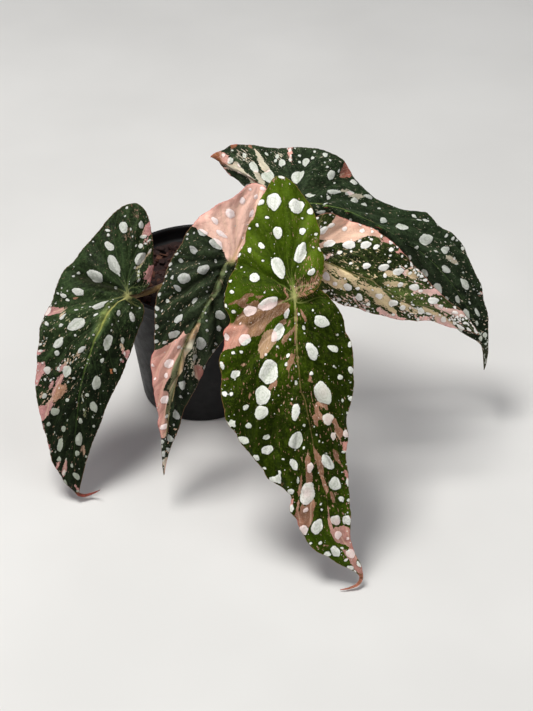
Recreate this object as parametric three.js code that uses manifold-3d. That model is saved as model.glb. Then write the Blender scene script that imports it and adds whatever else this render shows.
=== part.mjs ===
// A young polka dot begonia in a 10 cm nursery pot, in millimetres, +Z up.
// The pot's axis is x = y = 0 and its base rests at z = 0. The leaves reach over the rim towards -Y and to both sides.
import * as THREE from "three";
import Module from "manifold-3d";

const wasm = await Module();
wasm.setup();

// ---- driving dimensions ----
const POT_HEIGHT = 88;
const RIM_R = 50; // outside of the lip
const LIP_HEIGHT = 9;
const WALL_TOP_R = 46.5; // outside of the wall just below the lip
const BASE_R = 36;
const WALL = 1.4;
const FLOOR = 2.0;
const HOLE_R = 3.6; // drainage holes in the floor
const HOLE_CIRCLE_R = 24;
const HOLES = 8;
const GAP = 0.3; // between pieces that rest on each other
const SOIL_TOP = 78.6;
const SOIL_LUMP = 1.5; // how far the mix rises and sinks
const BLADE = 0.6; // thickness of a leaf blade
const SECTION = 3; // points from the midrib to each margin
const TUBE_SIDES = 10;

// ---- the cane: centre line and radius, bottom to top, with a swollen node where each leaf stalk leaves ----
const CANE = [
  [3.5, -3.5, 58, 5.2],
  [5.5, -5.5, 79, 4.9],
  [9.5, -8, 91, 4.6],
  [14, -11, 104, 4.4],
  [19, -15, 117, 4.1],
  [23.5, -19.5, 129, 3.8],
  [27.5, -24.5, 141, 3.4],
  [29.3, -26.6, 147.5, 2.9],
];
const NODE_SWELL = 0.7;
const NODE_ROWS = [2, 3, 4, 5, 6];

// ---- leaf stalks: centre line, then radius ----
const STALKS = {
  1: {
    path: [
      [4.5, -12.3, 91.8], [1.4, -15.4, 93.4], [-1.9, -18.6, 94.6],
      [-5.5, -21.6, 95.4], [-9.3, -24.7, 95.9], [-13.1, -27.7, 96.2],
      [-17, -30.8, 96.4], [-20.9, -33.8, 96.6], [-24.7, -36.9, 96.9],
      [-28.3, -40.1, 97.5], [-31.8, -43.2, 98.3], [-34.9, -46.5, 99.5],
      [-37.7, -49.8, 101.3],
    ],
    radius: [2.9, 2.39, 2.24, 2.09, 1.98, 1.95, 1.91, 1.87, 1.83, 1.8, 1.76, 1.59, 1.4],
  },
  2: {
    path: [
      [13.1, -17.2, 102.7], [13.1, -21.9, 103.5], [13.4, -26.3, 104.9],
      [14, -30.6, 106.8], [14.8, -34.7, 109.1], [15.7, -38.7, 111.8],
      [16.7, -42.6, 114.8], [17.8, -46.4, 117.9], [18.8, -50.1, 121.2],
      [19.8, -53.9, 124.5], [20.7, -57.6, 127.8], [21.4, -61.3, 131],
      [21.9, -65.1, 134],
    ],
    radius: [2.9, 2.39, 2.24, 2.09, 1.98, 1.95, 1.91, 1.87, 1.83, 1.8, 1.76, 1.59, 1.4],
  },
  3: {
    path: [
      [20.5, -20.4, 114.6], [23.2, -27.2, 114.2], [26.2, -33.9, 114.3],
      [29.4, -40.6, 114.8], [32.7, -47.2, 115.7], [36.1, -53.7, 116.9],
      [39.5, -60.3, 118.5], [42.9, -66.8, 120.4], [46, -73.2, 122.5],
      [49, -79.7, 125], [51.6, -86.1, 127.6], [53.9, -92.5, 130.4],
      [55.8, -98.8, 133.4],
    ],
    radius: [2.9, 2.39, 2.24, 2.09, 1.98, 1.95, 1.91, 1.87, 1.83, 1.8, 1.76, 1.59, 1.4],
  },
  4: {
    path: [
      [32.2, -26.2, 138.9], [34.6, -27.2, 138.3], [37.1, -28.3, 138.2],
      [39.5, -29.6, 138.4], [42, -31, 139.1], [44.4, -32.5, 140],
      [46.7, -34, 141.2], [48.9, -35.4, 142.7], [51, -36.8, 144.5],
      [52.8, -38, 146.4], [54.4, -39.2, 148.5], [55.8, -40.2, 150.8],
      [56.8, -40.9, 153.1],
    ],
    radius: [2.9, 2.39, 2.24, 2.09, 1.98, 1.95, 1.91, 1.87, 1.83, 1.8, 1.76, 1.59, 1.4],
  },
  5: {
    path: [
      [26.9, -23.4, 126.3], [29.8, -26.5, 125.8], [32.8, -29.7, 125.7],
      [35.8, -32.8, 125.9], [38.9, -35.9, 126.5], [42, -39, 127.2],
      [45.1, -42.1, 128.2], [48.1, -45.2, 129.4], [51, -48.3, 130.8],
      [53.7, -51.5, 132.3], [56.3, -54.8, 133.8], [58.6, -58.1, 135.5],
      [60.7, -61.5, 137.1],
    ],
    radius: [2.9, 2.39, 2.24, 2.09, 1.98, 1.95, 1.91, 1.87, 1.83, 1.8, 1.76, 1.59, 1.4],
  },
};

// ---- leaf blades ----
// Each row crosses the blade once: [midrib x, y, z, left margin x, y, z, right margin x, y, z, bow of the left half].
// Rows run from the top of the basal lobe, past the stalk at the bottom of the notch, to the drip tip.
const BLADES = {
  1: [
    [-35, -6.5, 136.6, -35.8, -6.5, 136.6, -34.1, -6.6, 136.5, 1.7],
    [-35.4, -12.2, 134, -42.5, -8.4, 135.2, -29.4, -9.9, 133.6, 1.7],
    [-36.1, -17.7, 131.2, -47.8, -11.8, 131.9, -26.9, -14.3, 129.4, 1.7],
    [-37, -22.9, 128.3, -52.5, -15.6, 128.1, -25.6, -19.1, 125, 1.7],
    [-37.6, -27.7, 125.2, -57.2, -19.4, 124.3, -24.6, -23.9, 120.7, 1.7],
    [-38, -32.1, 121.8, -61.9, -22.9, 120.4, -23.9, -28.4, 116.1, 1.7],
    [-38.3, -36.1, 118.1, -66.7, -26.2, 116.2, -23.7, -32.6, 111.3, 1.7],
    [-38.5, -39.8, 114.3, -70.6, -29.6, 111.4, -24.9, -36.8, 106.6, 1.7],
    [-38.6, -43.5, 110.4, -75.6, -32.4, 107.2, -26.4, -42.1, 102.9, 1.7],
    [-38.5, -47.2, 106.6, -78.7, -36.1, 102.1, -31, -47.3, 101.5, 1.7],
    [-37.9, -51.2, 103, -81.3, -40.6, 97.2, -36.9, -51, 102.4, 1.7],
    [-42.6, -53.7, 101.1, -83.1, -44.5, 93.3, -31.6, -52.5, 100.4, 1.7],
    [-46.8, -56.8, 98.9, -85, -48.8, 89.8, -28.7, -55.2, 96.3, 1.7],
    [-50, -60.7, 95.9, -86.9, -53.2, 86.3, -29.4, -58.5, 91.6, 1.7],
    [-52.2, -64.7, 92.4, -88.1, -57.6, 82.7, -31.6, -61.4, 87.1, 1.7],
    [-54.4, -68.4, 88.7, -89.1, -61.7, 78.7, -34.2, -64, 82.6, 1.7],
    [-56.9, -71.7, 84.8, -89.8, -65.5, 74.4, -36, -66.9, 77.8, 1.7],
    [-58.6, -75.1, 80.6, -90.2, -69.2, 70.2, -37.8, -70.3, 73.5, 1.7],
    [-60.4, -78.4, 76.4, -90.7, -73, 65.9, -39.9, -73.7, 69.3, 1.7],
    [-62, -81.7, 72.1, -91.3, -76.8, 61.7, -41.7, -77.2, 65.1, 1.7],
    [-63.5, -85, 67.7, -90.9, -80.6, 57.4, -44.3, -80.5, 61.1, 1.7],
    [-64.6, -88.2, 63.2, -90, -84.2, 53.1, -46.9, -83.7, 57.1, 1.7],
    [-65.4, -91.2, 58.4, -88.7, -87.6, 48.7, -49.6, -86.6, 52.8, 1.7],
    [-66, -93.9, 53.3, -87.8, -90.7, 44, -51.7, -89.4, 48.2, 1.7],
    [-66.7, -96.4, 48.1, -86.3, -93.6, 39.3, -53.6, -92.1, 43.3, 1.7],
    [-67.4, -98.7, 42.8, -84.6, -96.3, 34.5, -55.6, -94.7, 38.3, 1.7],
    [-68, -101, 37.3, -83.2, -99, 29.7, -57.8, -97.2, 33.4, 1.7],
    [-68.4, -103.3, 31.9, -81.8, -101.7, 24.8, -60.2, -99.8, 28.7, 1.7],
    [-68.6, -105.3, 26.2, -79.7, -104.1, 20, -62.2, -102.3, 23.7, 1.7],
    [-68.5, -107.1, 20.2, -76.8, -106, 15.3, -63.8, -104.7, 18.3, 1.7],
    [-68.3, -108.6, 14.1, -73.6, -107.6, 10.5, -65.2, -107, 12.8, 1.7],
    [-67.7, -110, 7.8, -69.7, -108.6, 6.3, -66.4, -109.2, 7.2, 1.7],
    [-65.6, -109.2, 4, -65.9, -111.3, 4, -65.3, -107.1, 4, 1.7],
    [-62, -108, 3.2, -61.7, -109.6, 3.2, -62.4, -106.3, 3.2, 1.7],
    [-58.4, -107.7, 4.5, -58, -108.7, 4.5, -58.7, -106.6, 4.5, 1.7],
    [-54.6, -109.3, 8, -54.5, -109.6, 8, -54.8, -109, 8, 1.7],
  ],
  2: [
    [37.4, -32.4, 164, 36.2, -32.2, 164.2, 38.5, -32.5, 163.8, 1.7],
    [36.2, -36.8, 160.9, 30.3, -35.4, 165.5, 41.5, -35.3, 160.2, 1.7],
    [34.8, -41.1, 157.9, 25.6, -40.1, 163.6, 42.6, -38.8, 156.1, 1.7],
    [33.2, -45.3, 154.8, 20.6, -43.9, 161.7, 42.1, -42.5, 152, 1.7],
    [31.5, -49.2, 151.7, 14.9, -46.4, 160.5, 40.2, -46.6, 148.5, 1.7],
    [29.7, -52.9, 148.5, 9.8, -48.8, 157.8, 37.6, -50.4, 145.2, 1.7],
    [27.8, -56.6, 145.3, 4.6, -50.6, 155, 34.7, -54, 142.1, 1.7],
    [25.9, -60.1, 142.1, 0.5, -52.8, 151, 31.4, -57.4, 139.1, 1.7],
    [23.9, -63.5, 138.8, -3.5, -54.7, 146.5, 27.9, -61.7, 136.9, 1.7],
    [21.8, -66.7, 135.5, -6.1, -56.5, 141, 23.7, -66.2, 135.2, 1.7],
    [17, -68.4, 133.5, -9.6, -58.6, 136.6, 29.2, -67.1, 132.7, 1.7],
    [15, -71.7, 129.4, -12.6, -60.7, 131.8, 32, -68.4, 127.3, 1.7],
    [13.3, -75, 125.1, -14.9, -63.2, 126.9, 32.3, -70, 121.2, 1.7],
    [10.9, -78.2, 121, -16.3, -66.3, 122, 31.6, -72.4, 115.6, 1.7],
    [7.7, -81.1, 117.3, -19.1, -69.5, 117.8, 29.7, -75.6, 110.8, 1.7],
    [5.1, -84.1, 113.2, -20.5, -72.9, 113.2, 26.9, -78.6, 106.3, 1.7],
    [2.6, -87, 109, -21, -76.3, 108.3, 23.5, -81.2, 102.1, 1.7],
    [-0.1, -89.4, 104.6, -21.2, -79.3, 103.2, 19.6, -83.3, 97.9, 1.7],
    [-3, -91.5, 100, -21.2, -82, 97.7, 15.6, -85.1, 93.5, 1.7],
    [-5.3, -93.5, 95, -20.9, -84.4, 92.2, 11.8, -86.8, 88.9, 1.7],
    [-6.6, -95.6, 89.6, -22.4, -86.6, 86.7, 7.9, -88.4, 84.2, 1.7],
    [-7.8, -97.6, 84.2, -23.7, -88.9, 81.3, 5, -90.5, 79.1, 1.7],
    [-9.1, -99.7, 78.7, -22.8, -91.5, 75.8, 2.8, -92.9, 73.8, 1.7],
    [-10.6, -101.6, 73.1, -22.4, -94, 70.2, 0, -95.1, 68.7, 1.7],
    [-12, -103.2, 67.3, -22, -96.4, 64.5, -2.9, -97.2, 63.4, 1.7],
    [-13.3, -104.8, 61.4, -21.3, -98.7, 58.7, -5.4, -99.3, 57.9, 1.7],
    [-14.4, -106.3, 55.4, -20.4, -100.9, 52.9, -7.5, -101.4, 52.2, 1.7],
    [-15.3, -107.9, 49.3, -19.7, -103.3, 47.1, -9.4, -103.7, 46.6, 1.7],
    [-16.1, -109.4, 43.1, -19.2, -105.9, 41.5, -11.8, -106.1, 41.2, 1.7],
    [-16.7, -110.8, 36.7, -18.8, -108.5, 35.8, -13.9, -108.5, 35.7, 1.7],
    [-17.1, -112.2, 30.3, -18.2, -111.1, 30.1, -15.8, -111.1, 30.1, 1.7],
    [-17.3, -112.6, 26.3, -18.2, -112.6, 26.3, -16.4, -112.6, 26.3, 1.7],
    [-17.4, -113.1, 22.3, -17.6, -113.1, 22.3, -17.2, -113.1, 22.3, 1.7],
  ],
  3: [
    [47.4, -49.6, 179.3, 46.9, -49.6, 179.3, 48, -49.6, 179.3, 1.7],
    [48.3, -55, 175.7, 42.3, -52.1, 176.6, 54.6, -51.6, 176.6, 1.7],
    [49.5, -60.3, 172, 38.8, -55.5, 172.7, 59.5, -55.2, 172.2, 1.7],
    [50.2, -65.4, 168.2, 36, -59.3, 168.6, 63.8, -59.6, 167.7, 1.7],
    [50.5, -70.3, 164.3, 34.6, -63.5, 164.2, 66.5, -65.1, 163, 1.7],
    [50.8, -75.1, 160.2, 31.6, -67.1, 160.4, 68.8, -70.6, 158.1, 1.7],
    [51, -79.6, 156.1, 29.4, -71, 156.1, 68.8, -76.2, 152.8, 1.7],
    [51.3, -83.9, 151.8, 28, -74.8, 151.4, 70.9, -81.4, 147.8, 1.7],
    [51.9, -88, 147.5, 25.1, -78, 147.2, 70.6, -87, 142.6, 1.7],
    [53.1, -92, 143.2, 23.6, -81.5, 142.3, 68.8, -94.2, 138.7, 1.7],
    [54.6, -96.1, 139.1, 21, -84.9, 137.9, 63.7, -100, 136.4, 1.7],
    [55.5, -100.4, 135, 19.2, -89, 133.6, 56.6, -100.2, 134.4, 1.7],
    [55.7, -104.3, 130.7, 17.8, -93.6, 128.6, 62, -96.4, 135.7, 1.7],
    [56, -108.3, 126.6, 19.3, -98.4, 123.7, 68.3, -95.1, 135.2, 1.7],
    [56.2, -112.4, 122.5, 20.5, -103.2, 119.2, 73.5, -96.7, 132, 1.7],
    [56.3, -116.5, 118.5, 17.3, -107.5, 115.3, 77.9, -99.2, 128.1, 1.7],
    [56.6, -120.5, 114.4, 17.7, -112.3, 110.3, 81.3, -102.5, 123.9, 1.7],
    [57, -124.3, 110.2, 15.3, -116.6, 105.4, 82.4, -106.6, 119.1, 1.7],
    [57.7, -127.9, 105.8, 16.1, -120.9, 100, 84.8, -110.3, 114.7, 1.7],
    [58.1, -131.4, 101.4, 16, -125.2, 94.6, 85.9, -114.2, 109.7, 1.7],
    [59.1, -134.8, 97, 16.4, -129.4, 89.1, 86.5, -118, 104.8, 1.7],
    [61.1, -138, 92.8, 17.9, -133.5, 83.7, 86.9, -121.9, 99.7, 1.7],
    [62.1, -141.4, 88.4, 19.7, -137.5, 78.5, 86.7, -125.8, 94.7, 1.7],
    [63.2, -144.8, 84, 24.2, -140.7, 74.3, 85.9, -129.6, 89.6, 1.7],
    [64.2, -148.1, 79.5, 27.3, -144.4, 69.3, 84.7, -133.3, 84.6, 1.7],
    [65.2, -151.3, 75, 31.9, -147.4, 65.1, 82.9, -136.8, 79.8, 1.7],
    [66.6, -154.4, 70.4, 36.5, -150.4, 60.9, 84, -140.3, 74.7, 1.7],
    [68, -157.3, 65.7, 40, -153.7, 55.9, 83.8, -143.9, 69.4, 1.7],
    [69.8, -159.9, 60.9, 45.4, -155.9, 52.4, 82.9, -147.4, 64.2, 1.7],
    [71.3, -162.6, 56, 51, -158, 49, 84, -150.8, 58.9, 1.7],
    [72.3, -165.2, 51, 53.6, -161.1, 44.2, 84.9, -154.2, 53.6, 1.7],
    [73.3, -167.9, 45.9, 53.5, -164.6, 38.7, 85.1, -157.7, 48.2, 1.7],
    [73.6, -170.5, 40.6, 57, -167.7, 33.7, 85.4, -161.1, 42.7, 1.7],
    [74.4, -172.8, 35.2, 60, -170.8, 28.1, 85.7, -164.3, 37.1, 1.7],
    [76.1, -174.8, 29.7, 64.4, -173.3, 23.1, 85.4, -167.4, 31.3, 1.7],
    [79.6, -176.1, 24.9, 70, -175, 19.2, 85.2, -170.4, 25.6, 1.7],
    [83.3, -177.3, 20, 76.1, -176.4, 15.7, 87.2, -173.3, 20, 1.7],
    [87.5, -178, 15.2, 82.3, -177.5, 12.1, 90.3, -175.7, 14.6, 1.7],
    [90.6, -179, 9.4, 88.5, -178.4, 8.5, 92.3, -178.3, 8.8, 1.7],
    [91.4, -178.7, 5.4, 89.6, -178.5, 5.4, 93.2, -178.9, 5.4, 1.7],
    [90.4, -180.4, 3.4, 89.2, -179.1, 3.4, 91.6, -181.7, 3.4, 1.7],
    [88.2, -181.9, 2.4, 87.6, -180.3, 2.4, 88.8, -183.5, 2.4, 1.7],
    [85.5, -182.6, 1.7, 85.3, -181.3, 1.7, 85.8, -183.9, 1.7, 1.7],
    [82.8, -183.3, 1.4, 82.7, -182.4, 1.4, 82.8, -184.2, 1.4, 1.7],
    [79.9, -183.7, 1.3, 79.9, -183.5, 1.3, 79.9, -184, 1.3, 1.7],
  ],
  4: [
    [7.8, 18.8, 152.7, 7.8, 19.1, 153.1, 7.8, 18.5, 152.4, 1],
    [12.4, 15.7, 152.7, 12.9, 21.2, 155.4, 12.2, 17.5, 150.5, 0.94],
    [16.9, 12, 152.6, 18.1, 22.9, 157.9, 15, 14.7, 147.5, 0.89],
    [21.2, 7.9, 152.5, 24, 23, 158.9, 18.2, 11.4, 145.2, 0.84],
    [25.4, 3.5, 152.5, 30, 21.9, 158.9, 22.3, 7.9, 144.1, 0.79],
    [29.5, -1.2, 152.4, 36, 20.3, 158.8, 26.4, 4.1, 143.2, 0.74],
    [33.6, -6.2, 152.4, 42, 18.6, 159, 30.2, -0.3, 142.2, 0.7],
    [37.6, -11.5, 152.7, 48, 16.7, 159.8, 34.5, -4.8, 142.3, 0.66],
    [41.6, -17.2, 153.4, 54, 14.4, 161, 39, -9.9, 143.1, 0.61],
    [45.6, -23.2, 154.2, 59.9, 12, 162.7, 43.4, -16.3, 144.5, 0.57],
    [49.5, -29.4, 155.1, 65.8, 9.1, 163.9, 47.8, -25, 147.6, 0.53],
    [53.4, -36.8, 156.8, 71.5, 4.4, 165.3, 52.2, -35.1, 151.9, 0.51],
    [57.2, -41.3, 156.8, 76.9, 1.4, 164.6, 56.7, -41.9, 154.3, 0.5],
    [63.2, -40.3, 157.1, 82.9, 0.7, 161.4, 59, -42.9, 148.3, 0.5],
    [69.2, -39.1, 156, 87.4, -0.3, 156.4, 62.7, -40.8, 142, 0.5],
    [75.2, -38.1, 154.2, 90.9, -1.6, 150.5, 67, -38.3, 136.1, 0.5],
    [81.1, -37.2, 152.1, 95.5, -2.6, 145.3, 71.9, -35, 130.2, 0.5],
    [86.9, -36.2, 149.3, 100.4, -3.3, 140.2, 77, -31.1, 124.5, 0.5],
    [92.6, -35.2, 145.8, 106.2, -3.7, 136.3, 82.4, -27.4, 119, 0.5],
    [98.3, -34.2, 142.2, 112.5, -4.1, 133.3, 87.7, -24.8, 114.1, 0.5],
    [103.8, -33.2, 138.3, 119, -4.5, 131, 93.1, -22.6, 109.6, 0.54],
    [109.3, -32.2, 134.1, 125.8, -4, 129.8, 98.5, -20.5, 105, 0.62],
    [114.8, -31.2, 129.6, 132.7, -3.4, 128.7, 103.9, -18.5, 100.4, 0.74],
    [120.3, -30.1, 125, 137.6, -4.9, 124.1, 109.3, -16.8, 95.8, 0.88],
    [125.7, -29, 120.3, 142.4, -6.2, 119.1, 114.6, -15.5, 91.4, 1.01],
    [130.9, -28.1, 115.2, 148.6, -6.6, 115.4, 119.9, -15.1, 87.4, 1.13],
    [136, -27.5, 109.9, 153.7, -7.7, 110.7, 124.9, -15.5, 83.6, 1.21],
    [140.7, -26.8, 104.1, 156.8, -9.5, 104.5, 129.8, -16.2, 79.8, 1.28],
    [145.1, -26.2, 98, 159.7, -11.2, 98, 134.6, -17.1, 75.9, 1.35],
    [149.4, -25.6, 91.7, 162.8, -12.9, 91.6, 139.3, -18.2, 72, 1.42],
    [153.6, -25.4, 85.4, 165.9, -14.8, 85.3, 143.8, -19.5, 68, 1.48],
    [157.3, -25.7, 79, 168, -17.1, 78.9, 148.4, -21, 64.2, 1.53],
    [160.6, -26.6, 72.8, 170.2, -19.9, 72.7, 153, -23, 60.9, 1.59],
    [163.5, -27.9, 66.7, 171.5, -23.1, 66.6, 157.7, -25.4, 58.1, 1.63],
    [166.3, -29.5, 60.6, 171.9, -26.5, 60.6, 162.6, -27.9, 55.9, 1.67],
    [169.1, -31.4, 54.7, 171.9, -30.2, 54.7, 167.2, -30.9, 53.7, 1.7],
    [170.2, -33.3, 49.8, 172.1, -33.2, 49.9, 168.2, -33.4, 49.7, 1.7],
    [170, -35.3, 44.9, 171.3, -35.3, 44.8, 168.8, -35.2, 44.9, 1.7],
    [169.6, -37.2, 39.9, 169.8, -37.2, 39.9, 169.4, -37.2, 39.9, 1.7],
  ],
  5: [
    [71.5, -52.2, 157.2, 72.9, -52, 157.4, 70.2, -52.4, 156.8, 1.7],
    [70.3, -53.8, 154.4, 74.9, -51.5, 157.2, 66.8, -52.3, 154.5, 1.7],
    [69, -55.4, 151.6, 76.9, -51.1, 156.6, 63.8, -52.9, 152.1, 1.7],
    [67.6, -57.1, 148.9, 78.7, -51, 155.5, 61.1, -54.2, 149.5, 1.7],
    [66.1, -58.7, 146.2, 80.6, -50.7, 154.4, 58.6, -55.9, 147.1, 1.7],
    [64.5, -60.1, 143.5, 82.5, -50.2, 153.2, 56.8, -58, 144.3, 1.7],
    [62.8, -61.6, 140.9, 84.4, -49.3, 151.7, 56, -60.4, 141.3, 1.7],
    [60.9, -63.2, 138.5, 86.4, -47.6, 149.9, 58.2, -63, 138, 1.7],
    [65.4, -64.5, 137.1, 90.5, -47.9, 148.5, 56.6, -65.8, 132.7, 1.7],
    [70, -65.9, 136.1, 94.7, -48.4, 147.2, 57.6, -67.4, 127.6, 1.7],
    [74.5, -67.4, 135.1, 98.8, -49.1, 146, 60.5, -68.9, 123.3, 1.7],
    [79, -69.1, 133.9, 102.5, -50.4, 144.2, 64.4, -70.5, 120, 1.7],
    [83.3, -70.9, 132.4, 106, -51.9, 142.2, 68.6, -71.9, 117.1, 1.7],
    [87.6, -72.4, 131, 109.4, -53.4, 140.1, 73.5, -72.8, 115.2, 1.7],
    [92.2, -73.2, 129.6, 112.7, -55, 137.7, 78.5, -73.7, 113.5, 1.7],
    [96.9, -73.2, 128.1, 115.8, -56.1, 134.9, 83.5, -74.2, 111.5, 1.7],
    [100.9, -73.6, 125, 119, -56.9, 131.8, 88.8, -73.7, 109.9, 1.7],
    [105, -73.8, 121.6, 121.9, -57.6, 128.3, 94, -73.4, 107.5, 1.7],
    [109.2, -73.5, 118.3, 125.1, -58, 124.9, 99.2, -72.6, 105.3, 1.7],
    [113.1, -73.6, 114.5, 128, -58.5, 121.2, 104.6, -71.8, 103.1, 1.7],
    [117.7, -72.9, 111.7, 130.5, -59.2, 117.3, 110, -70.9, 101.1, 1.7],
    [122.7, -71.3, 109.3, 133.8, -59.2, 113.6, 115.5, -69.3, 99.3, 1.7],
    [127.9, -68.9, 107.2, 137.2, -58.9, 109.7, 121.1, -67.4, 97.6, 1.7],
    [133.1, -66.6, 104.7, 140.5, -58.6, 105.7, 126.8, -65.3, 95.9, 1.7],
    [138.1, -64.8, 101.5, 144.4, -58, 102.3, 132.4, -63.5, 94.2, 1.7],
    [143.2, -63.2, 98.7, 148.3, -57.8, 99.2, 137.7, -63.1, 91.5, 1.7],
    [148.2, -62, 95.9, 151.6, -58.2, 95.7, 143, -62.8, 89.1, 1.7],
    [152.6, -61.6, 92.1, 154.6, -59, 92.1, 148.5, -62.3, 87.5, 1.7],
    [156.1, -61.9, 87.7, 157.4, -60, 88.5, 154, -62, 85.8, 1.7],
    [158.6, -61.4, 84.9, 159.5, -60.6, 85.9, 157.6, -62.1, 84, 1.7],
    [161.2, -60.8, 82.4, 161.3, -60.7, 82.5, 161, -60.8, 82.2, 1.7],
  ],
};
const BOW = 1.7; // how a half curves away from the midrib: 1 is straight
// the direction in which a blade's halves fall away from its midrib
const FALL = new THREE.Vector3(0, 0.809, -0.588);

const root = new THREE.Group();
root.name = "potted_polka_dot_begonia";

function add(name, geometry, colour) {
  const mesh = new THREE.Mesh(
    geometry,
    new THREE.MeshStandardMaterial({ color: colour, roughness: 0.6 }),
  );
  mesh.name = name;
  root.add(mesh);
}

function geometryOf(points, faces) {
  const g = new THREE.BufferGeometry();
  g.setAttribute(
    "position",
    new THREE.Float32BufferAttribute(points.flatMap((p) => [p.x, p.y, p.z]), 3),
  );
  g.setIndex(faces.flat());
  g.computeVertexNormals();
  return g;
}

function volumeOf(points, faces) {
  let v = 0;
  for (const [a, b, c] of faces)
    v += points[a].dot(new THREE.Vector3().crossVectors(points[b], points[c]));
  return v / 6;
}

// faces turned outwards whichever way the rows ran
function closed(points, faces) {
  if (volumeOf(points, faces) < 0) faces = faces.map(([a, b, c]) => [a, c, b]);
  return geometryOf(points, faces);
}

function solidOf(geometry) {
  return new wasm.Manifold(
    new wasm.Mesh({
      numProp: 3,
      vertProperties: new Float32Array(geometry.getAttribute("position").array),
      triVerts: new Uint32Array(geometry.getIndex().array),
    }),
  );
}

function geometryFrom(solid) {
  const m = solid.getMesh();
  const points = [];
  for (let i = 0; i < m.numVert; i++)
    points.push(
      new THREE.Vector3(
        m.vertProperties[i * m.numProp],
        m.vertProperties[i * m.numProp + 1],
        m.vertProperties[i * m.numProp + 2],
      ),
    );
  const faces = [];
  for (let i = 0; i < m.triVerts.length; i += 3)
    faces.push([m.triVerts[i], m.triVerts[i + 1], m.triVerts[i + 2]]);
  return geometryOf(points, faces);
}

// A round closed body along a line of points, each with its radius.
function tube(path, radii, sides) {
  const pts = path.map((p) => new THREE.Vector3(...p));
  const tangents = pts.map((p, i) =>
    pts[Math.min(i + 1, pts.length - 1)]
      .clone()
      .sub(pts[Math.max(i - 1, 0)])
      .normalize(),
  );
  const ref = new THREE.Vector3(1, 0, 0);
  if (Math.abs(tangents[0].x) > 0.9) ref.set(0, 1, 0);
  let u = ref.sub(tangents[0].clone().multiplyScalar(ref.dot(tangents[0])));
  const points = [];
  const faces = [];
  pts.forEach((p, i) => {
    u = u
      .clone()
      .sub(tangents[i].clone().multiplyScalar(u.dot(tangents[i])))
      .normalize();
    const w = new THREE.Vector3().crossVectors(tangents[i], u);
    for (let k = 0; k < sides; k++) {
      const a = (2 * Math.PI * k) / sides;
      points.push(
        p
          .clone()
          .addScaledVector(u, radii[i] * Math.cos(a))
          .addScaledVector(w, radii[i] * Math.sin(a)),
      );
    }
  });
  for (let i = 0; i < pts.length - 1; i++)
    for (let k = 0; k < sides; k++) {
      const a = i * sides + k;
      const b = i * sides + ((k + 1) % sides);
      faces.push([a, b, b + sides], [a, b + sides, a + sides]);
    }
  const first = points.length;
  points.push(pts[0].clone(), pts[pts.length - 1].clone());
  const end = (pts.length - 1) * sides;
  for (let k = 0; k < sides; k++) {
    faces.push([first, (k + 1) % sides, k]);
    faces.push([first + 1, end + k, end + ((k + 1) % sides)]);
  }
  return closed(points, faces);
}

// A thin closed blade over rows of points: the upper side, and the underside BLADE below it.
function blade(rows) {
  const n = rows[0].length;
  const normals = rows.map((row, i) =>
    row.map((p, j) => {
      const du = rows[Math.min(i + 1, rows.length - 1)][j]
        .clone()
        .sub(rows[Math.max(i - 1, 0)][j]);
      const dv = row[Math.min(j + 1, n - 1)]
        .clone()
        .sub(row[Math.max(j - 1, 0)]);
      return new THREE.Vector3().crossVectors(du, dv).normalize();
    }),
  );
  let facing = 0;
  normals.forEach((row) => row.forEach((v) => (facing += v.dot(FALL))));
  if (facing > 0) normals.forEach((row) => row.forEach((v) => v.negate()));
  const points = [];
  for (const side of [0.5, -0.5])
    rows.forEach((row, i) =>
      row.forEach((p, j) =>
        points.push(p.clone().addScaledVector(normals[i][j], side * BLADE)),
      ),
    );
  const half = rows.length * n;
  const faces = [];
  for (let i = 0; i < rows.length - 1; i++)
    for (let j = 0; j < n - 1; j++) {
      const a = i * n + j;
      faces.push([a, a + 1, a + n + 1], [a, a + n + 1, a + n]);
      faces.push(
        [half + a, half + a + n + 1, half + a + 1],
        [half + a, half + a + n, half + a + n + 1],
      );
    }
  const edge = [];
  for (let j = 0; j < n - 1; j++) edge.push(j);
  for (let i = 0; i < rows.length - 1; i++) edge.push(i * n + n - 1);
  for (let j = n - 1; j > 0; j--) edge.push((rows.length - 1) * n + j);
  for (let i = rows.length - 1; i > 0; i--) edge.push(i * n);
  edge.forEach((a, k) => {
    const b = edge[(k + 1) % edge.length];
    faces.push([b, a, half + a], [b, half + a, half + b]);
  });
  return closed(points, faces);
}

function bladeRows(table) {
  return table.map((r) => {
    const rib = new THREE.Vector3(r[0], r[1], r[2]);
    const row = [];
    for (let k = -SECTION; k <= SECTION; k++) {
      const a = Math.abs(k) / SECTION;
      const margin =
        k < 0
          ? new THREE.Vector3(r[3], r[4], r[5])
          : new THREE.Vector3(r[6], r[7], r[8]);
      const across = margin.sub(rib);
      const fall = across.dot(FALL);
      row.push(
        rib
          .clone()
          .addScaledVector(across, a)
          .addScaledVector(FALL, fall * (Math.pow(a, k < 0 ? r[9] : BOW) - a)),
      );
    }
    return row;
  });
}

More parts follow.
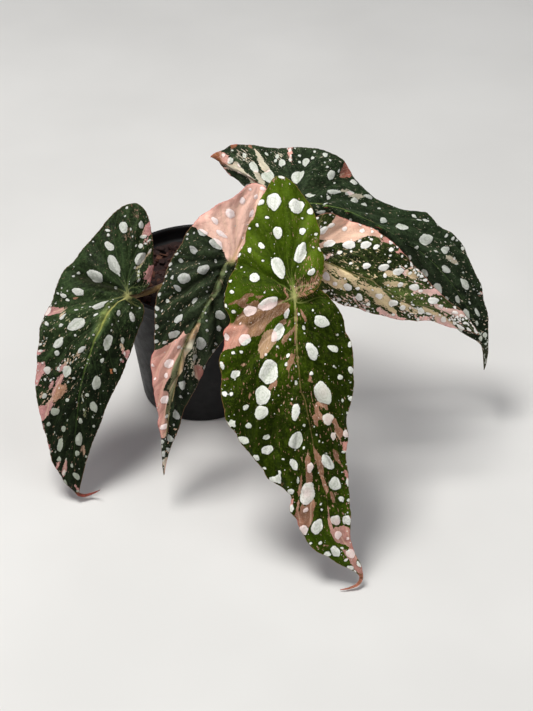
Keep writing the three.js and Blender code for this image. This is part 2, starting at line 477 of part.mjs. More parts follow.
// ---- nursery pot ----
const wallAt = (z) => BASE_R + ((WALL_TOP_R - BASE_R) * z) / (POT_HEIGHT - LIP_HEIGHT);
const V2 = (x, y) => new THREE.Vector2(x, y);
const lipBottom = POT_HEIGHT - LIP_HEIGHT;
const potProfile = [
  V2(0, 0),
  V2(BASE_R - 1.2, 0),
  V2(BASE_R, 1.2),
  V2(wallAt(28), 28),
  V2(wallAt(56), 56),
  V2(WALL_TOP_R, lipBottom),
  V2(RIM_R - 1.0, lipBottom + 0.2),
  V2(RIM_R - 0.7, POT_HEIGHT - 1.6),
  V2(RIM_R, POT_HEIGHT - 1.0),
  V2(RIM_R - 0.4, POT_HEIGHT),
  V2(RIM_R - 2.0, POT_HEIGHT),
  V2(RIM_R - 2.4, POT_HEIGHT - 1.0),
  V2(RIM_R - 2.5, lipBottom + 1.2),
  V2(WALL_TOP_R - WALL, lipBottom - 0.6),
  V2(wallAt(56) - WALL, 56),
  V2(wallAt(28) - WALL, 28),
  V2(BASE_R - WALL, FLOOR),
  V2(0, FLOOR),
];
let pot = solidOf(
  (() => {
    // turned about the axis, with one point where the profile meets it
    const sides = 48;
    const points = [];
    const faces = [];
    const ring = potProfile.slice(1, -1);
    points.push(new THREE.Vector3(0, 0, 0), new THREE.Vector3(0, 0, FLOOR));
    for (let k = 0; k < sides; k++) {
      const a = (2 * Math.PI * k) / sides;
      for (const p of ring)
        points.push(new THREE.Vector3(p.x * Math.cos(a), p.x * Math.sin(a), p.y));
    }
    const m = ring.length;
    for (let k = 0; k < sides; k++) {
      const a = 2 + k * m;
      const b = 2 + ((k + 1) % sides) * m;
      for (let i = 0; i < m - 1; i++)
        faces.push([a + i, b + i, b + i + 1], [a + i, b + i + 1, a + i + 1]);
      faces.push([0, b, a], [1, a + m - 1, b + m - 1]);
    }
    return closed(points, faces);
  })(),
);
for (let k = 0; k < HOLES; k++) {
  const a = (2 * Math.PI * (k + 0.5)) / HOLES;
  pot = pot.subtract(
    wasm.Manifold.cylinder(FLOOR + 4, HOLE_R, HOLE_R, 16).translate([
      HOLE_CIRCLE_R * Math.cos(a),
      HOLE_CIRCLE_R * Math.sin(a),
      -2,
    ]),
  );
}
add("nursery_pot", geometryFrom(pot), 0x17181a);

// ---- potting mix: fills the pot, with a lumpy top, and a socket where the cane stands ----
const lump = (x, y) =>
  SOIL_LUMP *
  (0.5 * Math.sin(0.31 * x + 1.3) * Math.cos(0.27 * y - 0.4) +
    0.3 * Math.sin(0.63 * x - 0.5 * y + 2.1) +
    0.2 * Math.cos(0.8 * y + 0.45 * x));
let mix = solidOf(
  (() => {
    const sides = 40;
    const inside = (z) => wallAt(z) - WALL - GAP;
    const side = [
      [inside(FLOOR) - 0.5, FLOOR + GAP],
      [inside(28), 28],
      [inside(56), 56],
      [inside(74) - 0.15, 74],
    ];
    const tops = [0.985, 0.86, 0.72, 0.56, 0.4, 0.24, 0.1];
    const points = [new THREE.Vector3(0, 0, FLOOR + GAP)];
    const rings = side.length + tops.length;
    for (let k = 0; k < sides; k++) {
      const a = (2 * Math.PI * k) / sides;
      const c = Math.cos(a);
      const s = Math.sin(a);
      for (const [r, z] of side) points.push(new THREE.Vector3(r * c, r * s, z));
      for (const f of tops) {
        const r = f * inside(76);
        points.push(
          new THREE.Vector3(
            r * c,
            r * s,
            SOIL_TOP - (f > 0.9 ? 1.6 : 0) + lump(r * c, r * s),
          ),
        );
      }
    }
    points.push(new THREE.Vector3(0, 0, SOIL_TOP + lump(0, 0)));
    const last = points.length - 1;
    const faces = [];
    for (let k = 0; k < sides; k++) {
      const a = 1 + k * rings;
      const b = 1 + ((k + 1) % sides) * rings;
      for (let i = 0; i < rings - 1; i++)
        faces.push([a + i, b + i, b + i + 1], [a + i, b + i + 1, a + i + 1]);
      faces.push([0, b, a], [last, a + rings - 1, b + rings - 1]);
    }
    return closed(points, faces);
  })(),
);

// ---- cane ----
const canePath = [];
const caneRadii = [];
CANE.forEach(([x, y, z, r], i) => {
  const swollen = NODE_ROWS.includes(i);
  if (i > 0) {
    const p = CANE[i - 1];
    for (const f of [0.2, 0.8]) {
      canePath.push([p[0] + f * (x - p[0]), p[1] + f * (y - p[1]), p[2] + f * (z - p[2])]);
      caneRadii.push(p[3] + f * (r - p[3]));
    }
  }
  canePath.push([x, y, z]);
  caneRadii.push(r + (swollen ? NODE_SWELL : 0));
});
add("cane", tube(canePath, caneRadii, 14), 0x6d6a3a);
mix = mix.subtract(
  solidOf(
    tube(
      canePath.slice(0, 5),
      caneRadii.slice(0, 5).map((r) => r + 0.45),
      14,
    ),
  ),
);
// the socket's floor: a little below the end of the cane
mix = mix.subtract(
  solidOf(
    tube(
      [
        [CANE[0][0], CANE[0][1], CANE[0][2] - 0.6],
        [CANE[0][0], CANE[0][1], CANE[0][2] + 1.5],
      ],
      [CANE[0][3] + 0.45, CANE[0][3] + 0.45],
      14,
    ),
  ),
);
add("potting_mix", geometryFrom(mix), 0x3b241c);

// ---- the growing tip above the last node ----
const tip = CANE[CANE.length - 1];
add(
  "shoot_tip",
  tube(
    [
      [tip[0] + 0.1, tip[1] - 0.12, tip[2] + 0.45],
      [tip[0] + 0.6, tip[1] - 0.7, tip[2] + 2.4],
      [tip[0] + 0.8, tip[1] - 0.2, tip[2] + 5.5],
      [tip[0] + 0.1, tip[1] + 1.5, tip[2] + 8.5],
      [tip[0] - 0.4, tip[1] + 2.4, tip[2] + 11.0],
    ],
    [2.4, 3.0, 2.5, 1.4, 0.35],
    10,
  ),
  0x7c5a44,
);

// ---- leaf stalks and blades ----
const COLOURS = { 1: 0x2f4a36, 2: 0x35503a, 3: 0x5a7a2c, 4: 0x2f463c, 5: 0x5c6c4c };
for (const [n, s] of Object.entries(STALKS))
  add("leaf_stalk_" + n, tube(s.path, s.radius, TUBE_SIDES), 0x7a6a45);
for (const [n, table] of Object.entries(BLADES))
  add("leaf_blade_" + n, blade(bladeRows(table)), COLOURS[n]);

export default root;
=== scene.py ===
"""A young polka dot begonia in a black nursery pot: the looks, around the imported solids.

Lengths in the tables are millimetres in the row's frame. A blade's surface is the one that its solid has:
rows from the basal lobe to the drip tip, each from the left margin over the midrib to the right margin.
Its markings are laid out on a flat chart, the plant seen from the front and above, in millimetres at the plant.
"""

import math

import bpy
import numpy as np
from mathutils import Matrix, Vector


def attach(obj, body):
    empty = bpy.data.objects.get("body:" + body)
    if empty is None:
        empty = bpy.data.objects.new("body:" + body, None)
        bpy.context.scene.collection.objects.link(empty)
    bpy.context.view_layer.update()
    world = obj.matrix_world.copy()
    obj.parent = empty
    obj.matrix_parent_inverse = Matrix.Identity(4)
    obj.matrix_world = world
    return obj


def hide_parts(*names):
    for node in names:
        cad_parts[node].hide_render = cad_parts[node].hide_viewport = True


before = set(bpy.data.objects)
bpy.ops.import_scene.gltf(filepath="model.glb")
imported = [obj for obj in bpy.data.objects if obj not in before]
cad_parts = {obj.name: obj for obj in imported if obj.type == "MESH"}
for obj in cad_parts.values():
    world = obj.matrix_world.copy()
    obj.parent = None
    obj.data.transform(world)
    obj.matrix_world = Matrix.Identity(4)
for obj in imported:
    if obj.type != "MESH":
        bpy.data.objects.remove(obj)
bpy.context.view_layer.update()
MM = 0.001

# ---------------------------------------------------------------------------------------------------
# tables
# ---------------------------------------------------------------------------------------------------
# (midrib x, y, z, left margin x, y, z, right margin x, y, z, bow of the left half, station: 1 is the stalk, 2 the end of the blade)
BLADES = {
    1: [
        (-35, -6.5, 136.6, -35.8, -6.5, 136.6, -34.1, -6.6, 136.5, 1.7, 0),
        (-35.1, -9, 135.5, -38.8, -7.1, 136.3, -31.8, -7.9, 135.5, 1.7, 0.043),
        (-35.3, -11.5, 134.3, -41.7, -8.1, 135.6, -29.8, -9.4, 134.1, 1.7, 0.087),
        (-35.5, -13.9, 133.1, -44.2, -9.3, 134.3, -28.4, -11.2, 132.4, 1.7, 0.13),
        (-35.8, -16.3, 131.9, -46.5, -10.8, 132.9, -27.4, -13.1, 130.5, 1.7, 0.174),
        (-36.2, -18.6, 130.7, -48.6, -12.4, 131.3, -26.6, -15.1, 128.6, 1.7, 0.217),
        (-36.7, -20.9, 129.5, -50.7, -14.1, 129.6, -26, -17.2, 126.7, 1.7, 0.261),
        (-37, -23.1, 128.2, -52.7, -15.8, 128, -25.5, -19.3, 124.8, 1.7, 0.304),
        (-37.4, -25.2, 126.9, -54.8, -17.4, 126.3, -25.1, -21.4, 123, 1.7, 0.348),
        (-37.6, -27.3, 125.5, -56.8, -19.1, 124.7, -24.7, -23.5, 121, 1.7, 0.391),
        (-37.8, -29.3, 124, -58.8, -20.7, 123, -24.2, -25.5, 119.1, 1.7, 0.435),
        (-38, -31.2, 122.6, -60.9, -22.2, 121.2, -24, -27.4, 117.1, 1.7, 0.478),
        (-38.1, -33, 121, -63, -23.6, 119.5, -23.8, -29.3, 115, 1.7, 0.522),
        (-38.2, -34.7, 119.4, -65.1, -25, 117.7, -23.7, -31.2, 112.9, 1.7, 0.565),
        (-38.3, -36.4, 117.8, -67, -26.4, 115.8, -23.8, -33, 110.9, 1.7, 0.609),
        (-38.4, -38.1, 116.1, -68.7, -27.9, 113.7, -24.2, -34.8, 108.8, 1.7, 0.652),
        (-38.5, -39.7, 114.5, -70.4, -29.4, 111.6, -24.8, -36.6, 106.8, 1.7, 0.696),
        (-38.6, -41.3, 112.8, -72.4, -30.8, 109.6, -25.3, -38.7, 104.9, 1.7, 0.739),
        (-38.6, -42.8, 111.1, -74.7, -31.9, 107.9, -25.9, -41.1, 103.3, 1.7, 0.783),
        (-38.6, -44.4, 109.4, -76.6, -33.2, 106, -27.5, -43.5, 102.3, 1.7, 0.826),
        (-38.6, -46.1, 107.7, -77.9, -34.9, 103.7, -29.5, -45.8, 101.8, 1.7, 0.87),
        (-38.5, -47.7, 106.1, -79, -36.6, 101.4, -31.7, -47.9, 101.4, 1.7, 0.913),
        (-38.2, -49.4, 104.5, -80.2, -38.5, 99.3, -34.2, -49.7, 102, 1.7, 0.957),
        (-37.9, -51.2, 103, -81.3, -40.6, 97.2, -36.9, -51, 102.4, 1.7, 1),
        (-39.7, -52.5, 101.7, -82.1, -42.3, 95.4, -34.4, -51.7, 101.7, 1.7, 1.021),
        (-42, -53.5, 101.2, -82.9, -44.1, 93.7, -32.1, -52.4, 100.7, 1.7, 1.043),
        (-44.2, -54.6, 100.6, -83.7, -46, 92.1, -30.2, -53.2, 99.2, 1.7, 1.064),
        (-46, -56.1, 99.5, -84.6, -47.9, 90.5, -29, -54.5, 97.3, 1.7, 1.085),
        (-47.6, -57.7, 98.3, -85.6, -49.8, 89, -28.8, -56, 95.2, 1.7, 1.106),
        (-49.1, -59.4, 96.9, -86.4, -51.7, 87.5, -29.1, -57.5, 93.1, 1.7, 1.128),
        (-50.3, -61.2, 95.5, -87.1, -53.7, 85.9, -29.6, -58.9, 91.1, 1.7, 1.149),
        (-51.4, -63, 94, -87.7, -55.7, 84.2, -30.6, -60.2, 89, 1.7, 1.17),
        (-52.3, -64.8, 92.4, -88.2, -57.7, 82.6, -31.6, -61.4, 87, 1.7, 1.191),
        (-53.1, -66.5, 90.7, -88.6, -59.5, 80.8, -32.9, -62.6, 85, 1.7, 1.213),
        (-54.2, -68.1, 89, -89, -61.4, 79, -34, -63.7, 83, 1.7, 1.234),
        (-55.4, -69.6, 87.3, -89.3, -63.1, 77.2, -34.9, -64.9, 80.8, 1.7, 1.255),
        (-56.5, -71, 85.5, -89.6, -64.8, 75.3, -35.7, -66.3, 78.7, 1.7, 1.277),
        (-57.3, -72.5, 83.7, -89.9, -66.4, 73.4, -36.4, -67.7, 76.7, 1.7, 1.298),
        (-58.1, -74, 81.8, -90.1, -68.1, 71.4, -37.2, -69.3, 74.8, 1.7, 1.319),
        (-58.8, -75.6, 79.9, -90.3, -69.8, 69.5, -38.2, -70.8, 72.9, 1.7, 1.34),
        (-59.6, -77, 78.1, -90.4, -71.5, 67.6, -39.1, -72.3, 71.1, 1.7, 1.362),
        (-60.4, -78.5, 76.2, -90.7, -73.2, 65.7, -39.9, -73.9, 69.2, 1.7, 1.383),
        (-61.2, -80, 74.3, -91, -74.9, 63.8, -40.7, -75.5, 67.3, 1.7, 1.404),
        (-61.9, -81.5, 72.4, -91.3, -76.6, 61.9, -41.6, -77, 65.4, 1.7, 1.426),
        (-62.6, -83, 70.4, -91.3, -78.3, 60, -42.6, -78.5, 63.5, 1.7, 1.447),
        (-63.3, -84.4, 68.5, -91.1, -79.9, 58.1, -43.8, -80, 61.8, 1.7, 1.468),
        (-63.8, -85.9, 66.5, -90.7, -81.6, 56.2, -45, -81.4, 60, 1.7, 1.489),
        (-64.3, -87.4, 64.5, -90.3, -83.3, 54.3, -46.2, -82.8, 58.2, 1.7, 1.511),
        (-64.7, -88.7, 62.4, -89.8, -84.8, 52.4, -47.4, -84.2, 56.4, 1.7, 1.532),
        (-65.1, -90.1, 60.2, -89.2, -86.3, 50.4, -48.6, -85.5, 54.5, 1.7, 1.553),
        (-65.4, -91.4, 58.1, -88.6, -87.8, 48.4, -49.8, -86.8, 52.5, 1.7, 1.574),
        (-65.7, -92.6, 55.8, -88.2, -89.2, 46.3, -50.8, -88.1, 50.5, 1.7, 1.596),
        (-65.9, -93.8, 53.5, -87.9, -90.6, 44.2, -51.7, -89.3, 48.4, 1.7, 1.617),
        (-66.2, -94.9, 51.2, -87.4, -91.9, 42.1, -52.5, -90.6, 46.2, 1.7, 1.638),
        (-66.5, -96, 48.9, -86.6, -93.2, 40, -53.3, -91.8, 44, 1.7, 1.66),
        (-66.9, -97.1, 46.5, -85.8, -94.4, 37.9, -54.1, -92.9, 41.8, 1.7, 1.681),
        (-67.2, -98.1, 44.1, -85, -95.6, 35.8, -55.1, -94, 39.6, 1.7, 1.702),
        (-67.5, -99.1, 41.7, -84.4, -96.8, 33.6, -56, -95.2, 37.4, 1.7, 1.723),
        (-67.8, -100.2, 39.3, -83.7, -98, 31.4, -57, -96.3, 35.2, 1.7, 1.745),
        (-68, -101.2, 36.9, -83.1, -99.2, 29.2, -58, -97.4, 33, 1.7, 1.766),
        (-68.2, -102.2, 34.4, -82.5, -100.4, 27.1, -59.1, -98.6, 30.9, 1.7, 1.787),
        (-68.4, -103.2, 32, -81.8, -101.7, 24.9, -60.2, -99.7, 28.8, 1.7, 1.809),
        (-68.5, -104.2, 29.5, -81.1, -102.8, 22.7, -61.1, -100.9, 26.6, 1.7, 1.83),
        (-68.6, -105.1, 26.9, -80, -103.8, 20.6, -62, -102, 24.3, 1.7, 1.851),
        (-68.6, -105.9, 24.3, -78.8, -104.7, 18.5, -62.7, -103.1, 22, 1.7, 1.872),
        (-68.5, -106.7, 21.6, -77.4, -105.6, 16.4, -63.4, -104.2, 19.6, 1.7, 1.894),
        (-68.4, -107.4, 18.9, -76.1, -106.3, 14.3, -64.1, -105.2, 17.2, 1.7, 1.915),
        (-68.4, -108.1, 16.2, -74.8, -107.1, 12.1, -64.7, -106.3, 14.7, 1.7, 1.936),
        (-68.2, -108.7, 13.4, -73.3, -107.7, 10, -65.3, -107.3, 12.2, 1.7, 1.957),
        (-68, -109.4, 10.6, -71.5, -108.2, 8.1, -65.9, -108.2, 9.7, 1.7, 1.979),
        (-67.7, -110, 7.8, -69.7, -108.6, 6.3, -66.4, -109.2, 7.2, 1.7, 2),
        (-67.1, -109.8, 5.4, -68.1, -111.5, 5.4, -66.2, -108, 5.4, 1.7, 2.125),
        (-65.6, -109.2, 4, -65.7, -111.4, 4, -65.4, -107.1, 4, 1.7, 2.25),
        (-63.8, -108.8, 3.4, -63.5, -110.7, 3.4, -64, -106.8, 3.4, 1.7, 2.375),
        (-62, -108, 3.2, -61.6, -109.6, 3.2, -62.4, -106.3, 3.2, 1.7, 2.5),
        (-60.2, -107.6, 3.6, -59.8, -108.9, 3.6, -60.6, -106.2, 3.6, 1.7, 2.625),
        (-58.4, -107.7, 4.5, -58, -108.7, 4.5, -58.7, -106.6, 4.5, 1.7, 2.75),
        (-56.5, -108.2, 5.9, -56.3, -108.9, 5.9, -56.8, -107.5, 5.9, 1.7, 2.875),
        (-54.6, -109.3, 8, -54.5, -109.6, 8, -54.8, -109, 8, 1.7, 3),
    ],
    2: [
        (37.4, -32.4, 164, 36.2, -32.2, 164.2, 38.5, -32.5, 163.8, 1.7, 0),
        (36.9, -34.1, 162.8, 33.9, -33.1, 165.4, 39.9, -33.5, 162.5, 1.7, 0.043),
        (36.5, -35.9, 161.6, 31.5, -34.5, 165.6, 41, -34.7, 161.1, 1.7, 0.087),
        (36, -37.6, 160.4, 29.4, -36.2, 165.3, 41.8, -35.9, 159.5, 1.7, 0.13),
        (35.4, -39.3, 159.2, 27.6, -38.1, 164.5, 42.4, -37.2, 157.9, 1.7, 0.174),
        (34.9, -41, 158, 25.8, -39.9, 163.6, 42.6, -38.6, 156.3, 1.7, 0.217),
        (34.3, -42.6, 156.8, 23.9, -41.5, 162.9, 42.5, -40, 154.6, 1.7, 0.261),
        (33.6, -44.2, 155.6, 22, -43, 162.1, 42.3, -41.5, 153.1, 1.7, 0.304),
        (33, -45.8, 154.4, 19.9, -44.3, 161.5, 42, -43.1, 151.5, 1.7, 0.348),
        (32.3, -47.3, 153.2, 17.6, -45.3, 161.1, 41.3, -44.6, 150.1, 1.7, 0.391),
        (31.6, -48.9, 152, 15.4, -46.2, 160.6, 40.4, -46.2, 148.8, 1.7, 0.435),
        (30.9, -50.3, 150.7, 13.2, -47.1, 159.9, 39.4, -47.7, 147.5, 1.7, 0.478),
        (30.2, -51.8, 149.5, 11.3, -48.1, 158.8, 38.4, -49.2, 146.2, 1.7, 0.522),
        (29.5, -53.3, 148.2, 9.4, -49, 157.6, 37.4, -50.7, 145, 1.7, 0.565),
        (28.8, -54.7, 147, 7.3, -49.7, 156.5, 36.2, -52.1, 143.7, 1.7, 0.609),
        (28, -56.1, 145.7, 5.3, -50.4, 155.4, 35.1, -53.5, 142.5, 1.7, 0.652),
        (27.3, -57.5, 144.5, 3.4, -51.1, 154.1, 33.8, -54.9, 141.3, 1.7, 0.696),
        (26.5, -58.9, 143.2, 1.8, -52, 152.5, 32.6, -56.2, 140.1, 1.7, 0.739),
        (25.8, -60.2, 142, 0.4, -52.9, 150.8, 31.3, -57.5, 138.9, 1.7, 0.783),
        (25, -61.6, 140.7, -1.3, -53.7, 149.1, 29.9, -58.9, 137.9, 1.7, 0.826),
        (24.2, -62.9, 139.4, -2.9, -54.4, 147.4, 28.5, -60.8, 137.2, 1.7, 0.87),
        (23.4, -64.2, 138.1, -4.2, -55, 145.4, 27.1, -62.8, 136.7, 1.7, 0.913),
        (22.6, -65.4, 136.8, -5.2, -55.7, 143.2, 25.4, -64.7, 136.3, 1.7, 0.957),
        (21.8, -66.7, 135.5, -6.1, -56.5, 141, 23.7, -66.2, 135.2, 1.7, 1),
        (19.3, -67.1, 135.1, -7.7, -57.4, 139.1, 26.3, -66.7, 134.4, 1.7, 1.021),
        (17.3, -68.1, 133.9, -9.2, -58.3, 137.1, 28.7, -67, 133.2, 1.7, 1.043),
        (16, -69.4, 132.2, -10.6, -59.3, 135, 30.5, -67.5, 131.1, 1.7, 1.064),
        (15.3, -70.9, 130.3, -12, -60.2, 132.9, 31.6, -68.1, 128.6, 1.7, 1.085),
        (14.7, -72.5, 128.3, -13.2, -61.3, 130.7, 32.3, -68.7, 125.9, 1.7, 1.106),
        (13.9, -74, 126.4, -14.2, -62.4, 128.5, 32.4, -69.4, 123.2, 1.7, 1.128),
        (13, -75.4, 124.6, -15.1, -63.6, 126.3, 32.3, -70.2, 120.5, 1.7, 1.149),
        (11.9, -76.8, 122.7, -15.8, -64.9, 124.1, 32, -71.2, 117.9, 1.7, 1.17),
        (10.8, -78.2, 120.9, -16.4, -66.4, 121.9, 31.6, -72.4, 115.5, 1.7, 1.191),
        (9.5, -79.6, 119.2, -17.4, -67.9, 120, 30.8, -73.9, 113.3, 1.7, 1.213),
        (8, -80.8, 117.6, -18.8, -69.2, 118.2, 29.9, -75.3, 111.2, 1.7, 1.234),
        (6.7, -82.1, 115.8, -19.8, -70.7, 116.2, 28.8, -76.7, 109.2, 1.7, 1.255),
        (5.6, -83.5, 114, -20.3, -72.3, 114.1, 27.5, -78, 107.2, 1.7, 1.277),
        (4.5, -84.9, 112.1, -20.6, -73.8, 112, 26.1, -79.3, 105.3, 1.7, 1.298),
        (3.3, -86.2, 110.3, -20.9, -75.4, 109.8, 24.6, -80.5, 103.4, 1.7, 1.319),
        (2.2, -87.4, 108.3, -21.1, -76.8, 107.6, 22.9, -81.6, 101.5, 1.7, 1.34),
        (1.1, -88.5, 106.4, -21.2, -78.2, 105.3, 21.2, -82.5, 99.6, 1.7, 1.362),
        (-0.3, -89.5, 104.4, -21.2, -79.4, 102.9, 19.4, -83.4, 97.7, 1.7, 1.383),
        (-1.7, -90.4, 102.4, -21.2, -80.7, 100.5, 17.6, -84.2, 95.8, 1.7, 1.404),
        (-2.9, -91.3, 100.3, -21.2, -81.8, 98.1, 15.8, -85, 93.8, 1.7, 1.426),
        (-4, -92.2, 98.1, -21.2, -83, 95.6, 14.1, -85.8, 91.8, 1.7, 1.447),
        (-4.9, -93.2, 95.9, -21, -84, 93.1, 12.5, -86.5, 89.7, 1.7, 1.468),
        (-5.7, -94.1, 93.5, -20.8, -85.1, 90.6, 10.8, -87.3, 87.6, 1.7, 1.489),
        (-6.3, -95, 91.1, -21.6, -86, 88.1, 9, -88, 85.5, 1.7, 1.511),
        (-6.8, -95.9, 88.7, -22.9, -86.9, 85.9, 7.3, -88.7, 83.4, 1.7, 1.532),
        (-7.4, -96.9, 86.2, -23.5, -88, 83.4, 5.9, -89.6, 81.1, 1.7, 1.553),
        (-7.9, -97.8, 83.8, -23.7, -89.1, 80.9, 4.9, -90.6, 78.8, 1.7, 1.574),
        (-8.5, -98.7, 81.4, -23.3, -90.2, 78.5, 4, -91.8, 76.4, 1.7, 1.596),
        (-9.1, -99.6, 79, -22.9, -91.4, 76, 2.9, -92.8, 74, 1.7, 1.617),
        (-9.8, -100.5, 76.5, -22.6, -92.5, 73.6, 1.7, -93.8, 71.7, 1.7, 1.638),
        (-10.4, -101.3, 74, -22.5, -93.6, 71, 0.4, -94.8, 69.4, 1.7, 1.66),
        (-11.1, -102.1, 71.4, -22.3, -94.7, 68.5, -0.9, -95.7, 67.1, 1.7, 1.681),
        (-11.7, -102.8, 68.8, -22.1, -95.8, 65.9, -2.2, -96.7, 64.7, 1.7, 1.702),
        (-12.2, -103.6, 66.2, -21.9, -96.8, 63.4, -3.4, -97.6, 62.3, 1.7, 1.723),
        (-12.8, -104.3, 63.6, -21.5, -97.8, 60.8, -4.5, -98.5, 59.9, 1.7, 1.745),
        (-13.4, -104.9, 60.9, -21.2, -98.9, 58.2, -5.6, -99.4, 57.4, 1.7, 1.766),
        (-13.9, -105.6, 58.2, -20.8, -99.8, 55.6, -6.6, -100.4, 54.9, 1.7, 1.787),
        (-14.4, -106.3, 55.5, -20.4, -100.8, 53, -7.5, -101.3, 52.3, 1.7, 1.809),
        (-14.8, -107, 52.8, -20.1, -101.9, 50.4, -8.3, -102.4, 49.8, 1.7, 1.83),
        (-15.2, -107.7, 50, -19.8, -103, 47.9, -9.1, -103.4, 47.3, 1.7, 1.851),
        (-15.5, -108.4, 47.3, -19.5, -104.1, 45.3, -10.1, -104.5, 44.8, 1.7, 1.872),
        (-15.9, -109, 44.5, -19.3, -105.2, 42.8, -11.2, -105.5, 42.4, 1.7, 1.894),
        (-16.2, -109.7, 41.7, -19.1, -106.4, 40.3, -12.3, -106.6, 40, 1.7, 1.915),
        (-16.5, -110.3, 38.9, -18.9, -107.6, 37.7, -13.2, -107.7, 37.6, 1.7, 1.936),
        (-16.8, -110.9, 36.1, -18.7, -108.7, 35.2, -14.2, -108.8, 35.1, 1.7, 1.957),
        (-16.9, -111.6, 33.2, -18.5, -109.9, 32.7, -15, -109.9, 32.6, 1.7, 1.979),
        (-17.1, -112.2, 30.3, -18.2, -111.1, 30.1, -15.8, -111.1, 30.1, 1.7, 2),
        (-17.2, -112.3, 28.7, -18.4, -112.3, 28.8, -16, -112.4, 28.7, 1.7, 2.2),
        (-17.3, -112.5, 27.1, -18.3, -112.5, 27.1, -16.3, -112.5, 27.1, 1.7, 2.4),
        (-17.3, -112.7, 25.5, -18.1, -112.7, 25.5, -16.6, -112.7, 25.5, 1.7, 2.6),
        (-17.4, -112.9, 23.9, -17.9, -112.9, 23.9, -16.8, -112.9, 23.9, 1.7, 2.8),
        (-17.4, -113.1, 22.3, -17.6, -113.1, 22.3, -17.2, -113.1, 22.3, 1.7, 3),
    ],
    3: [
        (47.4, -49.6, 179.3, 46.9, -49.6, 179.3, 48, -49.6, 179.3, 1.7, 0),
        (47.7, -51.7, 178, 44.7, -50.2, 178.8, 50.7, -50.1, 178.6, 1.7, 0.034),
        (48.1, -53.7, 176.6, 43.1, -51.3, 177.5, 53.1, -51, 177.5, 1.7, 0.069),
        (48.5, -55.8, 175.2, 41.8, -52.6, 176, 55.4, -52, 176.1, 1.7, 0.103),
        (49, -57.7, 173.8, 40.6, -53.9, 174.5, 57.3, -53.3, 174.5, 1.7, 0.138),
        (49.4, -59.7, 172.4, 39.2, -55.2, 173.1, 59, -54.8, 172.7, 1.7, 0.172),
        (49.7, -61.7, 171, 37.8, -56.5, 171.7, 60.7, -56.3, 170.9, 1.7, 0.207),
        (50, -63.6, 169.5, 36.7, -57.9, 170.1, 62.3, -58, 169.2, 1.7, 0.241),
        (50.2, -65.6, 168.1, 35.9, -59.4, 168.5, 63.9, -59.8, 167.6, 1.7, 0.276),
        (50.3, -67.4, 166.6, 35.3, -61, 166.8, 65, -61.9, 165.8, 1.7, 0.31),
        (50.5, -69.3, 165.1, 34.8, -62.6, 165.1, 65.9, -64, 163.9, 1.7, 0.345),
        (50.6, -71.2, 163.6, 34.3, -64.2, 163.4, 66.9, -66.1, 162.1, 1.7, 0.379),
        (50.6, -73, 162.1, 33.6, -65.7, 161.8, 67.8, -68.2, 160.3, 1.7, 0.414),
        (50.8, -74.8, 160.5, 31.9, -66.9, 160.6, 68.7, -70.3, 158.4, 1.7, 0.448),
        (50.9, -76.5, 159, 30.6, -68.3, 159.2, 68.8, -72.4, 156.4, 1.7, 0.483),
        (51, -78.2, 157.4, 29.8, -69.7, 157.5, 68.7, -74.5, 154.4, 1.7, 0.517),
        (51.1, -79.9, 155.8, 29.3, -71.2, 155.8, 68.8, -76.6, 152.4, 1.7, 0.552),
        (51.1, -81.5, 154.2, 29, -72.7, 154, 69.4, -78.6, 150.5, 1.7, 0.586),
        (51.2, -83.1, 152.5, 28.4, -74.1, 152.2, 70.6, -80.5, 148.7, 1.7, 0.621),
        (51.3, -84.7, 150.9, 27.4, -75.4, 150.6, 71, -82.5, 146.7, 1.7, 0.655),
        (51.5, -86.3, 149.3, 26.1, -76.6, 149, 70.9, -84.6, 144.7, 1.7, 0.69),
        (51.8, -87.8, 147.6, 25.2, -77.9, 147.3, 70.7, -86.8, 142.8, 1.7, 0.724),
        (52.2, -89.4, 146, 24.7, -79.3, 145.5, 70.1, -89.3, 141.1, 1.7, 0.759),
        (52.6, -90.9, 144.4, 24.1, -80.6, 143.6, 69.4, -92.1, 139.7, 1.7, 0.793),
        (53.3, -92.4, 142.8, 23.4, -81.9, 141.8, 68.5, -94.9, 138.3, 1.7, 0.828),
        (53.9, -93.9, 141.2, 22.5, -83.2, 140.1, 66.9, -97.3, 137.2, 1.7, 0.862),
        (54.5, -95.5, 139.7, 21.4, -84.4, 138.5, 64.6, -99.4, 136.5, 1.7, 0.897),
        (54.9, -97.1, 138.1, 20.5, -85.8, 136.9, 62.1, -101, 136.1, 1.7, 0.931),
        (55.3, -98.7, 136.5, 19.7, -87.4, 135.2, 59.4, -101.1, 135.5, 1.7, 0.966),
        (55.5, -100.4, 135, 19.2, -89, 133.6, 56.6, -100.2, 134.4, 1.7, 1),
        (55.6, -102, 133.1, 18, -90.9, 131.5, 58.8, -98.7, 135, 1.7, 1.016),
        (55.7, -103.7, 131.3, 17.8, -92.9, 129.3, 61.2, -97, 135.6, 1.7, 1.032),
        (55.8, -105.4, 129.5, 17.8, -95, 127.1, 63.8, -95.7, 135.6, 1.7, 1.048),
        (55.9, -107.1, 127.8, 18.5, -97.1, 125, 66.5, -95.2, 135.4, 1.7, 1.063),
        (56, -108.9, 126, 19.8, -99.1, 123.1, 69.2, -95.2, 135, 1.7, 1.079),
        (56.1, -110.6, 124.3, 20.9, -101.1, 121.1, 71.5, -95.8, 133.6, 1.7, 1.095),
        (56.2, -112.4, 122.5, 20.5, -103.2, 119.2, 73.5, -96.7, 132, 1.7, 1.111),
        (56.2, -114.1, 120.8, 18.5, -104.9, 117.7, 75.4, -97.8, 130.3, 1.7, 1.127),
        (56.3, -115.9, 119, 17.1, -106.8, 116, 77.3, -98.8, 128.7, 1.7, 1.143),
        (56.4, -117.6, 117.3, 17.7, -108.9, 113.9, 79.1, -100, 127, 1.7, 1.159),
        (56.5, -119.3, 115.5, 17.9, -110.9, 111.7, 80.5, -101.4, 125.1, 1.7, 1.175),
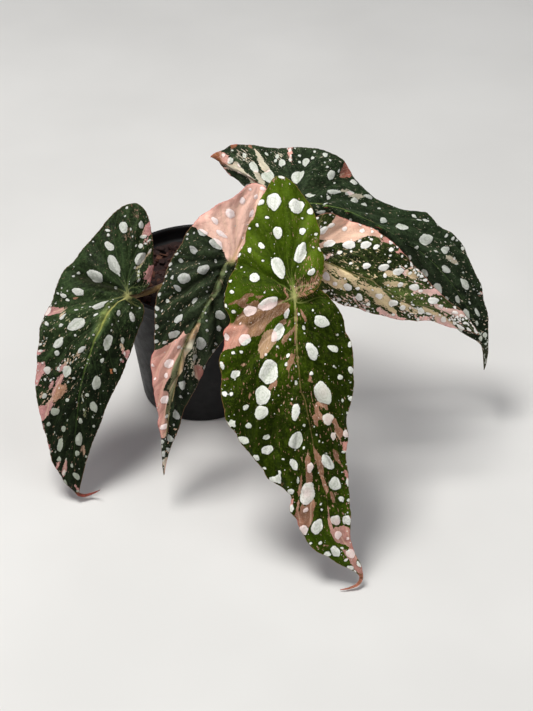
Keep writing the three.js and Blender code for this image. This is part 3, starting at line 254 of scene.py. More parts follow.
        (56.6, -121, 113.8, 17.2, -112.9, 109.6, 81.6, -103, 123.2, 1.7, 1.19),
        (56.8, -122.7, 112, 16, -114.7, 107.6, 82.2, -104.8, 121.2, 1.7, 1.206),
        (57, -124.3, 110.2, 15.3, -116.6, 105.4, 82.4, -106.6, 119.1, 1.7, 1.222),
        (57.3, -125.8, 108.3, 15.4, -118.5, 103.1, 82.9, -108.3, 117.1, 1.7, 1.238),
        (57.6, -127.4, 106.4, 15.9, -120.3, 100.8, 84.3, -109.8, 115.3, 1.7, 1.254),
        (57.8, -128.9, 104.5, 16.3, -122.1, 98.5, 85.4, -111.4, 113.3, 1.7, 1.27),
        (58, -130.4, 102.6, 16.2, -124, 96.1, 85.7, -113, 111.2, 1.7, 1.286),
        (58.2, -131.9, 100.7, 15.9, -125.8, 93.8, 86, -114.7, 109, 1.7, 1.302),
        (58.4, -133.4, 98.8, 16, -127.6, 91.4, 86.2, -116.4, 106.9, 1.7, 1.317),
        (59.1, -134.8, 97, 16.4, -129.4, 89.1, 86.5, -118, 104.8, 1.7, 1.333),
        (60.1, -136.2, 95.3, 17.1, -131.2, 86.8, 86.8, -119.7, 102.6, 1.7, 1.349),
        (60.9, -137.6, 93.5, 17.8, -132.9, 84.5, 86.9, -121.4, 100.4, 1.7, 1.365),
        (61.4, -139, 91.6, 18.1, -134.7, 82.2, 87, -123, 98.3, 1.7, 1.381),
        (61.8, -140.5, 89.7, 18.8, -136.5, 79.9, 87, -124.7, 96.1, 1.7, 1.397),
        (62.2, -141.9, 87.8, 20.3, -138.1, 77.8, 86.6, -126.3, 94, 1.7, 1.413),
        (62.7, -143.3, 85.9, 22.3, -139.3, 76.1, 86.3, -127.9, 91.8, 1.7, 1.429),
        (63.2, -144.8, 84, 24.2, -140.7, 74.3, 85.9, -129.6, 89.6, 1.7, 1.444),
        (63.7, -146.2, 82.1, 25.2, -142.4, 72, 85.5, -131.2, 87.5, 1.7, 1.46),
        (64.1, -147.6, 80.2, 26.7, -143.9, 70, 84.9, -132.8, 85.3, 1.7, 1.476),
        (64.5, -149, 78.3, 28.6, -145.3, 68.1, 83.8, -134.2, 83.3, 1.7, 1.492),
        (64.9, -150.4, 76.3, 30.6, -146.6, 66.3, 82.9, -135.7, 81.3, 1.7, 1.508),
        (65.4, -151.8, 74.4, 32.6, -147.8, 64.5, 82.9, -137.3, 79.1, 1.7, 1.524),
        (66, -153.1, 72.4, 34.6, -149.1, 62.7, 83.2, -138.8, 76.9, 1.7, 1.54),
        (66.6, -154.4, 70.4, 36.5, -150.4, 60.9, 84, -140.3, 74.7, 1.7, 1.556),
        (67.2, -155.6, 68.4, 38.3, -151.7, 58.9, 84, -141.9, 72.5, 1.7, 1.571),
        (67.8, -156.9, 66.4, 39.6, -153.2, 56.7, 83.8, -143.4, 70.2, 1.7, 1.587),
        (68.5, -158, 64.3, 41, -154.7, 54.5, 83.4, -144.9, 68, 1.7, 1.603),
        (69.2, -159.2, 62.3, 43.6, -155.5, 53.2, 83, -146.4, 65.7, 1.7, 1.619),
        (70.1, -160.3, 60.3, 46.2, -156.2, 52, 83, -147.9, 63.4, 1.7, 1.635),
        (70.8, -161.4, 58.2, 48.8, -157, 50.7, 83.5, -149.3, 61.2, 1.7, 1.651),
        (71.3, -162.6, 56, 51, -158, 49, 84, -150.8, 58.9, 1.7, 1.667),
        (71.7, -163.7, 53.9, 53.3, -159, 47.3, 84.6, -152.3, 56.6, 1.7, 1.683),
        (72.1, -164.9, 51.7, 53.8, -160.5, 45, 84.8, -153.7, 54.4, 1.7, 1.698),
        (72.7, -166, 49.5, 52.8, -162, 42.7, 84.9, -155.2, 52, 1.7, 1.714),
        (73.1, -167.1, 47.4, 52.6, -163.7, 40.2, 85, -156.7, 49.7, 1.7, 1.73),
        (73.4, -168.3, 45.2, 54.1, -165.1, 38, 85.1, -158.2, 47.4, 1.7, 1.746),
        (73.5, -169.4, 42.9, 56.1, -166.2, 36.1, 85.3, -159.7, 45.1, 1.7, 1.762),
        (73.6, -170.5, 40.6, 57, -167.7, 33.7, 85.4, -161.1, 42.7, 1.7, 1.778),
        (73.9, -171.5, 38.3, 57.9, -169.1, 31.2, 85.6, -162.5, 40.3, 1.7, 1.794),
        (74.2, -172.5, 36, 59.5, -170.4, 28.9, 85.7, -163.8, 37.9, 1.7, 1.81),
        (74.7, -173.4, 33.6, 61.2, -171.5, 26.6, 85.6, -165.2, 35.4, 1.7, 1.825),
        (75.4, -174.3, 31.3, 63, -172.6, 24.5, 85.5, -166.5, 33, 1.7, 1.841),
        (76.4, -175, 29, 65.1, -173.6, 22.5, 85.3, -167.8, 30.5, 1.7, 1.857),
        (78, -175.6, 26.9, 67.4, -174.5, 20.7, 85.1, -169.1, 28, 1.7, 1.873),
        (79.6, -176.1, 24.9, 70, -175, 19.2, 85.2, -170.4, 25.6, 1.7, 1.889),
        (81.2, -176.7, 22.8, 72.6, -175.6, 17.8, 86, -171.7, 23.2, 1.7, 1.905),
        (82.8, -177.2, 20.7, 75.2, -176.2, 16.3, 86.9, -172.9, 20.8, 1.7, 1.921),
        (84.5, -177.5, 18.6, 77.8, -176.8, 14.7, 88, -174, 18.5, 1.7, 1.937),
        (86.4, -177.8, 16.6, 80.4, -177.3, 13.1, 89.3, -175.1, 16.1, 1.7, 1.952),
        (88, -178.1, 14.4, 83.2, -177.6, 11.7, 90.8, -176.1, 13.8, 1.7, 1.968),
        (89.5, -178.5, 12, 85.9, -178, 10.2, 91.8, -177.1, 11.4, 1.7, 1.984),
        (90.6, -179, 9.4, 88.5, -178.4, 8.5, 92.3, -178.3, 8.8, 1.7, 2),
        (91.2, -178.6, 7.1, 89.3, -179.2, 7.1, 93.2, -178, 7.1, 1.7, 2.091),
        (91.4, -178.8, 5.2, 89.6, -178.5, 5.2, 93.2, -179.1, 5.2, 1.7, 2.182),
        (91, -179.7, 4, 89.5, -178.6, 4, 92.4, -180.7, 4, 1.7, 2.273),
        (90.1, -180.7, 3.2, 89, -179.3, 3.2, 91.1, -182.1, 3.2, 1.7, 2.364),
        (88.9, -181.6, 2.6, 88.2, -180, 2.6, 89.6, -183.2, 2.6, 1.7, 2.455),
        (87.5, -182.1, 2.2, 87.1, -180.6, 2.2, 87.9, -183.7, 2.2, 1.7, 2.545),
        (86, -182.5, 1.8, 85.8, -181.1, 1.8, 86.3, -183.9, 1.8, 1.7, 2.636),
        (84.5, -182.9, 1.5, 84.4, -181.7, 1.5, 84.7, -184, 1.5, 1.7, 2.727),
        (83, -183.3, 1.4, 82.9, -182.3, 1.4, 83.1, -184.2, 1.4, 1.7, 2.818),
        (81.5, -183.5, 1.3, 81.4, -182.9, 1.3, 81.5, -184.2, 1.3, 1.7, 2.909),
        (79.9, -183.7, 1.3, 79.9, -183.5, 1.3, 79.9, -184, 1.3, 1.7, 3),
    ],
    4: [
        (7.8, 18.8, 152.7, 7.8, 19.1, 153.1, 7.8, 18.5, 152.4, 1, 0),
        (9.7, 17.6, 152.7, 9.7, 20.2, 154.3, 9.8, 18.4, 151.8, 0.98, 0.034),
        (11.6, 16.2, 152.7, 11.9, 21, 155.1, 11.5, 17.8, 151, 0.95, 0.069),
        (13.5, 14.8, 152.7, 14.3, 21.5, 155.8, 12.8, 16.8, 149.7, 0.93, 0.103),
        (15.4, 13.3, 152.7, 16.4, 22.3, 157, 13.7, 15.6, 148.4, 0.91, 0.138),
        (17.2, 11.8, 152.6, 18.5, 23, 158.1, 15.2, 14.5, 147.4, 0.88, 0.172),
        (19, 10.1, 152.6, 20.9, 23.2, 158.7, 16.7, 13.3, 146.5, 0.86, 0.207),
        (20.8, 8.4, 152.5, 23.4, 23, 158.9, 17.8, 11.8, 145.4, 0.84, 0.241),
        (22.5, 6.6, 152.5, 25.9, 22.7, 158.9, 19.3, 10.3, 144.6, 0.82, 0.276),
        (24.3, 4.8, 152.5, 28.4, 22.2, 158.9, 21.1, 8.9, 144.3, 0.8, 0.31),
        (26, 2.9, 152.5, 30.9, 21.7, 158.9, 22.9, 7.4, 144, 0.78, 0.345),
        (27.7, 0.9, 152.5, 33.3, 21.1, 158.9, 24.6, 5.9, 143.7, 0.76, 0.379),
        (29.4, -1, 152.4, 35.8, 20.3, 158.8, 26.3, 4.2, 143.2, 0.74, 0.414),
        (31.1, -3.1, 152.4, 38.3, 19.6, 158.8, 27.7, 2.4, 142.7, 0.73, 0.448),
        (32.7, -5.1, 152.4, 40.7, 18.9, 158.9, 29.3, 0.6, 142.3, 0.71, 0.483),
        (34.4, -7.2, 152.4, 43.2, 18.3, 159.1, 31.1, -1.2, 142.1, 0.69, 0.517),
        (36.1, -9.4, 152.5, 45.7, 17.5, 159.4, 32.9, -3, 142.1, 0.67, 0.552),
        (37.7, -11.7, 152.7, 48.2, 16.6, 159.8, 34.7, -5, 142.3, 0.66, 0.586),
        (39.4, -14, 153, 50.7, 15.7, 160.3, 36.6, -7, 142.6, 0.64, 0.621),
        (41.1, -16.4, 153.3, 53.1, 14.7, 160.8, 38.4, -9.2, 142.9, 0.62, 0.655),
        (42.7, -18.9, 153.6, 55.6, 13.7, 161.5, 40.2, -11.5, 143.3, 0.6, 0.69),
        (44.4, -21.4, 153.9, 58, 12.7, 162.2, 42.1, -14, 143.9, 0.58, 0.724),
        (46, -23.8, 154.3, 60.5, 11.7, 162.8, 43.9, -17.1, 144.8, 0.57, 0.759),
        (47.6, -26.3, 154.6, 62.9, 10.7, 163.3, 45.7, -20.5, 145.9, 0.55, 0.793),
        (49.2, -28.9, 155, 65.4, 9.4, 163.8, 47.5, -24.4, 147.4, 0.54, 0.828),
        (50.9, -32, 155.7, 67.8, 7.6, 164.5, 49.3, -28.6, 149.1, 0.52, 0.862),
        (52.4, -35.1, 156.4, 70.1, 5.6, 165.1, 51.1, -32.8, 150.9, 0.51, 0.897),
        (54, -37.9, 157, 72.4, 3.7, 165.5, 52.9, -36.8, 152.6, 0.51, 0.931),
        (55.6, -40.1, 157.2, 74.7, 2.2, 165.3, 54.8, -40.1, 154.2, 0.5, 0.966),
        (57.2, -41.3, 156.8, 76.9, 1.4, 164.6, 56.7, -41.9, 154.3, 0.5, 1),
        (59.8, -40.9, 157.1, 79.6, 1.1, 163.4, 57.5, -43.1, 151.7, 0.5, 1.019),
        (62.4, -40.4, 157.1, 82.1, 0.8, 161.9, 58.6, -43.1, 149.1, 0.5, 1.038),
        (65, -40, 156.9, 84.5, 0.5, 160.1, 60, -42.4, 146.4, 0.5, 1.057),
        (67.6, -39.5, 156.4, 86.4, 0, 157.9, 61.6, -41.4, 143.6, 0.5, 1.075),
        (70.2, -38.9, 155.8, 87.9, -0.6, 155.3, 63.4, -40.4, 140.9, 0.5, 1.094),
        (72.8, -38.4, 155, 89.3, -1.2, 152.7, 65.2, -39.4, 138.4, 0.5, 1.113),
        (75.4, -38, 154.1, 91.1, -1.7, 150.3, 67.2, -38.1, 135.9, 0.5, 1.132),
        (78, -37.7, 153.2, 93, -2.1, 148, 69.3, -36.8, 133.3, 0.5, 1.151),
        (80.5, -37.3, 152.3, 95, -2.5, 145.8, 71.4, -35.3, 130.8, 0.5, 1.17),
        (83.1, -36.8, 151.3, 97.1, -2.9, 143.5, 73.6, -33.7, 128.3, 0.5, 1.189),
        (85.6, -36.4, 150, 99.2, -3.2, 141.3, 75.8, -32, 125.8, 0.5, 1.208),
        (88.1, -36, 148.6, 101.5, -3.4, 139.2, 78.2, -30.3, 123.3, 0.5, 1.226),
        (90.6, -35.6, 147.1, 104, -3.6, 137.5, 80.5, -28.7, 120.9, 0.5, 1.245),
        (93, -35.1, 145.6, 106.7, -3.7, 136.1, 82.8, -27.2, 118.6, 0.5, 1.264),
        (95.5, -34.7, 144, 109.5, -3.8, 134.8, 85.1, -25.9, 116.4, 0.5, 1.283),
        (97.9, -34.3, 142.4, 112.2, -4, 133.5, 87.4, -24.9, 114.4, 0.5, 1.302),
        (100.4, -33.8, 140.8, 114.9, -4.3, 132.3, 89.7, -24, 112.4, 0.51, 1.321),
        (102.8, -33.4, 139.1, 117.8, -4.4, 131.3, 92.1, -23, 110.5, 0.53, 1.34),
        (105.2, -33, 137.3, 120.7, -4.4, 130.6, 94.4, -22.1, 108.5, 0.55, 1.358),
        (107.6, -32.6, 135.5, 123.6, -4.2, 130.1, 96.8, -21.2, 106.5, 0.59, 1.377),
        (110, -32.1, 133.6, 126.6, -4, 129.7, 99.1, -20.3, 104.5, 0.64, 1.396),
        (112.3, -31.7, 131.7, 129.6, -3.7, 129.2, 101.5, -19.4, 102.5, 0.69, 1.415),
        (114.7, -31.2, 129.7, 132.6, -3.4, 128.7, 103.8, -18.5, 100.5, 0.74, 1.434),
        (117.1, -30.7, 127.7, 135, -3.9, 127, 106.2, -17.7, 98.5, 0.8, 1.453),
        (119.4, -30.3, 125.7, 137, -4.6, 124.9, 108.5, -17, 96.5, 0.86, 1.472),
        (121.8, -29.8, 123.7, 138.7, -5.4, 122.5, 110.8, -16.4, 94.6, 0.92, 1.491),
        (124.2, -29.3, 121.6, 140.9, -6, 120.4, 113.1, -15.8, 92.6, 0.97, 1.509),
        (126.5, -28.9, 119.5, 143.3, -6.4, 118.5, 115.4, -15.4, 90.8, 1.03, 1.528),
        (128.8, -28.5, 117.4, 145.9, -6.6, 116.8, 117.7, -15.2, 89, 1.08, 1.547),
        (131, -28.1, 115.1, 148.7, -6.6, 115.3, 120, -15.1, 87.3, 1.13, 1.566),
        (133.2, -27.8, 112.9, 151.2, -6.9, 113.5, 122.2, -15.2, 85.6, 1.17, 1.585),
        (135.4, -27.5, 110.5, 153.3, -7.5, 111.3, 124.4, -15.4, 84, 1.21, 1.604),
        (137.5, -27.3, 108.1, 154.8, -8.3, 108.7, 126.5, -15.7, 82.4, 1.24, 1.623),
        (139.5, -27, 105.6, 156.1, -9.1, 106, 128.6, -16, 80.7, 1.27, 1.642),
        (141.5, -26.7, 103, 157.3, -9.9, 103.2, 130.8, -16.3, 79.1, 1.3, 1.66),
        (143.4, -26.4, 100.3, 158.6, -10.6, 100.5, 132.8, -16.7, 77.4, 1.33, 1.679),
        (145.3, -26.2, 97.6, 159.9, -11.3, 97.7, 134.9, -17.1, 75.7, 1.36, 1.698),
        (147.2, -25.9, 94.9, 161.2, -12.1, 94.9, 136.9, -17.6, 74, 1.38, 1.717),
        (149.1, -25.7, 92.2, 162.6, -12.8, 92.1, 138.9, -18.1, 72.3, 1.41, 1.736),
        (151, -25.5, 89.4, 163.9, -13.6, 89.3, 140.9, -18.7, 70.5, 1.44, 1.755),
        (152.7, -25.4, 86.7, 165.2, -14.4, 86.6, 142.9, -19.2, 68.8, 1.47, 1.774),
        (154.4, -25.4, 83.9, 166.5, -15.2, 83.8, 144.9, -19.8, 67.1, 1.49, 1.792),
        (156.1, -25.5, 81.2, 167.4, -16.2, 81, 146.9, -20.4, 65.5, 1.52, 1.811),
        (157.6, -25.7, 78.4, 168.2, -17.4, 78.3, 148.8, -21.1, 63.9, 1.54, 1.83),
        (159.1, -26.1, 75.7, 169.1, -18.5, 75.6, 150.8, -22, 62.4, 1.56, 1.849),
        (160.5, -26.5, 73.1, 170.1, -19.8, 73, 152.8, -23, 61, 1.58, 1.868),
        (161.8, -27.1, 70.4, 170.9, -21.1, 70.3, 154.8, -23.9, 59.7, 1.6, 1.887),
        (163.1, -27.7, 67.7, 171.4, -22.5, 67.7, 156.9, -25, 58.5, 1.62, 1.906),
        (164.3, -28.3, 65, 171.7, -23.9, 65, 159, -26.1, 57.4, 1.64, 1.925),
        (165.5, -29, 62.4, 171.8, -25.4, 62.4, 161.1, -27.1, 56.4, 1.66, 1.943),
        (166.7, -29.7, 59.8, 171.9, -27, 59.8, 163.3, -28.2, 55.7, 1.67, 1.962),
        (167.9, -30.5, 57.2, 171.9, -28.6, 57.2, 165.4, -29.4, 54.8, 1.69, 1.981),
        (169.1, -31.4, 54.7, 171.9, -30.2, 54.7, 167.2, -30.9, 53.7, 1.7, 2),
        (169.9, -32.3, 52.3, 172.1, -32.1, 52.6, 167.6, -32.6, 52, 1.7, 2.167),
        (170.2, -33.3, 49.8, 172.1, -33.3, 49.9, 168.2, -33.3, 49.8, 1.7, 2.333),
        (170.1, -34.3, 47.3, 171.7, -34.3, 47.3, 168.5, -34.2, 47.4, 1.7, 2.5),
        (170, -35.3, 44.9, 171.3, -35.3, 44.8, 168.8, -35.2, 44.9, 1.7, 2.667),
        (169.9, -36.3, 42.4, 170.7, -36.3, 42.3, 169.1, -36.2, 42.4, 1.7, 2.833),
        (169.6, -37.2, 39.9, 169.8, -37.2, 39.9, 169.4, -37.2, 39.9, 1.7, 3),
    ],
    5: [
        (71.5, -52.2, 157.2, 72.9, -52, 157.4, 70.2, -52.4, 156.8, 1.7, 0),
        (71, -52.9, 155.9, 73.9, -51.7, 157.3, 68.6, -52.3, 155.8, 1.7, 0.067),
        (70.4, -53.7, 154.6, 74.8, -51.5, 157.2, 67, -52.3, 154.7, 1.7, 0.133),
        (69.8, -54.5, 153.3, 75.7, -51.2, 157.1, 65.6, -52.5, 153.6, 1.7, 0.2),
        (69.2, -55.2, 152, 76.7, -51.1, 156.7, 64.2, -52.8, 152.4, 1.7, 0.267),
        (68.5, -56, 150.7, 77.5, -51, 156.2, 62.8, -53.2, 151.2, 1.7, 0.333),
        (67.9, -56.7, 149.5, 78.3, -51, 155.7, 61.6, -53.9, 150, 1.7, 0.4),
        (67.2, -57.5, 148.2, 79.2, -50.9, 155.2, 60.4, -54.6, 148.9, 1.7, 0.467),
        (66.5, -58.2, 146.9, 80.1, -50.8, 154.7, 59.3, -55.4, 147.7, 1.7, 0.533),
        (65.8, -59, 145.7, 81, -50.6, 154.1, 58.2, -56.3, 146.6, 1.7, 0.6),
        (65.1, -59.7, 144.4, 81.8, -50.4, 153.6, 57.3, -57.3, 145.3, 1.7, 0.667),
        (64.3, -60.3, 143.2, 82.7, -50.1, 153, 56.7, -58.3, 143.9, 1.7, 0.733),
        (63.5, -61, 142, 83.6, -49.8, 152.4, 56.2, -59.4, 142.5, 1.7, 0.8),
        (62.7, -61.7, 140.8, 84.6, -49.2, 151.6, 56.1, -60.5, 141.1, 1.7, 0.867),
        (61.8, -62.5, 139.6, 85.5, -48.3, 150.7, 56.9, -61.6, 139.9, 1.7, 0.933),
        (60.9, -63.2, 138.5, 86.4, -47.6, 149.9, 58.2, -63, 138, 1.7, 1),
        (62.9, -63.8, 137.8, 88.3, -47.7, 149.2, 56.9, -64.6, 135.4, 1.7, 1.021),
        (65, -64.3, 137.2, 90.1, -47.9, 148.6, 56.6, -65.6, 133.3, 1.7, 1.043),
        (67, -65, 136.7, 91.9, -48.1, 148, 56.8, -66.4, 131, 1.7, 1.064),
        (69, -65.6, 136.3, 93.8, -48.3, 147.5, 57.2, -67.1, 128.7, 1.7, 1.085),
        (71.1, -66.2, 135.9, 95.6, -48.6, 146.9, 58.1, -67.7, 126.5, 1.7, 1.106),
        (73.1, -66.9, 135.4, 97.5, -48.9, 146.4, 59.5, -68.3, 124.5, 1.7, 1.128),
        (75.1, -67.6, 135, 99.3, -49.2, 145.8, 61, -69.1, 122.8, 1.7, 1.149),
        (77.1, -68.4, 134.5, 101, -49.8, 145.1, 62.6, -69.9, 121.3, 1.7, 1.17),
        (79.1, -69.2, 133.9, 102.6, -50.4, 144.2, 64.4, -70.5, 119.9, 1.7, 1.191),
        (81, -70, 133.3, 104.1, -51.1, 143.3, 66.3, -71.2, 118.5, 1.7, 1.213),
        (82.9, -70.8, 132.6, 105.7, -51.7, 142.4, 68.3, -71.8, 117.3, 1.7, 1.234),
        (84.8, -71.5, 131.9, 107.2, -52.4, 141.4, 70.4, -72.3, 116.2, 1.7, 1.255),
        (86.8, -72.1, 131.3, 108.8, -53.1, 140.5, 72.6, -72.6, 115.5, 1.7, 1.277),
        (88.8, -72.7, 130.6, 110.3, -53.8, 139.5, 74.8, -73, 114.8, 1.7, 1.298),
        (90.8, -73, 130, 111.7, -54.5, 138.5, 77.1, -73.4, 114.1, 1.7, 1.319),
        (92.9, -73.2, 129.4, 113.2, -55.1, 137.3, 79.3, -73.9, 113.2, 1.7, 1.34),
        (95.1, -73.2, 128.8, 114.6, -55.7, 136.1, 81.5, -74.2, 112.3, 1.7, 1.362),
        (97.1, -73.2, 128, 116, -56.2, 134.7, 83.8, -74.2, 111.4, 1.7, 1.383),
        (99.1, -73.3, 126.8, 117.4, -56.6, 133.4, 86.1, -74, 110.8, 1.7, 1.404),
        (100.7, -73.6, 125.2, 118.8, -56.9, 132, 88.5, -73.8, 110, 1.7, 1.426),
        (102.4, -73.8, 123.6, 120.2, -57.2, 130.5, 90.8, -73.6, 109, 1.7, 1.447),
        (104.2, -73.8, 122.2, 121.5, -57.5, 128.9, 93.1, -73.5, 107.9, 1.7, 1.468),
        (106.2, -73.7, 120.8, 122.8, -57.8, 127.3, 95.4, -73.2, 106.9, 1.7, 1.489),
        (108.1, -73.6, 119.3, 124.2, -57.9, 125.8, 97.8, -72.9, 105.9, 1.7, 1.511),
        (109.9, -73.5, 117.7, 125.7, -58.1, 124.3, 100.1, -72.5, 104.9, 1.7, 1.532),
        (111.6, -73.6, 115.9, 127, -58.3, 122.6, 102.5, -72.1, 103.9, 1.7, 1.553),
        (113.3, -73.6, 114.3, 128.2, -58.6, 120.9, 104.9, -71.8, 103, 1.7, 1.574),
        (115.4, -73.4, 113, 129.3, -58.9, 119.2, 107.3, -71.4, 102.1, 1.7, 1.596),
        (117.5, -73, 111.8, 130.4, -59.2, 117.4, 109.7, -70.9, 101.2, 1.7, 1.617),
        (119.7, -72.4, 110.7, 131.7, -59.4, 115.7, 112.2, -70.3, 100.4, 1.7, 1.638),
        (122, -71.6, 109.6, 133.3, -59.3, 114.1, 114.7, -69.6, 99.5, 1.7, 1.66),
        (124.3, -70.6, 108.7, 134.9, -59.1, 112.5, 117.2, -68.8, 98.8, 1.7, 1.681),
        (126.6, -69.5, 107.7, 136.4, -59, 110.7, 119.7, -67.9, 98, 1.7, 1.702),
        (128.9, -68.4, 106.8, 137.8, -58.9, 108.9, 122.2, -67, 97.3, 1.7, 1.723),
        (131.3, -67.3, 105.7, 139.3, -58.7, 107.1, 124.7, -66, 96.5, 1.7, 1.745),
        (133.6, -66.4, 104.4, 140.8, -58.5, 105.4, 127.2, -65.1, 95.7, 1.7, 1.766),
        (135.8, -65.6, 103, 142.5, -58.3, 103.8, 129.8, -64.3, 95, 1.7, 1.787),
        (138, -64.8, 101.6, 144.3, -58, 102.4, 132.3, -63.6, 94.2, 1.7, 1.809),
        (140.3, -64.1, 100.3, 146.1, -57.8, 101, 134.7, -63.2, 93.1, 1.7, 1.83),
        (142.6, -63.4, 99.1, 147.8, -57.8, 99.6, 137, -63.1, 91.8, 1.7, 1.851),
        (144.9, -62.7, 97.9, 149.4, -57.9, 98.1, 139.3, -63, 90.7, 1.7, 1.872),
        (147.1, -62.2, 96.6, 150.9, -58.1, 96.6, 141.7, -62.9, 89.6, 1.7, 1.894),
        (149.2, -61.8, 95.1, 152.3, -58.4, 94.9, 144.1, -62.7, 88.7, 1.7, 1.915),
        (151.2, -61.6, 93.5, 153.6, -58.7, 93.3, 146.6, -62.4, 88, 1.7, 1.936),
        (153, -61.6, 91.7, 154.9, -59.1, 91.7, 149.1, -62.2, 87.3, 1.7, 1.957),
        (154.7, -61.7, 89.7, 156.2, -59.6, 90.1, 151.5, -62.1, 86.5, 1.7, 1.979),
        (156.1, -61.9, 87.7, 157.4, -60, 88.5, 154, -62, 85.8, 1.7, 2),
        (156.9, -61.7, 86.7, 158.4, -60.7, 88.1, 155.4, -62.7, 85.4, 1.7, 2.167),
        (157.7, -61.5, 85.8, 159, -60.7, 87, 156.5, -62.4, 84.7, 1.7, 2.333),
        (158.6, -61.4, 84.9, 159.5, -60.6, 85.9, 157.6, -62.1, 84, 1.7, 2.5),
        (159.4, -61.2, 84.1, 160.1, -60.6, 84.8, 158.7, -61.7, 83.3, 1.7, 2.667),
        (160.3, -61, 83.2, 160.7, -60.6, 83.7, 159.8, -61.3, 82.7, 1.7, 2.833),
        (161.2, -60.8, 82.4, 161.3, -60.7, 82.5, 161, -60.8, 82.2, 1.7, 3),
    ],
}

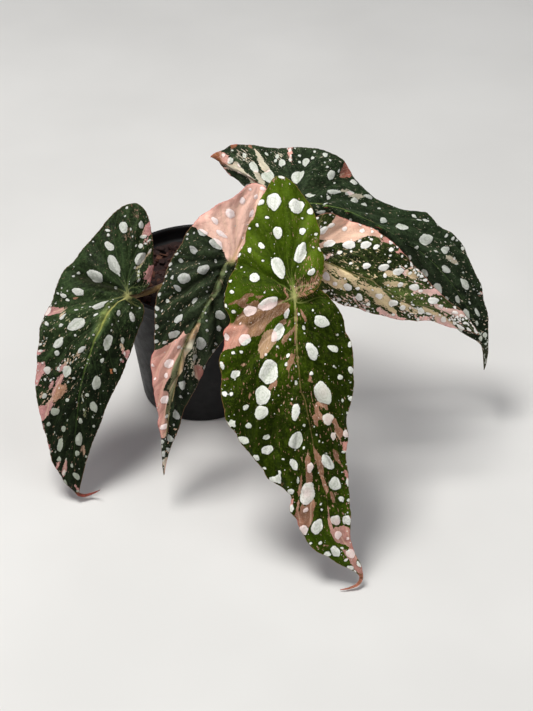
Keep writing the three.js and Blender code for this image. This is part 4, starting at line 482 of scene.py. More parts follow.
# white spots on the chart: (x, y, half width, half height, lean)
SPOTS = {
    1: [
        (-79.2, 70.9, 2.27, 3.26, -6), (-69.1, 72.4, 1.6, 1.99, 15), (-87.1, 60.7, 1.94, 2.82, -28), (-84.8, 50.4, 2.93, 5.42, -29),
        (-69.4, 53.7, 2.49, 3.82, 31), (-95.2, 44.2, 4.81, 2.82, 31), (-103.8, 35, 3.32, 1.99, 6), (-112, 32.9, 1.77, 1.05, 13),
        (-92.5, 28.2, 4.2, 1.6, -26), (-94.6, 22.8, 1.55, 0.72, -30), (-105, 17.3, 5.25, 3.04, -31), (-115.1, 7, 3.59, 2.32, -39),
        (-115.9, 1.4, 1.16, 1.33, 29), (-87.6, 7.1, 2.27, 4.37, 12), (-74.5, 21.3, 1.33, 2.99, -13), (-81.7, 23.7, 1, 1.55, 8),
        (-79.3, 8.1, 1, 1.71, -6), (-102.2, 3.3, 2.71, 1.11, -44), (-91, -2.7, 1, 1.38, 25), (-93.9, -15.3, 2.49, 3.98, 5),
        (-98.9, -22.1, 1.11, 0.94, 24), (-110.3, -24.7, 1.16, 1, 2), (-95.3, -28.6, 1.94, 2.82, -16), (-102.7, -36.6, 1.11, 1.49, -6),
        (-112.8, -40.9, 1.05, 1.82, 13), (-120.7, -38, 1, 1.11, 0), (-103.5, -46.7, 2.16, 3.59, -1), (-114.6, -49.8, 1.55, 3.82, 6),
        (-104.4, -54.5, 1.27, 1.49, -24), (-115, -57.6, 1.33, 1.33, 0), (-105.2, -66.7, 1.33, 2.38, -38), (-111.1, -70.5, 0.88, 1.99, -30),
        (-107.6, -60.9, 0.66, 1.33, -10), (-83.5, -8.3, 0.77, 1.16, -4), (-121.8, -8, 1.55, 2.1, 0), (-117.3, -31.1, 1.99, 2.21, 0),
        (-110.6, -8.7, 2.32, 3.32, 15), (-77.2, 81.4, 0.75, 0.7, 45), (-78.2, 76.9, 0.64, 0.52, 4), (-75.1, 70.2, 0.46, 0.81, 7),
        (-87.9, 69.3, 1.28, 0.75, -10), (-87.6, 66.8, 0.64, 0.87, 19), (-67.6, 66.1, 1.92, 0.99, -5), (-74, 66.2, 0.41, 0.7, 0),
        (-65.1, 63.4, 1.1, 0.46, -40), (-96.2, 63.4, 0.41, 0.52, -7), (-66.9, 61.9, 0.7, 0.52, -4), (-69.2, 60.9, 1.16, 1.39, 16),
        (-71.7, 61.2, 0.46, 0.93, 34), (-64.1, 57.9, 0.52, 1.51, 26), (-97.4, 55.7, 0.46, 0.58, -28), (-72.3, 48.7, 0.58, 0.81, 19),
        (-70.3, 46.6, 0.41, 0.75, 8), (-104.8, 46.1, 0.99, 0.75, -27), (-81.7, 44.7, 0.52, 0.7, -24), (-70.8, 44.3, 0.41, 0.81, 35),
        (-107.1, 44, 0.7, 0.64, -35), (-70.5, 41.7, 0.64, 1.22, 40), (-84, 38.1, 1.1, 0.64, 38), (-115.2, 34.3, 1.45, 0.46, 28),
        (-110, 30.7, 1.1, 0.64, 15), (-88.2, 31, 0.7, 0.35, 0), (-86.1, 30.1, 0.87, 0.35, -34), (-116.6, 28.8, 0.64, 0.35, 4),
        (-119.2, 27.6, 0.52, 0.7, -22), (-87.3, 27.4, 0.58, 0.52, -21), (-97.7, 27.1, 0.75, 0.35, -6), (-74.2, 26.5, 0.41, 0.58, -2),
        (-101.6, 26.5, 0.7, 0.29, 2), (-69.8, 26.4, 0.46, 0.52, -34), (-120.7, 24, 1.05, 2.5, 29), (-104.9, 24.9, 1.39, 0.46, -4),
        (-112.1, 20.9, 0.87, 2.26, 41), (-123.2, 18.9, 0.58, 1.28, 30), (-120.5, 17, 1.51, 0.87, 42), (-85.2, 17.2, 0.41, 0.64, 1),
        (-113.3, 16.4, 1.39, 0.7, -37), (-71.9, 15.4, 0.41, 0.52, -3), (-85.7, 13.7, 0.46, 0.7, 7), (-95.7, 11.4, 0.64, 0.58, -41),
        (-105.8, 11.2, 0.7, 0.75, 26), (-121.4, 9.3, 0.64, 0.41, 1), (-123.8, 8.2, 0.7, 0.35, -2), (-125.2, 6.1, 0.93, 0.7, 6),
        (-123, 6.6, 0.75, 0.41, -14), (-80.7, 4.6, 0.35, 0.7, 7), (-125.1, 2.5, 1.22, 0.64, -13), (-78.5, 1.1, 0.58, 1.28, 6),
        (-106.8, 0.2, 0.7, 0.35, -40), (-77.6, -1.4, 0.35, 0.64, -4), (-105.7, -2, 0.41, 0.99, 31), (-80.6, -2.3, 0.58, 0.7, -9),
        (-111.4, -2.9, 0.64, 0.35, -43), (-108.5, -4.1, 0.35, 0.87, 24), (-110.2, -3.9, 0.35, 0.64, 37), (-123.3, -4.3, 0.58, 0.64, -18),
        (-126.4, -4.9, 0.64, 0.52, 14), (-113.8, -5.3, 0.41, 0.7, 20), (-114.9, -7.4, 0.87, 1.1, 1), (-106.7, -12.6, 0.7, 0.58, 2),
        (-123.4, -13.2, 1.1, 0.64, 42), (-119.2, -13.6, 0.52, 0.99, 36), (-109.6, -14.6, 0.46, 0.81, 16), (-127.8, -16.4, 0.41, 0.52, -2),
        (-114.7, -18.1, 0.7, 0.41, 37), (-123.1, -22.4, 0.87, 1.8, 23), (-101.5, -24.5, 0.46, 1.34, -16), (-100.9, -29.9, 0.41, 0.81, -17),
        (-95.8, -34.3, 0.46, 0.58, -42), (-110.5, -36.2, 0.41, 0.75, 29), (-95.1, -39.5, 0.64, 0.7, 4), (-117.8, -42.8, 0.41, 0.75, -6),
        (-122.3, -43.7, 0.52, 0.64, -26), (-119.5, -53.4, 0.46, 0.81, 1), (-117.2, -53.5, 0.29, 0.7, 3), (-99.8, -55.8, 0.52, 0.64, 23),
        (-111.1, -57.6, 0.35, 0.81, 2), (-100, -59.3, 0.52, 0.7, 9), (-112.2, -65, 0.87, 1.51, -6), (-104.3, -75, 0.93, 0.52, 43),
    ],
    2: [
        (-40.2, 58.3, 1.82, 2.27, -37), (-48.1, 52.6, 1.33, 1.16, 29), (-35.2, 47.8, 3.65, 2.32, -16), (-45.4, 42.7, 3.48, 2.54, -34),
        (-49.7, 37.5, 1.33, 1.66, -37), (-40.5, 30.8, 2.27, 1.05, -42), (-55.8, 30.4, 1.05, 1.11, 0), (-49.2, 20.4, 3.21, 1.82, -42),
        (-51.9, 11.6, 2.93, 1.82, -34), (-25.3, 22.1, 2.05, 2.88, -24), (-25.7, 14.3, 1.11, 1.55, 19), (-33, 14.1, 0.77, 0.66, 30),
        (-35.8, 5.9, 2.38, 3.37, -2), (-38.9, -2, 1.6, 1.94, -5), (-45.7, -16.9, 1.99, 2.99, -12), (-49.4, -33.3, 1.77, 2.21, -20),
        (-52.8, -46.3, 1.49, 1.71, -34), (-28.4, 52.7, 0.72, 1.11, -2), (-59, 33.6, 0.72, 1.05, 36), (-54.5, -4.8, 2.71, 2.27, -38),
        (-56.5, -11.5, 1.27, 1.55, 28), (-57.5, -24.9, 2.43, 2.16, 0), (-56.8, -34.2, 0.66, 1.11, 42), (-57.9, -39.8, 1.22, 1.6, 25),
        (-49.2, 4.3, 0.72, 1.22, 41), (-13, 85.7, 1.49, 1.88, -15), (-20, 78.5, 2.16, 3.1, -37), (-28.5, 74.6, 2.65, 1.33, 44),
        (-24.8, 67.2, 3.54, 1.38, 35), (-8.1, 78.8, 1.05, 2.1, 23), (-5.8, 87.9, 1, 1.49, 44), (-35.4, 68, 2.76, 1.77, 25),
        (-27.9, 61.9, 3.87, 2.54, 30), (-2.3, 92.3, 1.45, 0.93, 29), (-8.9, 91.9, 0.7, 0.75, 43), (-10.5, 72.5, 0.7, 0.35, -28),
        (-40, 67.8, 0.46, 0.58, 16), (-43.6, 67.1, 0.75, 0.64, -34), (-12.9, 65.5, 0.46, 0.7, 8), (-43.5, 64.6, 0.64, 0.7, -45),
        (-49.6, 56.1, 0.99, 0.64, -30), (-53.1, 50.4, 0.81, 1.22, 29), (-52.9, 47.7, 0.64, 0.52, 43), (-22.3, 46.3, 0.7, 0.46, -6),
        (-55.4, 43.7, 0.93, 0.7, -44), (-51, 43.8, 0.58, 0.52, -21), (-51.3, 42.4, 0.81, 0.58, 11), (-56.8, 39.7, 0.52, 0.58, 25),
        (-32.1, 37.7, 0.46, 0.46, 45), (-33.2, 35.5, 0.58, 0.52, 33), (-60.5, 26.1, 0.87, 1.51, -16), (-48.7, 25.4, 0.46, 0.46, 8),
        (-57.8, 24.7, 0.64, 0.7, 29), (-33.7, 23.6, 0.41, 0.64, 5), (-61, 22, 0.75, 1.05, -9), (-33.1, 19.1, 0.7, 0.58, 16),
        (-60.9, 15.8, 0.93, 1.45, -2), (-61.3, 12, 0.41, 0.64, -17), (-60.8, 7.9, 0.75, 1.05, -2), (-56.5, 7.2, 0.87, 0.93, 41),
        (-27.4, 5.7, 0.58, 0.46, -40), (-28.7, 2.1, 0.7, 1.22, 42), (-62.8, -5.4, 0.52, 1.05, -14), (-34.6, -6, 0.7, 1.16, 34),
        (-44.3, -8.1, 0.64, 0.7, 0), (-39.6, -10.2, 0.41, 0.93, 39), (-44.5, -12.2, 0.41, 0.99, -26), (-61.7, -12.9, 0.41, 0.58, 1),
        (-46.8, -23.4, 0.64, 0.7, 8), (-61.1, -29.1, 0.46, 0.58, 2), (-50.3, -38.9, 0.41, 0.58, 9), (-57, -46.4, 0.46, 0.52, 9),
        (-58.4, -47.8, 0.75, 1.34, -14), (-58.3, -50.5, 0.64, 0.99, -15), (-53.4, -52.5, 1.74, 1.28, 31), (-57.1, -54.4, 1.16, 1.57, 13),
        (-56.2, -41.5, 0.29, 0.37, 32), (-55.7, -43.8, 0.28, 0.36, -35), (-55.6, -50.2, 0.44, 0.37, 0), (-55.3, -45.3, 0.44, 0.41, 8),
        (-57, -63.2, 0.3, 0.29, -2), (-54.6, -63, 0.35, 0.35, 2), (-55.5, -47.7, 0.29, 0.33, 0), (-57.2, -58.1, 0.51, 0.56, -35),
        (-57, -61.7, 0.32, 0.34, 11), (-56.4, -57.5, 0.29, 0.27, 33), (-12.6, 59, 0.88, 1.19, -25), (-20.4, 26.2, 1.22, 1.64, -8),
        (-11.2, 44.7, 2.76, 3.65, -19), (-9, 34.5, 0.88, 1.08, -14), (-4.6, 75.1, 0.66, 0.88, 7), (-16.2, 33.8, 2.21, 3.03, -6),
        (-2.8, 79, 0.88, 0.95, 17), (-14.6, 24.7, 0.66, 0.76, 24), (-20.1, 13.4, 0.66, 0.7, -11), (-15.2, 54.5, 0.66, 0.78, 5),
        (1.5, 81.3, 1.22, 1.66, -5), (-15.9, 20.4, 1.66, 1.9, -21), (-8.4, 63.7, 1.66, 1.77, 19), (-18.3, 41.2, 1.22, 1.69, 7),
        (-5, 69.4, 1.66, 2.12, -23), (-10.3, 28.3, 2.21, 2.97, 14), (-23, 30, 0.66, 0.89, -13), (1.1, 85.7, 0.66, 0.72, 4),
        (-0.8, 74, 0.66, 0.87, 25), (-16.3, 50.5, 0.66, 0.86, 23), (-22.2, 33.6, 0.88, 1.13, 4),
    ],
    3: [
        (3.9, 85.2, 4.04, 4.7, 2), (16.6, 82.7, 3.98, 4.31, 0), (-3.2, 84.8, 1.94, 1.44, -31), (-4, 84.3, 1, 1.38, 18),
        (24, 79.5, 1.44, 1.77, -28), (0, 76.6, 0.88, 0.83, 0), (20.2, 76.3, 0.66, 0.5, 21), (-5.4, 72.3, 0.77, 1.05, -40),
        (-9.6, 70.2, 0.61, 0.61, 0), (6, 68.2, 2.43, 3.7, -17), (20, 68.9, 1.55, 1.94, 20), (27.3, 67, 0.77, 0.88, 3),
        (-3.2, 61, 1.27, 1.99, -32), (-9, 57.9, 0.94, 1.38, -11), (-15.1, 55.6, 0.72, 1.44, 33), (19.1, 56.8, 3.1, 5.7, 22),
        (-1.9, 52.3, 0.61, 0.72, -28), (6.4, 48.9, 3.37, 6.25, -27), (24.4, 45.8, 2.16, 1.66, -34), (-6.6, 43.1, 2.38, 2.82, -40),
        (-19.5, 40.9, 1.05, 0.77, -30), (-18.7, 34.9, 1.33, 0.94, 22), (-0.6, 34.6, 0.44, 0.61, 2), (0.9, 28.6, 5.81, 3.04, -30),
        (-9.4, 24.7, 3.54, 2.82, -27), (-17.9, 24.1, 1.16, 0.94, -17), (11.2, 23.2, 1.27, 2.65, 23), (6.2, 12.6, 3.21, 5.25, 27),
        (-11.6, 8.6, 3.54, 2.82, -26), (-22.2, 10.2, 1.44, 2.16, -34), (30.1, 18.6, 4.37, 2.76, 33), (20.8, 15.8, 0.83, 1.27, -17),
        (17.9, 22.9, 0.61, 0.72, -7), (25.1, 2.2, 2.76, 4.98, -22), (37.4, 4, 3.04, 2.05, 16), (45.8, 6.1, 1.11, 1.66, 26),
        (39, 11.3, 0.88, 0.61, 32), (-18.1, 1.3, 1, 0.83, 7), (-13.7, 1.7, 0.94, 0.77, -15), (-0.3, 0.6, 0.83, 1.05, -12),
        (11.8, 0.2, 0.94, 1.33, 22), (6, 4.8, 0.55, 0.77, -3), (-17.6, -10.4, 2.65, 2.05, -33), (-24.3, -5.4, 1.11, 2.43, -19),
        (10.9, -4.9, 0.83, 1.11, 4), (37.2, -6.2, 0.55, 0.88, -42), (46.3, -8.1, 1.66, 1.99, -24), (40.7, -12.1, 1.49, 1.27, 14),
        (24.7, -9.9, 1.16, 1, -2), (16.3, -15, 0.83, 1.38, 2), (30.9, -20.7, 3.98, 6.64, -19), (-2.8, -31.4, 4.09, 3.43, -24),
        (16.2, -31.1, 2.27, 4.42, 8), (34, -35.2, 3.1, 3.37, 0), (-11.7, -28.7, 1.71, 1.27, -42), (-23.3, -21.2, 1.82, 1.16, 36),
        (-19.4, -21.2, 1.16, 1.05, 0), (42.4, -24.9, 1, 0.88, 17), (46.4, -23.8, 0.94, 1.44, 13), (-10, -38.9, 1.94, 1.44, -1),
        (20.8, -38.7, 0.66, 0.94, 2), (26.5, -39.3, 0.44, 0.55, 24), (37, -44.6, 1.82, 2.05, 20), (43.7, -43.3, 1.55, 2.1, -20),
        (-12.8, -46.9, 3.15, 1.88, 24), (-0.2, -45.3, 1.66, 1.38, -17), (16.3, -47.1, 3.48, 4.81, 12), (0.3, -52.4, 2.93, 2.43, -25),
        (20.6, -51.1, 0.66, 0.94, 32), (29.6, -47.3, 0.55, 0.66, -17), (-5.3, -56.1, 1.94, 1.49, 38), (14.9, -60.7, 1.94, 3.32, -22),
        (34.1, -59, 2.99, 4.98, -37), (9.4, -57.2, 0.72, 0.55, 28), (24.2, -61.9, 1.71, 2.71, 7), (-1.2, -62.3, 1.16, 0.66, 16),
        (38.6, -70.9, 3.04, 3.93, -22), (17.1, -69.6, 0.72, 2.16, 7), (13.5, -75.1, 1.55, 1.38, 40), (22.2, -76.6, 3.87, 6.25, 21),
        (42.2, -79.5, 1.38, 1.55, -11), (30.1, -82.2, 0.55, 0.77, 31), (30.4, -85.6, 0.55, 0.77, 34), (21.5, -85.6, 1, 1.66, 39),
        (13.5, -84.5, 1.27, 2.1, -1), (44.8, -91.2, 1.77, 2.71, 3), (27.6, -95.2, 2.93, 4.59, 22), (20.3, -96.7, 2.16, 2.65, -10),
        (29.4, -104.3, 0.88, 0.88, 0), (24.4, -103.9, 0.77, 0.55, 15), (37.9, -108.6, 2.43, 3.26, -44), (33.5, -110.2, 1.94, 1, 14),
        (46.6, -109.6, 2.71, 2.27, 29), (43.9, -113.1, 1.22, 0.66, -23), (46.4, -117.2, 1.99, 1.16, 12), (50.9, -115.4, 0.88, 1.88, -32),
        (41.9, -106.5, 1, 0.61, -3), (1.3, -9.2, 4.92, 6.86, 20), (-2.2, -22, 4.53, 4.98, 15), (38.7, -91.3, 2.6, 2.99, 10),
        (40, -99.5, 2.38, 2.05, 0), (8.2, 98.4, 1.68, 0.75, 16), (12.7, 94.4, 0.41, 0.52, -27), (26, 59.9, 0.64, 0.35, 42),
        (29.1, 58.5, 0.75, 1.34, -30), (17.4, 49.4, 0.41, 0.58, 29), (-14.3, 49, 0.46, 0.64, 3), (-22.2, 27.5, 0.75, 1.45, -24),
        (25.4, 24.8, 0.58, 0.64, 7), (-14.7, 17.8, 0.52, 0.81, 39), (13.1, 8.8, 0.52, 0.7, -7), (16.2, -5.8, 0.46, 0.58, -34),
        (46.3, -14.9, 0.52, 0.41, 20), (14.1, -24.2, 0.58, 0.46, 2), (27.5, -27.7, 0.41, 0.52, -16), (44.5, -31.8, 0.52, 0.81, 35),
        (15.4, -52.6, 0.7, 0.35, 8), (43.2, -53.4, 1.05, 0.64, -32), (33.6, -54.1, 0.81, 0.35, 12), (44.5, -60, 0.41, 0.75, 40),
        (7.4, -64.5, 0.87, 1.16, -27), (2, -68.3, 0.52, 1.1, 0), (45.4, -69.9, 0.81, 2.44, -7), (45.8, -80.1, 0.58, 0.99, 0),
        (39.9, -89.3, 1.34, 0.46, 21), (45.1, -101.2, 0.64, 0.81, 17), (49, -119.1, 0.87, 0.52, 44),
    ],
    4: [
        (-7.2, 104.9, 2.16, 3.26, -31), (0.5, 99.5, 3.15, 3.59, -42), (-12.4, 111.3, 1.11, 1.22, 0), (-20.1, 107.8, 1.82, 1.22, -7),
        (6, 110.2, 1, 1.11, -37), (8.6, 106.3, 1.94, 1.77, 0), (4.8, 108.3, 0.88, 0.72, -24), (-0.1, 112.2, 1, 0.72, 44),
        (13.4, 112.9, 0.88, 1.44, 10), (21.8, 106.9, 2.21, 2.43, 0), (25.8, 108.3, 1.05, 0.83, 37), (18.1, 107.5, 0.83, 0.55, -29),
        (17.2, 99.4, 3.82, 2.71, -38), (32.3, 110, 1.38, 1.16, -34), (35.9, 99.9, 2.32, 2.1, 0), (33.2, 103.5, 0.77, 0.5, 6),
        (47.8, 95.6, 1.94, 1.22, 35), (24.4, 89.7, 3.04, 0.88, 0), (36.9, 90.4, 3.87, 1, 0), (34.8, 88, 1.11, 0.66, 12),
        (46.1, 89.9, 2.38, 0.94, 1), (49.4, 86.5, 2.1, 1.22, 4), (54.7, 84.2, 1.49, 1.22, 0), (56.1, 87.6, 2.49, 0.77, 20),
        (65, 75.3, 1.88, 0.94, 16), (75.3, 71.4, 3.32, 2.05, 18), (88.5, 64.5, 3.48, 2.93, 20), (83.4, 59.7, 0.83, 1, 27),
        (88.4, 74.9, 1.77, 1, 10), (98.9, 58.3, 2.21, 2.1, 0), (99.5, 66.3, 0.77, 0.66, 4), (103.1, 64.7, 0.94, 0.77, 22),
        (99.6, 47.7, 2.82, 1.77, 33), (109.8, 39.6, 2.1, 3.37, -27), (105.7, 30.7, 1.16, 2.27, -24), (94.6, 36.4, 1.94, 3.93, -26),
        (87.4, 45.1, 1.71, 2.32, -25), (110.4, 22.4, 1.77, 3.54, -8), (116.8, 23.8, 1.11, 2.76, -25), (112.3, 29.3, 0.55, 1.05, -33),
        (116.4, 17.8, 0.66, 1.44, -13), (120.8, 11.3, 1.11, 1.49, -20), (118.4, 9.5, 0.83, 1.44, -12), (108, 59.2, 0.66, 1, 3),
        (16, 114.2, 0.46, 0.58, -9), (-19.2, 114.1, 0.64, 0.52, 0), (11.7, 114, 0.35, 0.75, -9), (26.9, 112, 0.75, 0.58, 24),
        (-23.7, 110.7, 0.93, 1.16, 7), (18.2, 110.8, 0.58, 0.81, 42), (13.8, 109.6, 0.64, 0.52, -42), (-12.7, 108.4, 0.58, 0.41, -20),
        (13.4, 107.5, 0.7, 1.1, 17), (34.7, 107.4, 0.75, 0.41, 38), (-15.3, 105.3, 1.22, 0.41, 44), (40.3, 102.3, 0.64, 0.93, 29),
        (-15.6, 100.7, 1.39, 0.46, 28), (-10.4, 99.7, 1.05, 0.46, 35), (37.8, 95.5, 0.7, 0.41, -31), (51.6, 94.2, 0.35, 1.16, -34),
        (33, 84.8, 1.22, 0.46, -8), (62.9, 82, 0.99, 0.64, -13), (30.2, 79.2, 2.73, 0.87, 3), (36.5, 78.8, 0.46, 0.58, 6),
        (55.2, 78.3, 0.46, 0.52, -2), (82, 77.6, 1.51, 0.58, 23), (84.3, 75, 1.39, 0.58, 18), (94.3, 71.8, 0.87, 0.46, 27),
        (105.3, 63.7, 0.58, 0.46, -13), (93.4, 57.5, 1.22, 0.46, 20), (79.3, 53.8, 0.64, 1.16, -14), (89, 54.4, 1.05, 0.52, 20),
        (104.3, 53.7, 0.99, 0.75, -42), (105.1, 50.5, 1.05, 0.41, -6), (108.9, 46, 0.52, 0.41, 30), (117.7, 37.9, 0.52, 0.7, -31),
        (114.9, 36.6, 0.46, 0.46, -45), (117.6, 34.4, 0.75, 0.46, -35), (119.1, 34.1, 0.46, 0.87, -34), (99.5, 31.1, 0.99, 1.22, -4),
        (121.4, -2.3, 0.58, 0.87, 1), (122.1, 4.7, 0.47, 0.41, -26), (121.2, 6.4, 0.54, 0.69, -23), (120.6, 0.5, 0.54, 0.46, -38),
        (122.2, 8.7, 0.28, 0.23, -5), (117.5, 12.3, 0.39, 0.51, -22), (119.4, -2.1, 0.31, 0.35, 21), (118.6, 3.8, 0.34, 0.42, 29),
        (118.9, 12.5, 0.28, 0.29, 8), (119.4, -1.1, 0.31, 0.32, 25), (121.1, -4, 0.62, 0.57, 19), (120.4, -0.9, 0.34, 0.42, -29),
        (119.1, 1.6, 0.28, 0.26, -16), (122.3, 3, 0.28, 0.3, -19), (121.2, 3.9, 0.3, 0.36, -10), (122.1, 7.4, 0.46, 0.51, -36),
        (121.2, 9.1, 0.42, 0.35, -30), (119.6, -3.6, 0.28, 0.32, 4), (118.5, 11.7, 0.41, 0.49, 35), (31.6, 68.2, 1.22, 1.55, 17),
        (87.8, 34.8, 0.66, 0.76, -6), (62.4, 61.3, 0.66, 0.88, 20), (36.9, 62.2, 2.76, 3.04, -3), (25.1, 74.6, 2.21, 3.01, 13),
        (3.3, 93.8, 0.88, 0.97, 1), (21.8, 82.5, 0.66, 0.82, -3), (56.7, 69.4, 1.22, 1.45, 21), (51.9, 61.3, 0.66, 0.85, 11),
        (40, 74.5, 1.66, 2.08, 20), (99, 26.1, 0.88, 1.06, -3), (106, 15, 2.76, 3.36, -2), (51.8, 68.5, 0.88, 0.97, -21),
        (50.1, 57.1, 0.88, 1.1, -5), (94.3, 28.2, 0.66, 0.81, 17), (15.4, 90.6, 1.66, 2, 5), (113.6, 13.1, 0.88, 1.1, -25),
        (48.6, 63.7, 1.22, 1.68, -7), (-0.5, 90.5, 0.66, 0.69, 14), (8.9, 88.9, 1.66, 1.92, 25), (70.3, 52.3, 0.88, 1.05, -25),
        (56.5, 61.2, 1.66, 1.73, -4), (66.4, 46.6, 1.22, 1.57, -2), (55, 56, 0.66, 0.93, -7), (66.6, 56, 2.21, 2.75, 25),
        (7.8, 96.5, 0.88, 1.13, 9), (81.6, 41.8, 0.88, 1.12, 2), (73.9, 47.9, 1.66, 2.23, -8), (59.3, 49.4, 3.32, 3.99, 15),
        (15.4, 85.6, 0.88, 0.99, 17), (90, 31.5, 0.66, 0.74, 6), (79.3, 46, 0.66, 0.89, -4), (-10.4, 93.1, 1.22, 1.55, 4),
        (16, 81.7, 0.88, 1.17, 22), (61.3, 67.6, 0.88, 1.02, 20), (103.5, 22.1, 0.88, 1.17, -6), (82.2, 36.8, 0.66, 0.86, 22),
        (76.8, 40.6, 1.66, 1.84, -7), (74.1, 56.8, 0.88, 0.91, 15), (43.7, 66.3, 0.66, 0.7, 10), (46.6, 74.3, 0.88, 0.98, 15),
        (80.3, 49.9, 0.66, 0.72, -2), (11.8, 83.2, 0.88, 1.01, -24), (43.1, 58.4, 0.66, 0.77, 14), (-5.2, 94.7, 1.22, 1.26, -17),
    ],
    5: [
        (54.9, 61.2, 2.88, 1.94, -11), (60.9, 60.3, 1.99, 1.11, -35), (69.1, 58.7, 1.55, 1.05, -37), (40.4, 57.1, 1.49, 1, -26),
        (34.7, 62, 3.37, 1.88, -17), (55.3, 49.6, 2.27, 1.55, -26), (68.2, 52, 1.22, 0.77, -25), (73.3, 46.5, 3.1, 1.88, -22),
        (74.4, 39.1, 1.66, 1.16, -19), (65.7, 44.2, 1, 1.22, 28), (33.1, 43.7, 1.88, 2.54, -36), (38, 39.8, 1.38, 1, -11),
        (32.2, 35.4, 1.33, 0.88, 3), (51.1, 32.3, 1.82, 2.1, -30), (62.3, 32.7, 2.05, 1.49, 13), (70.1, 28.6, 2.6, 1.94, -5),
        (75.3, 26.2, 1.71, 1.38, -20), (89.6, 23.1, 1.55, 0.94, 15), (43.1, 70.1, 1.55, 1.11, -38), (53, 69.1, 1.44, 1.05, -24),
        (58.4, 68.3, 0.77, 0.83, 0), (36.1, 71.9, 1.94, 1.16, -35), (31.6, 69.2, 2.88, 1.6, -36), (45.6, 61.3, 3.54, 2.1, -8),
        (65.1, 48.8, 2.88, 1.88, -15), (82.1, 37.8, 2.65, 1.82, 10), (45, 37.8, 2.32, 1.99, 20), (56.1, 28.6, 1.11, 1, 0),
        (85.4, 24.6, 1.82, 1.71, 0), (104.4, 23.8, 1.6, 1.11, 10), (97.9, 19.8, 1.6, 1.44, 20), (92.4, 30.3, 2.99, 1.88, 8),
        (85.7, 35.7, 1.49, 0.72, -3), (96.5, 27.3, 1.11, 0.77, -10), (50.3, 37.2, 1.11, 0.83, 0), (35.1, 78, 0.58, 0.41, 3),
        (28.1, 75.9, 0.75, 0.7, -30), (32.6, 73.3, 0.87, 0.52, -26), (51.6, 72.2, 0.93, 0.46, 21), (30, 71.1, 0.41, 0.75, 29),
        (57.9, 70.4, 0.64, 0.41, 41), (63.5, 65.9, 0.64, 1.1, 0), (57.9, 64.1, 1.05, 0.58, 2), (51.4, 63.3, 1.05, 0.64, -18),
        (68.7, 62.5, 0.93, 1.1, -32), (72.3, 60, 0.75, 0.7, 8), (46.8, 57.7, 0.64, 0.75, 33), (36.2, 55.7, 0.46, 0.58, 40),
        (68.6, 55.4, 0.93, 0.41, -7), (75.2, 55, 0.64, 0.81, 44), (80.9, 50.9, 0.75, 1.63, -10), (46.7, 51.1, 1.16, 0.7, -21),
        (77.6, 49.5, 0.93, 0.7, -5), (74, 49.4, 0.58, 0.46, -14), (84, 47.7, 0.75, 0.93, -41), (50.2, 47.9, 0.41, 0.52, -6),
        (79.8, 45.5, 1.22, 0.7, -37), (84.3, 44.7, 0.64, 0.87, 40), (40.4, 42.5, 0.58, 0.35, -12), (43.4, 42.4, 0.52, 0.64, 25),
        (87.7, 41.7, 0.93, 0.7, 16), (82.6, 41, 0.52, 0.41, 5), (67.7, 38.8, 0.81, 0.52, -6), (91, 37.5, 0.58, 0.46, 32),
        (41.2, 37, 0.58, 0.46, 20), (58.6, 36.3, 0.52, 0.64, -30), (35.9, 34, 0.46, 0.58, 8), (80.7, 33.7, 0.81, 0.35, 44),
        (70.1, 32.5, 0.52, 0.46, -20), (48.1, 31.6, 0.35, 0.7, -26), (86.1, 31.6, 0.7, 0.52, -15), (40.1, 30.9, 1.1, 0.93, -17),
        (37.2, 30.9, 0.75, 0.58, -3), (44, 28.6, 1.39, 0.64, -36), (81.3, 27.8, 0.87, 0.64, 31), (97.3, 27, 0.46, 1.34, 15),
        (49.2, 27.3, 0.99, 0.64, 0), (104.3, 26.7, 0.58, 0.87, -34), (55.9, 24.9, 1.05, 0.64, 1), (70.1, 22.6, 0.87, 0.64, -16),
        (95.8, 22.2, 0.7, 0.52, 38), (92.3, 21.7, 0.46, 0.81, -4), (83.6, 20.6, 0.87, 0.52, -16), (107.2, 20.2, 0.41, 0.52, -1),
        (101.3, 19.5, 0.58, 0.81, 10), (92.8, 19, 0.58, 0.41, 34), (109.9, 18, 1.39, 0.64, 0), (113.2, 18.1, 0.52, 0.87, -16),
        (107.3, 15.7, 2.55, 0.99, 39), (115.8, 13.9, 1.1, 1.97, -20), (111.9, 14.4, 1.74, 0.7, 42), (104.1, 19.9, 0.66, 0.64, -3),
        (110.3, 20.3, 0.66, 0.73, -35), (104, 17.8, 0.86, 1.05, 26), (105.7, 21.3, 0.55, 0.7, -17), (108.7, 20, 0.6, 0.71, 10),
        (102.3, 21.1, 0.4, 0.44, -25), (107.6, 22.1, 0.86, 0.76, 24), (109, 21.2, 0.34, 0.35, -11), (112.2, 19.6, 0.46, 0.38, -19),
        (107, 19.1, 0.34, 0.34, -7), (105.8, 18.5, 0.47, 0.41, -12), (104.5, 21.1, 0.33, 0.37, 29), (111.7, 16.9, 0.44, 0.53, -2),
        (106, 19.9, 0.41, 0.47, -26), (113.4, 12.5, 0.34, 0.33, 6), (114.2, 16.5, 0.75, 0.84, 2), (102.6, 20.1, 0.35, 0.37, 18),
        (103.2, 21.8, 0.4, 0.47, -25), (103.2, 19.1, 0.33, 0.4, 5), (109.8, 21.7, 0.34, 0.29, -20), (80.4, 53.6, 0.5, 0.57, -16),
        (77.9, 55.2, 0.65, 0.57, -2), (79.5, 54.9, 0.54, 0.61, 36), (86, 46.3, 0.28, 0.33, -21), (87.6, 44.3, 0.4, 0.38, 4),
        (83.2, 50.9, 0.34, 0.37, -20), (86, 41.9, 0.29, 0.25, -21), (83.1, 49.9, 0.38, 0.44, 24), (82.6, 45.8, 0.76, 0.62, -37),
        (82.4, 48.5, 0.33, 0.29, -3), (86.8, 45.5, 0.28, 0.26, -29), (86, 43.7, 0.71, 0.88, -32), (79.3, 53.7, 0.28, 0.35, -33),
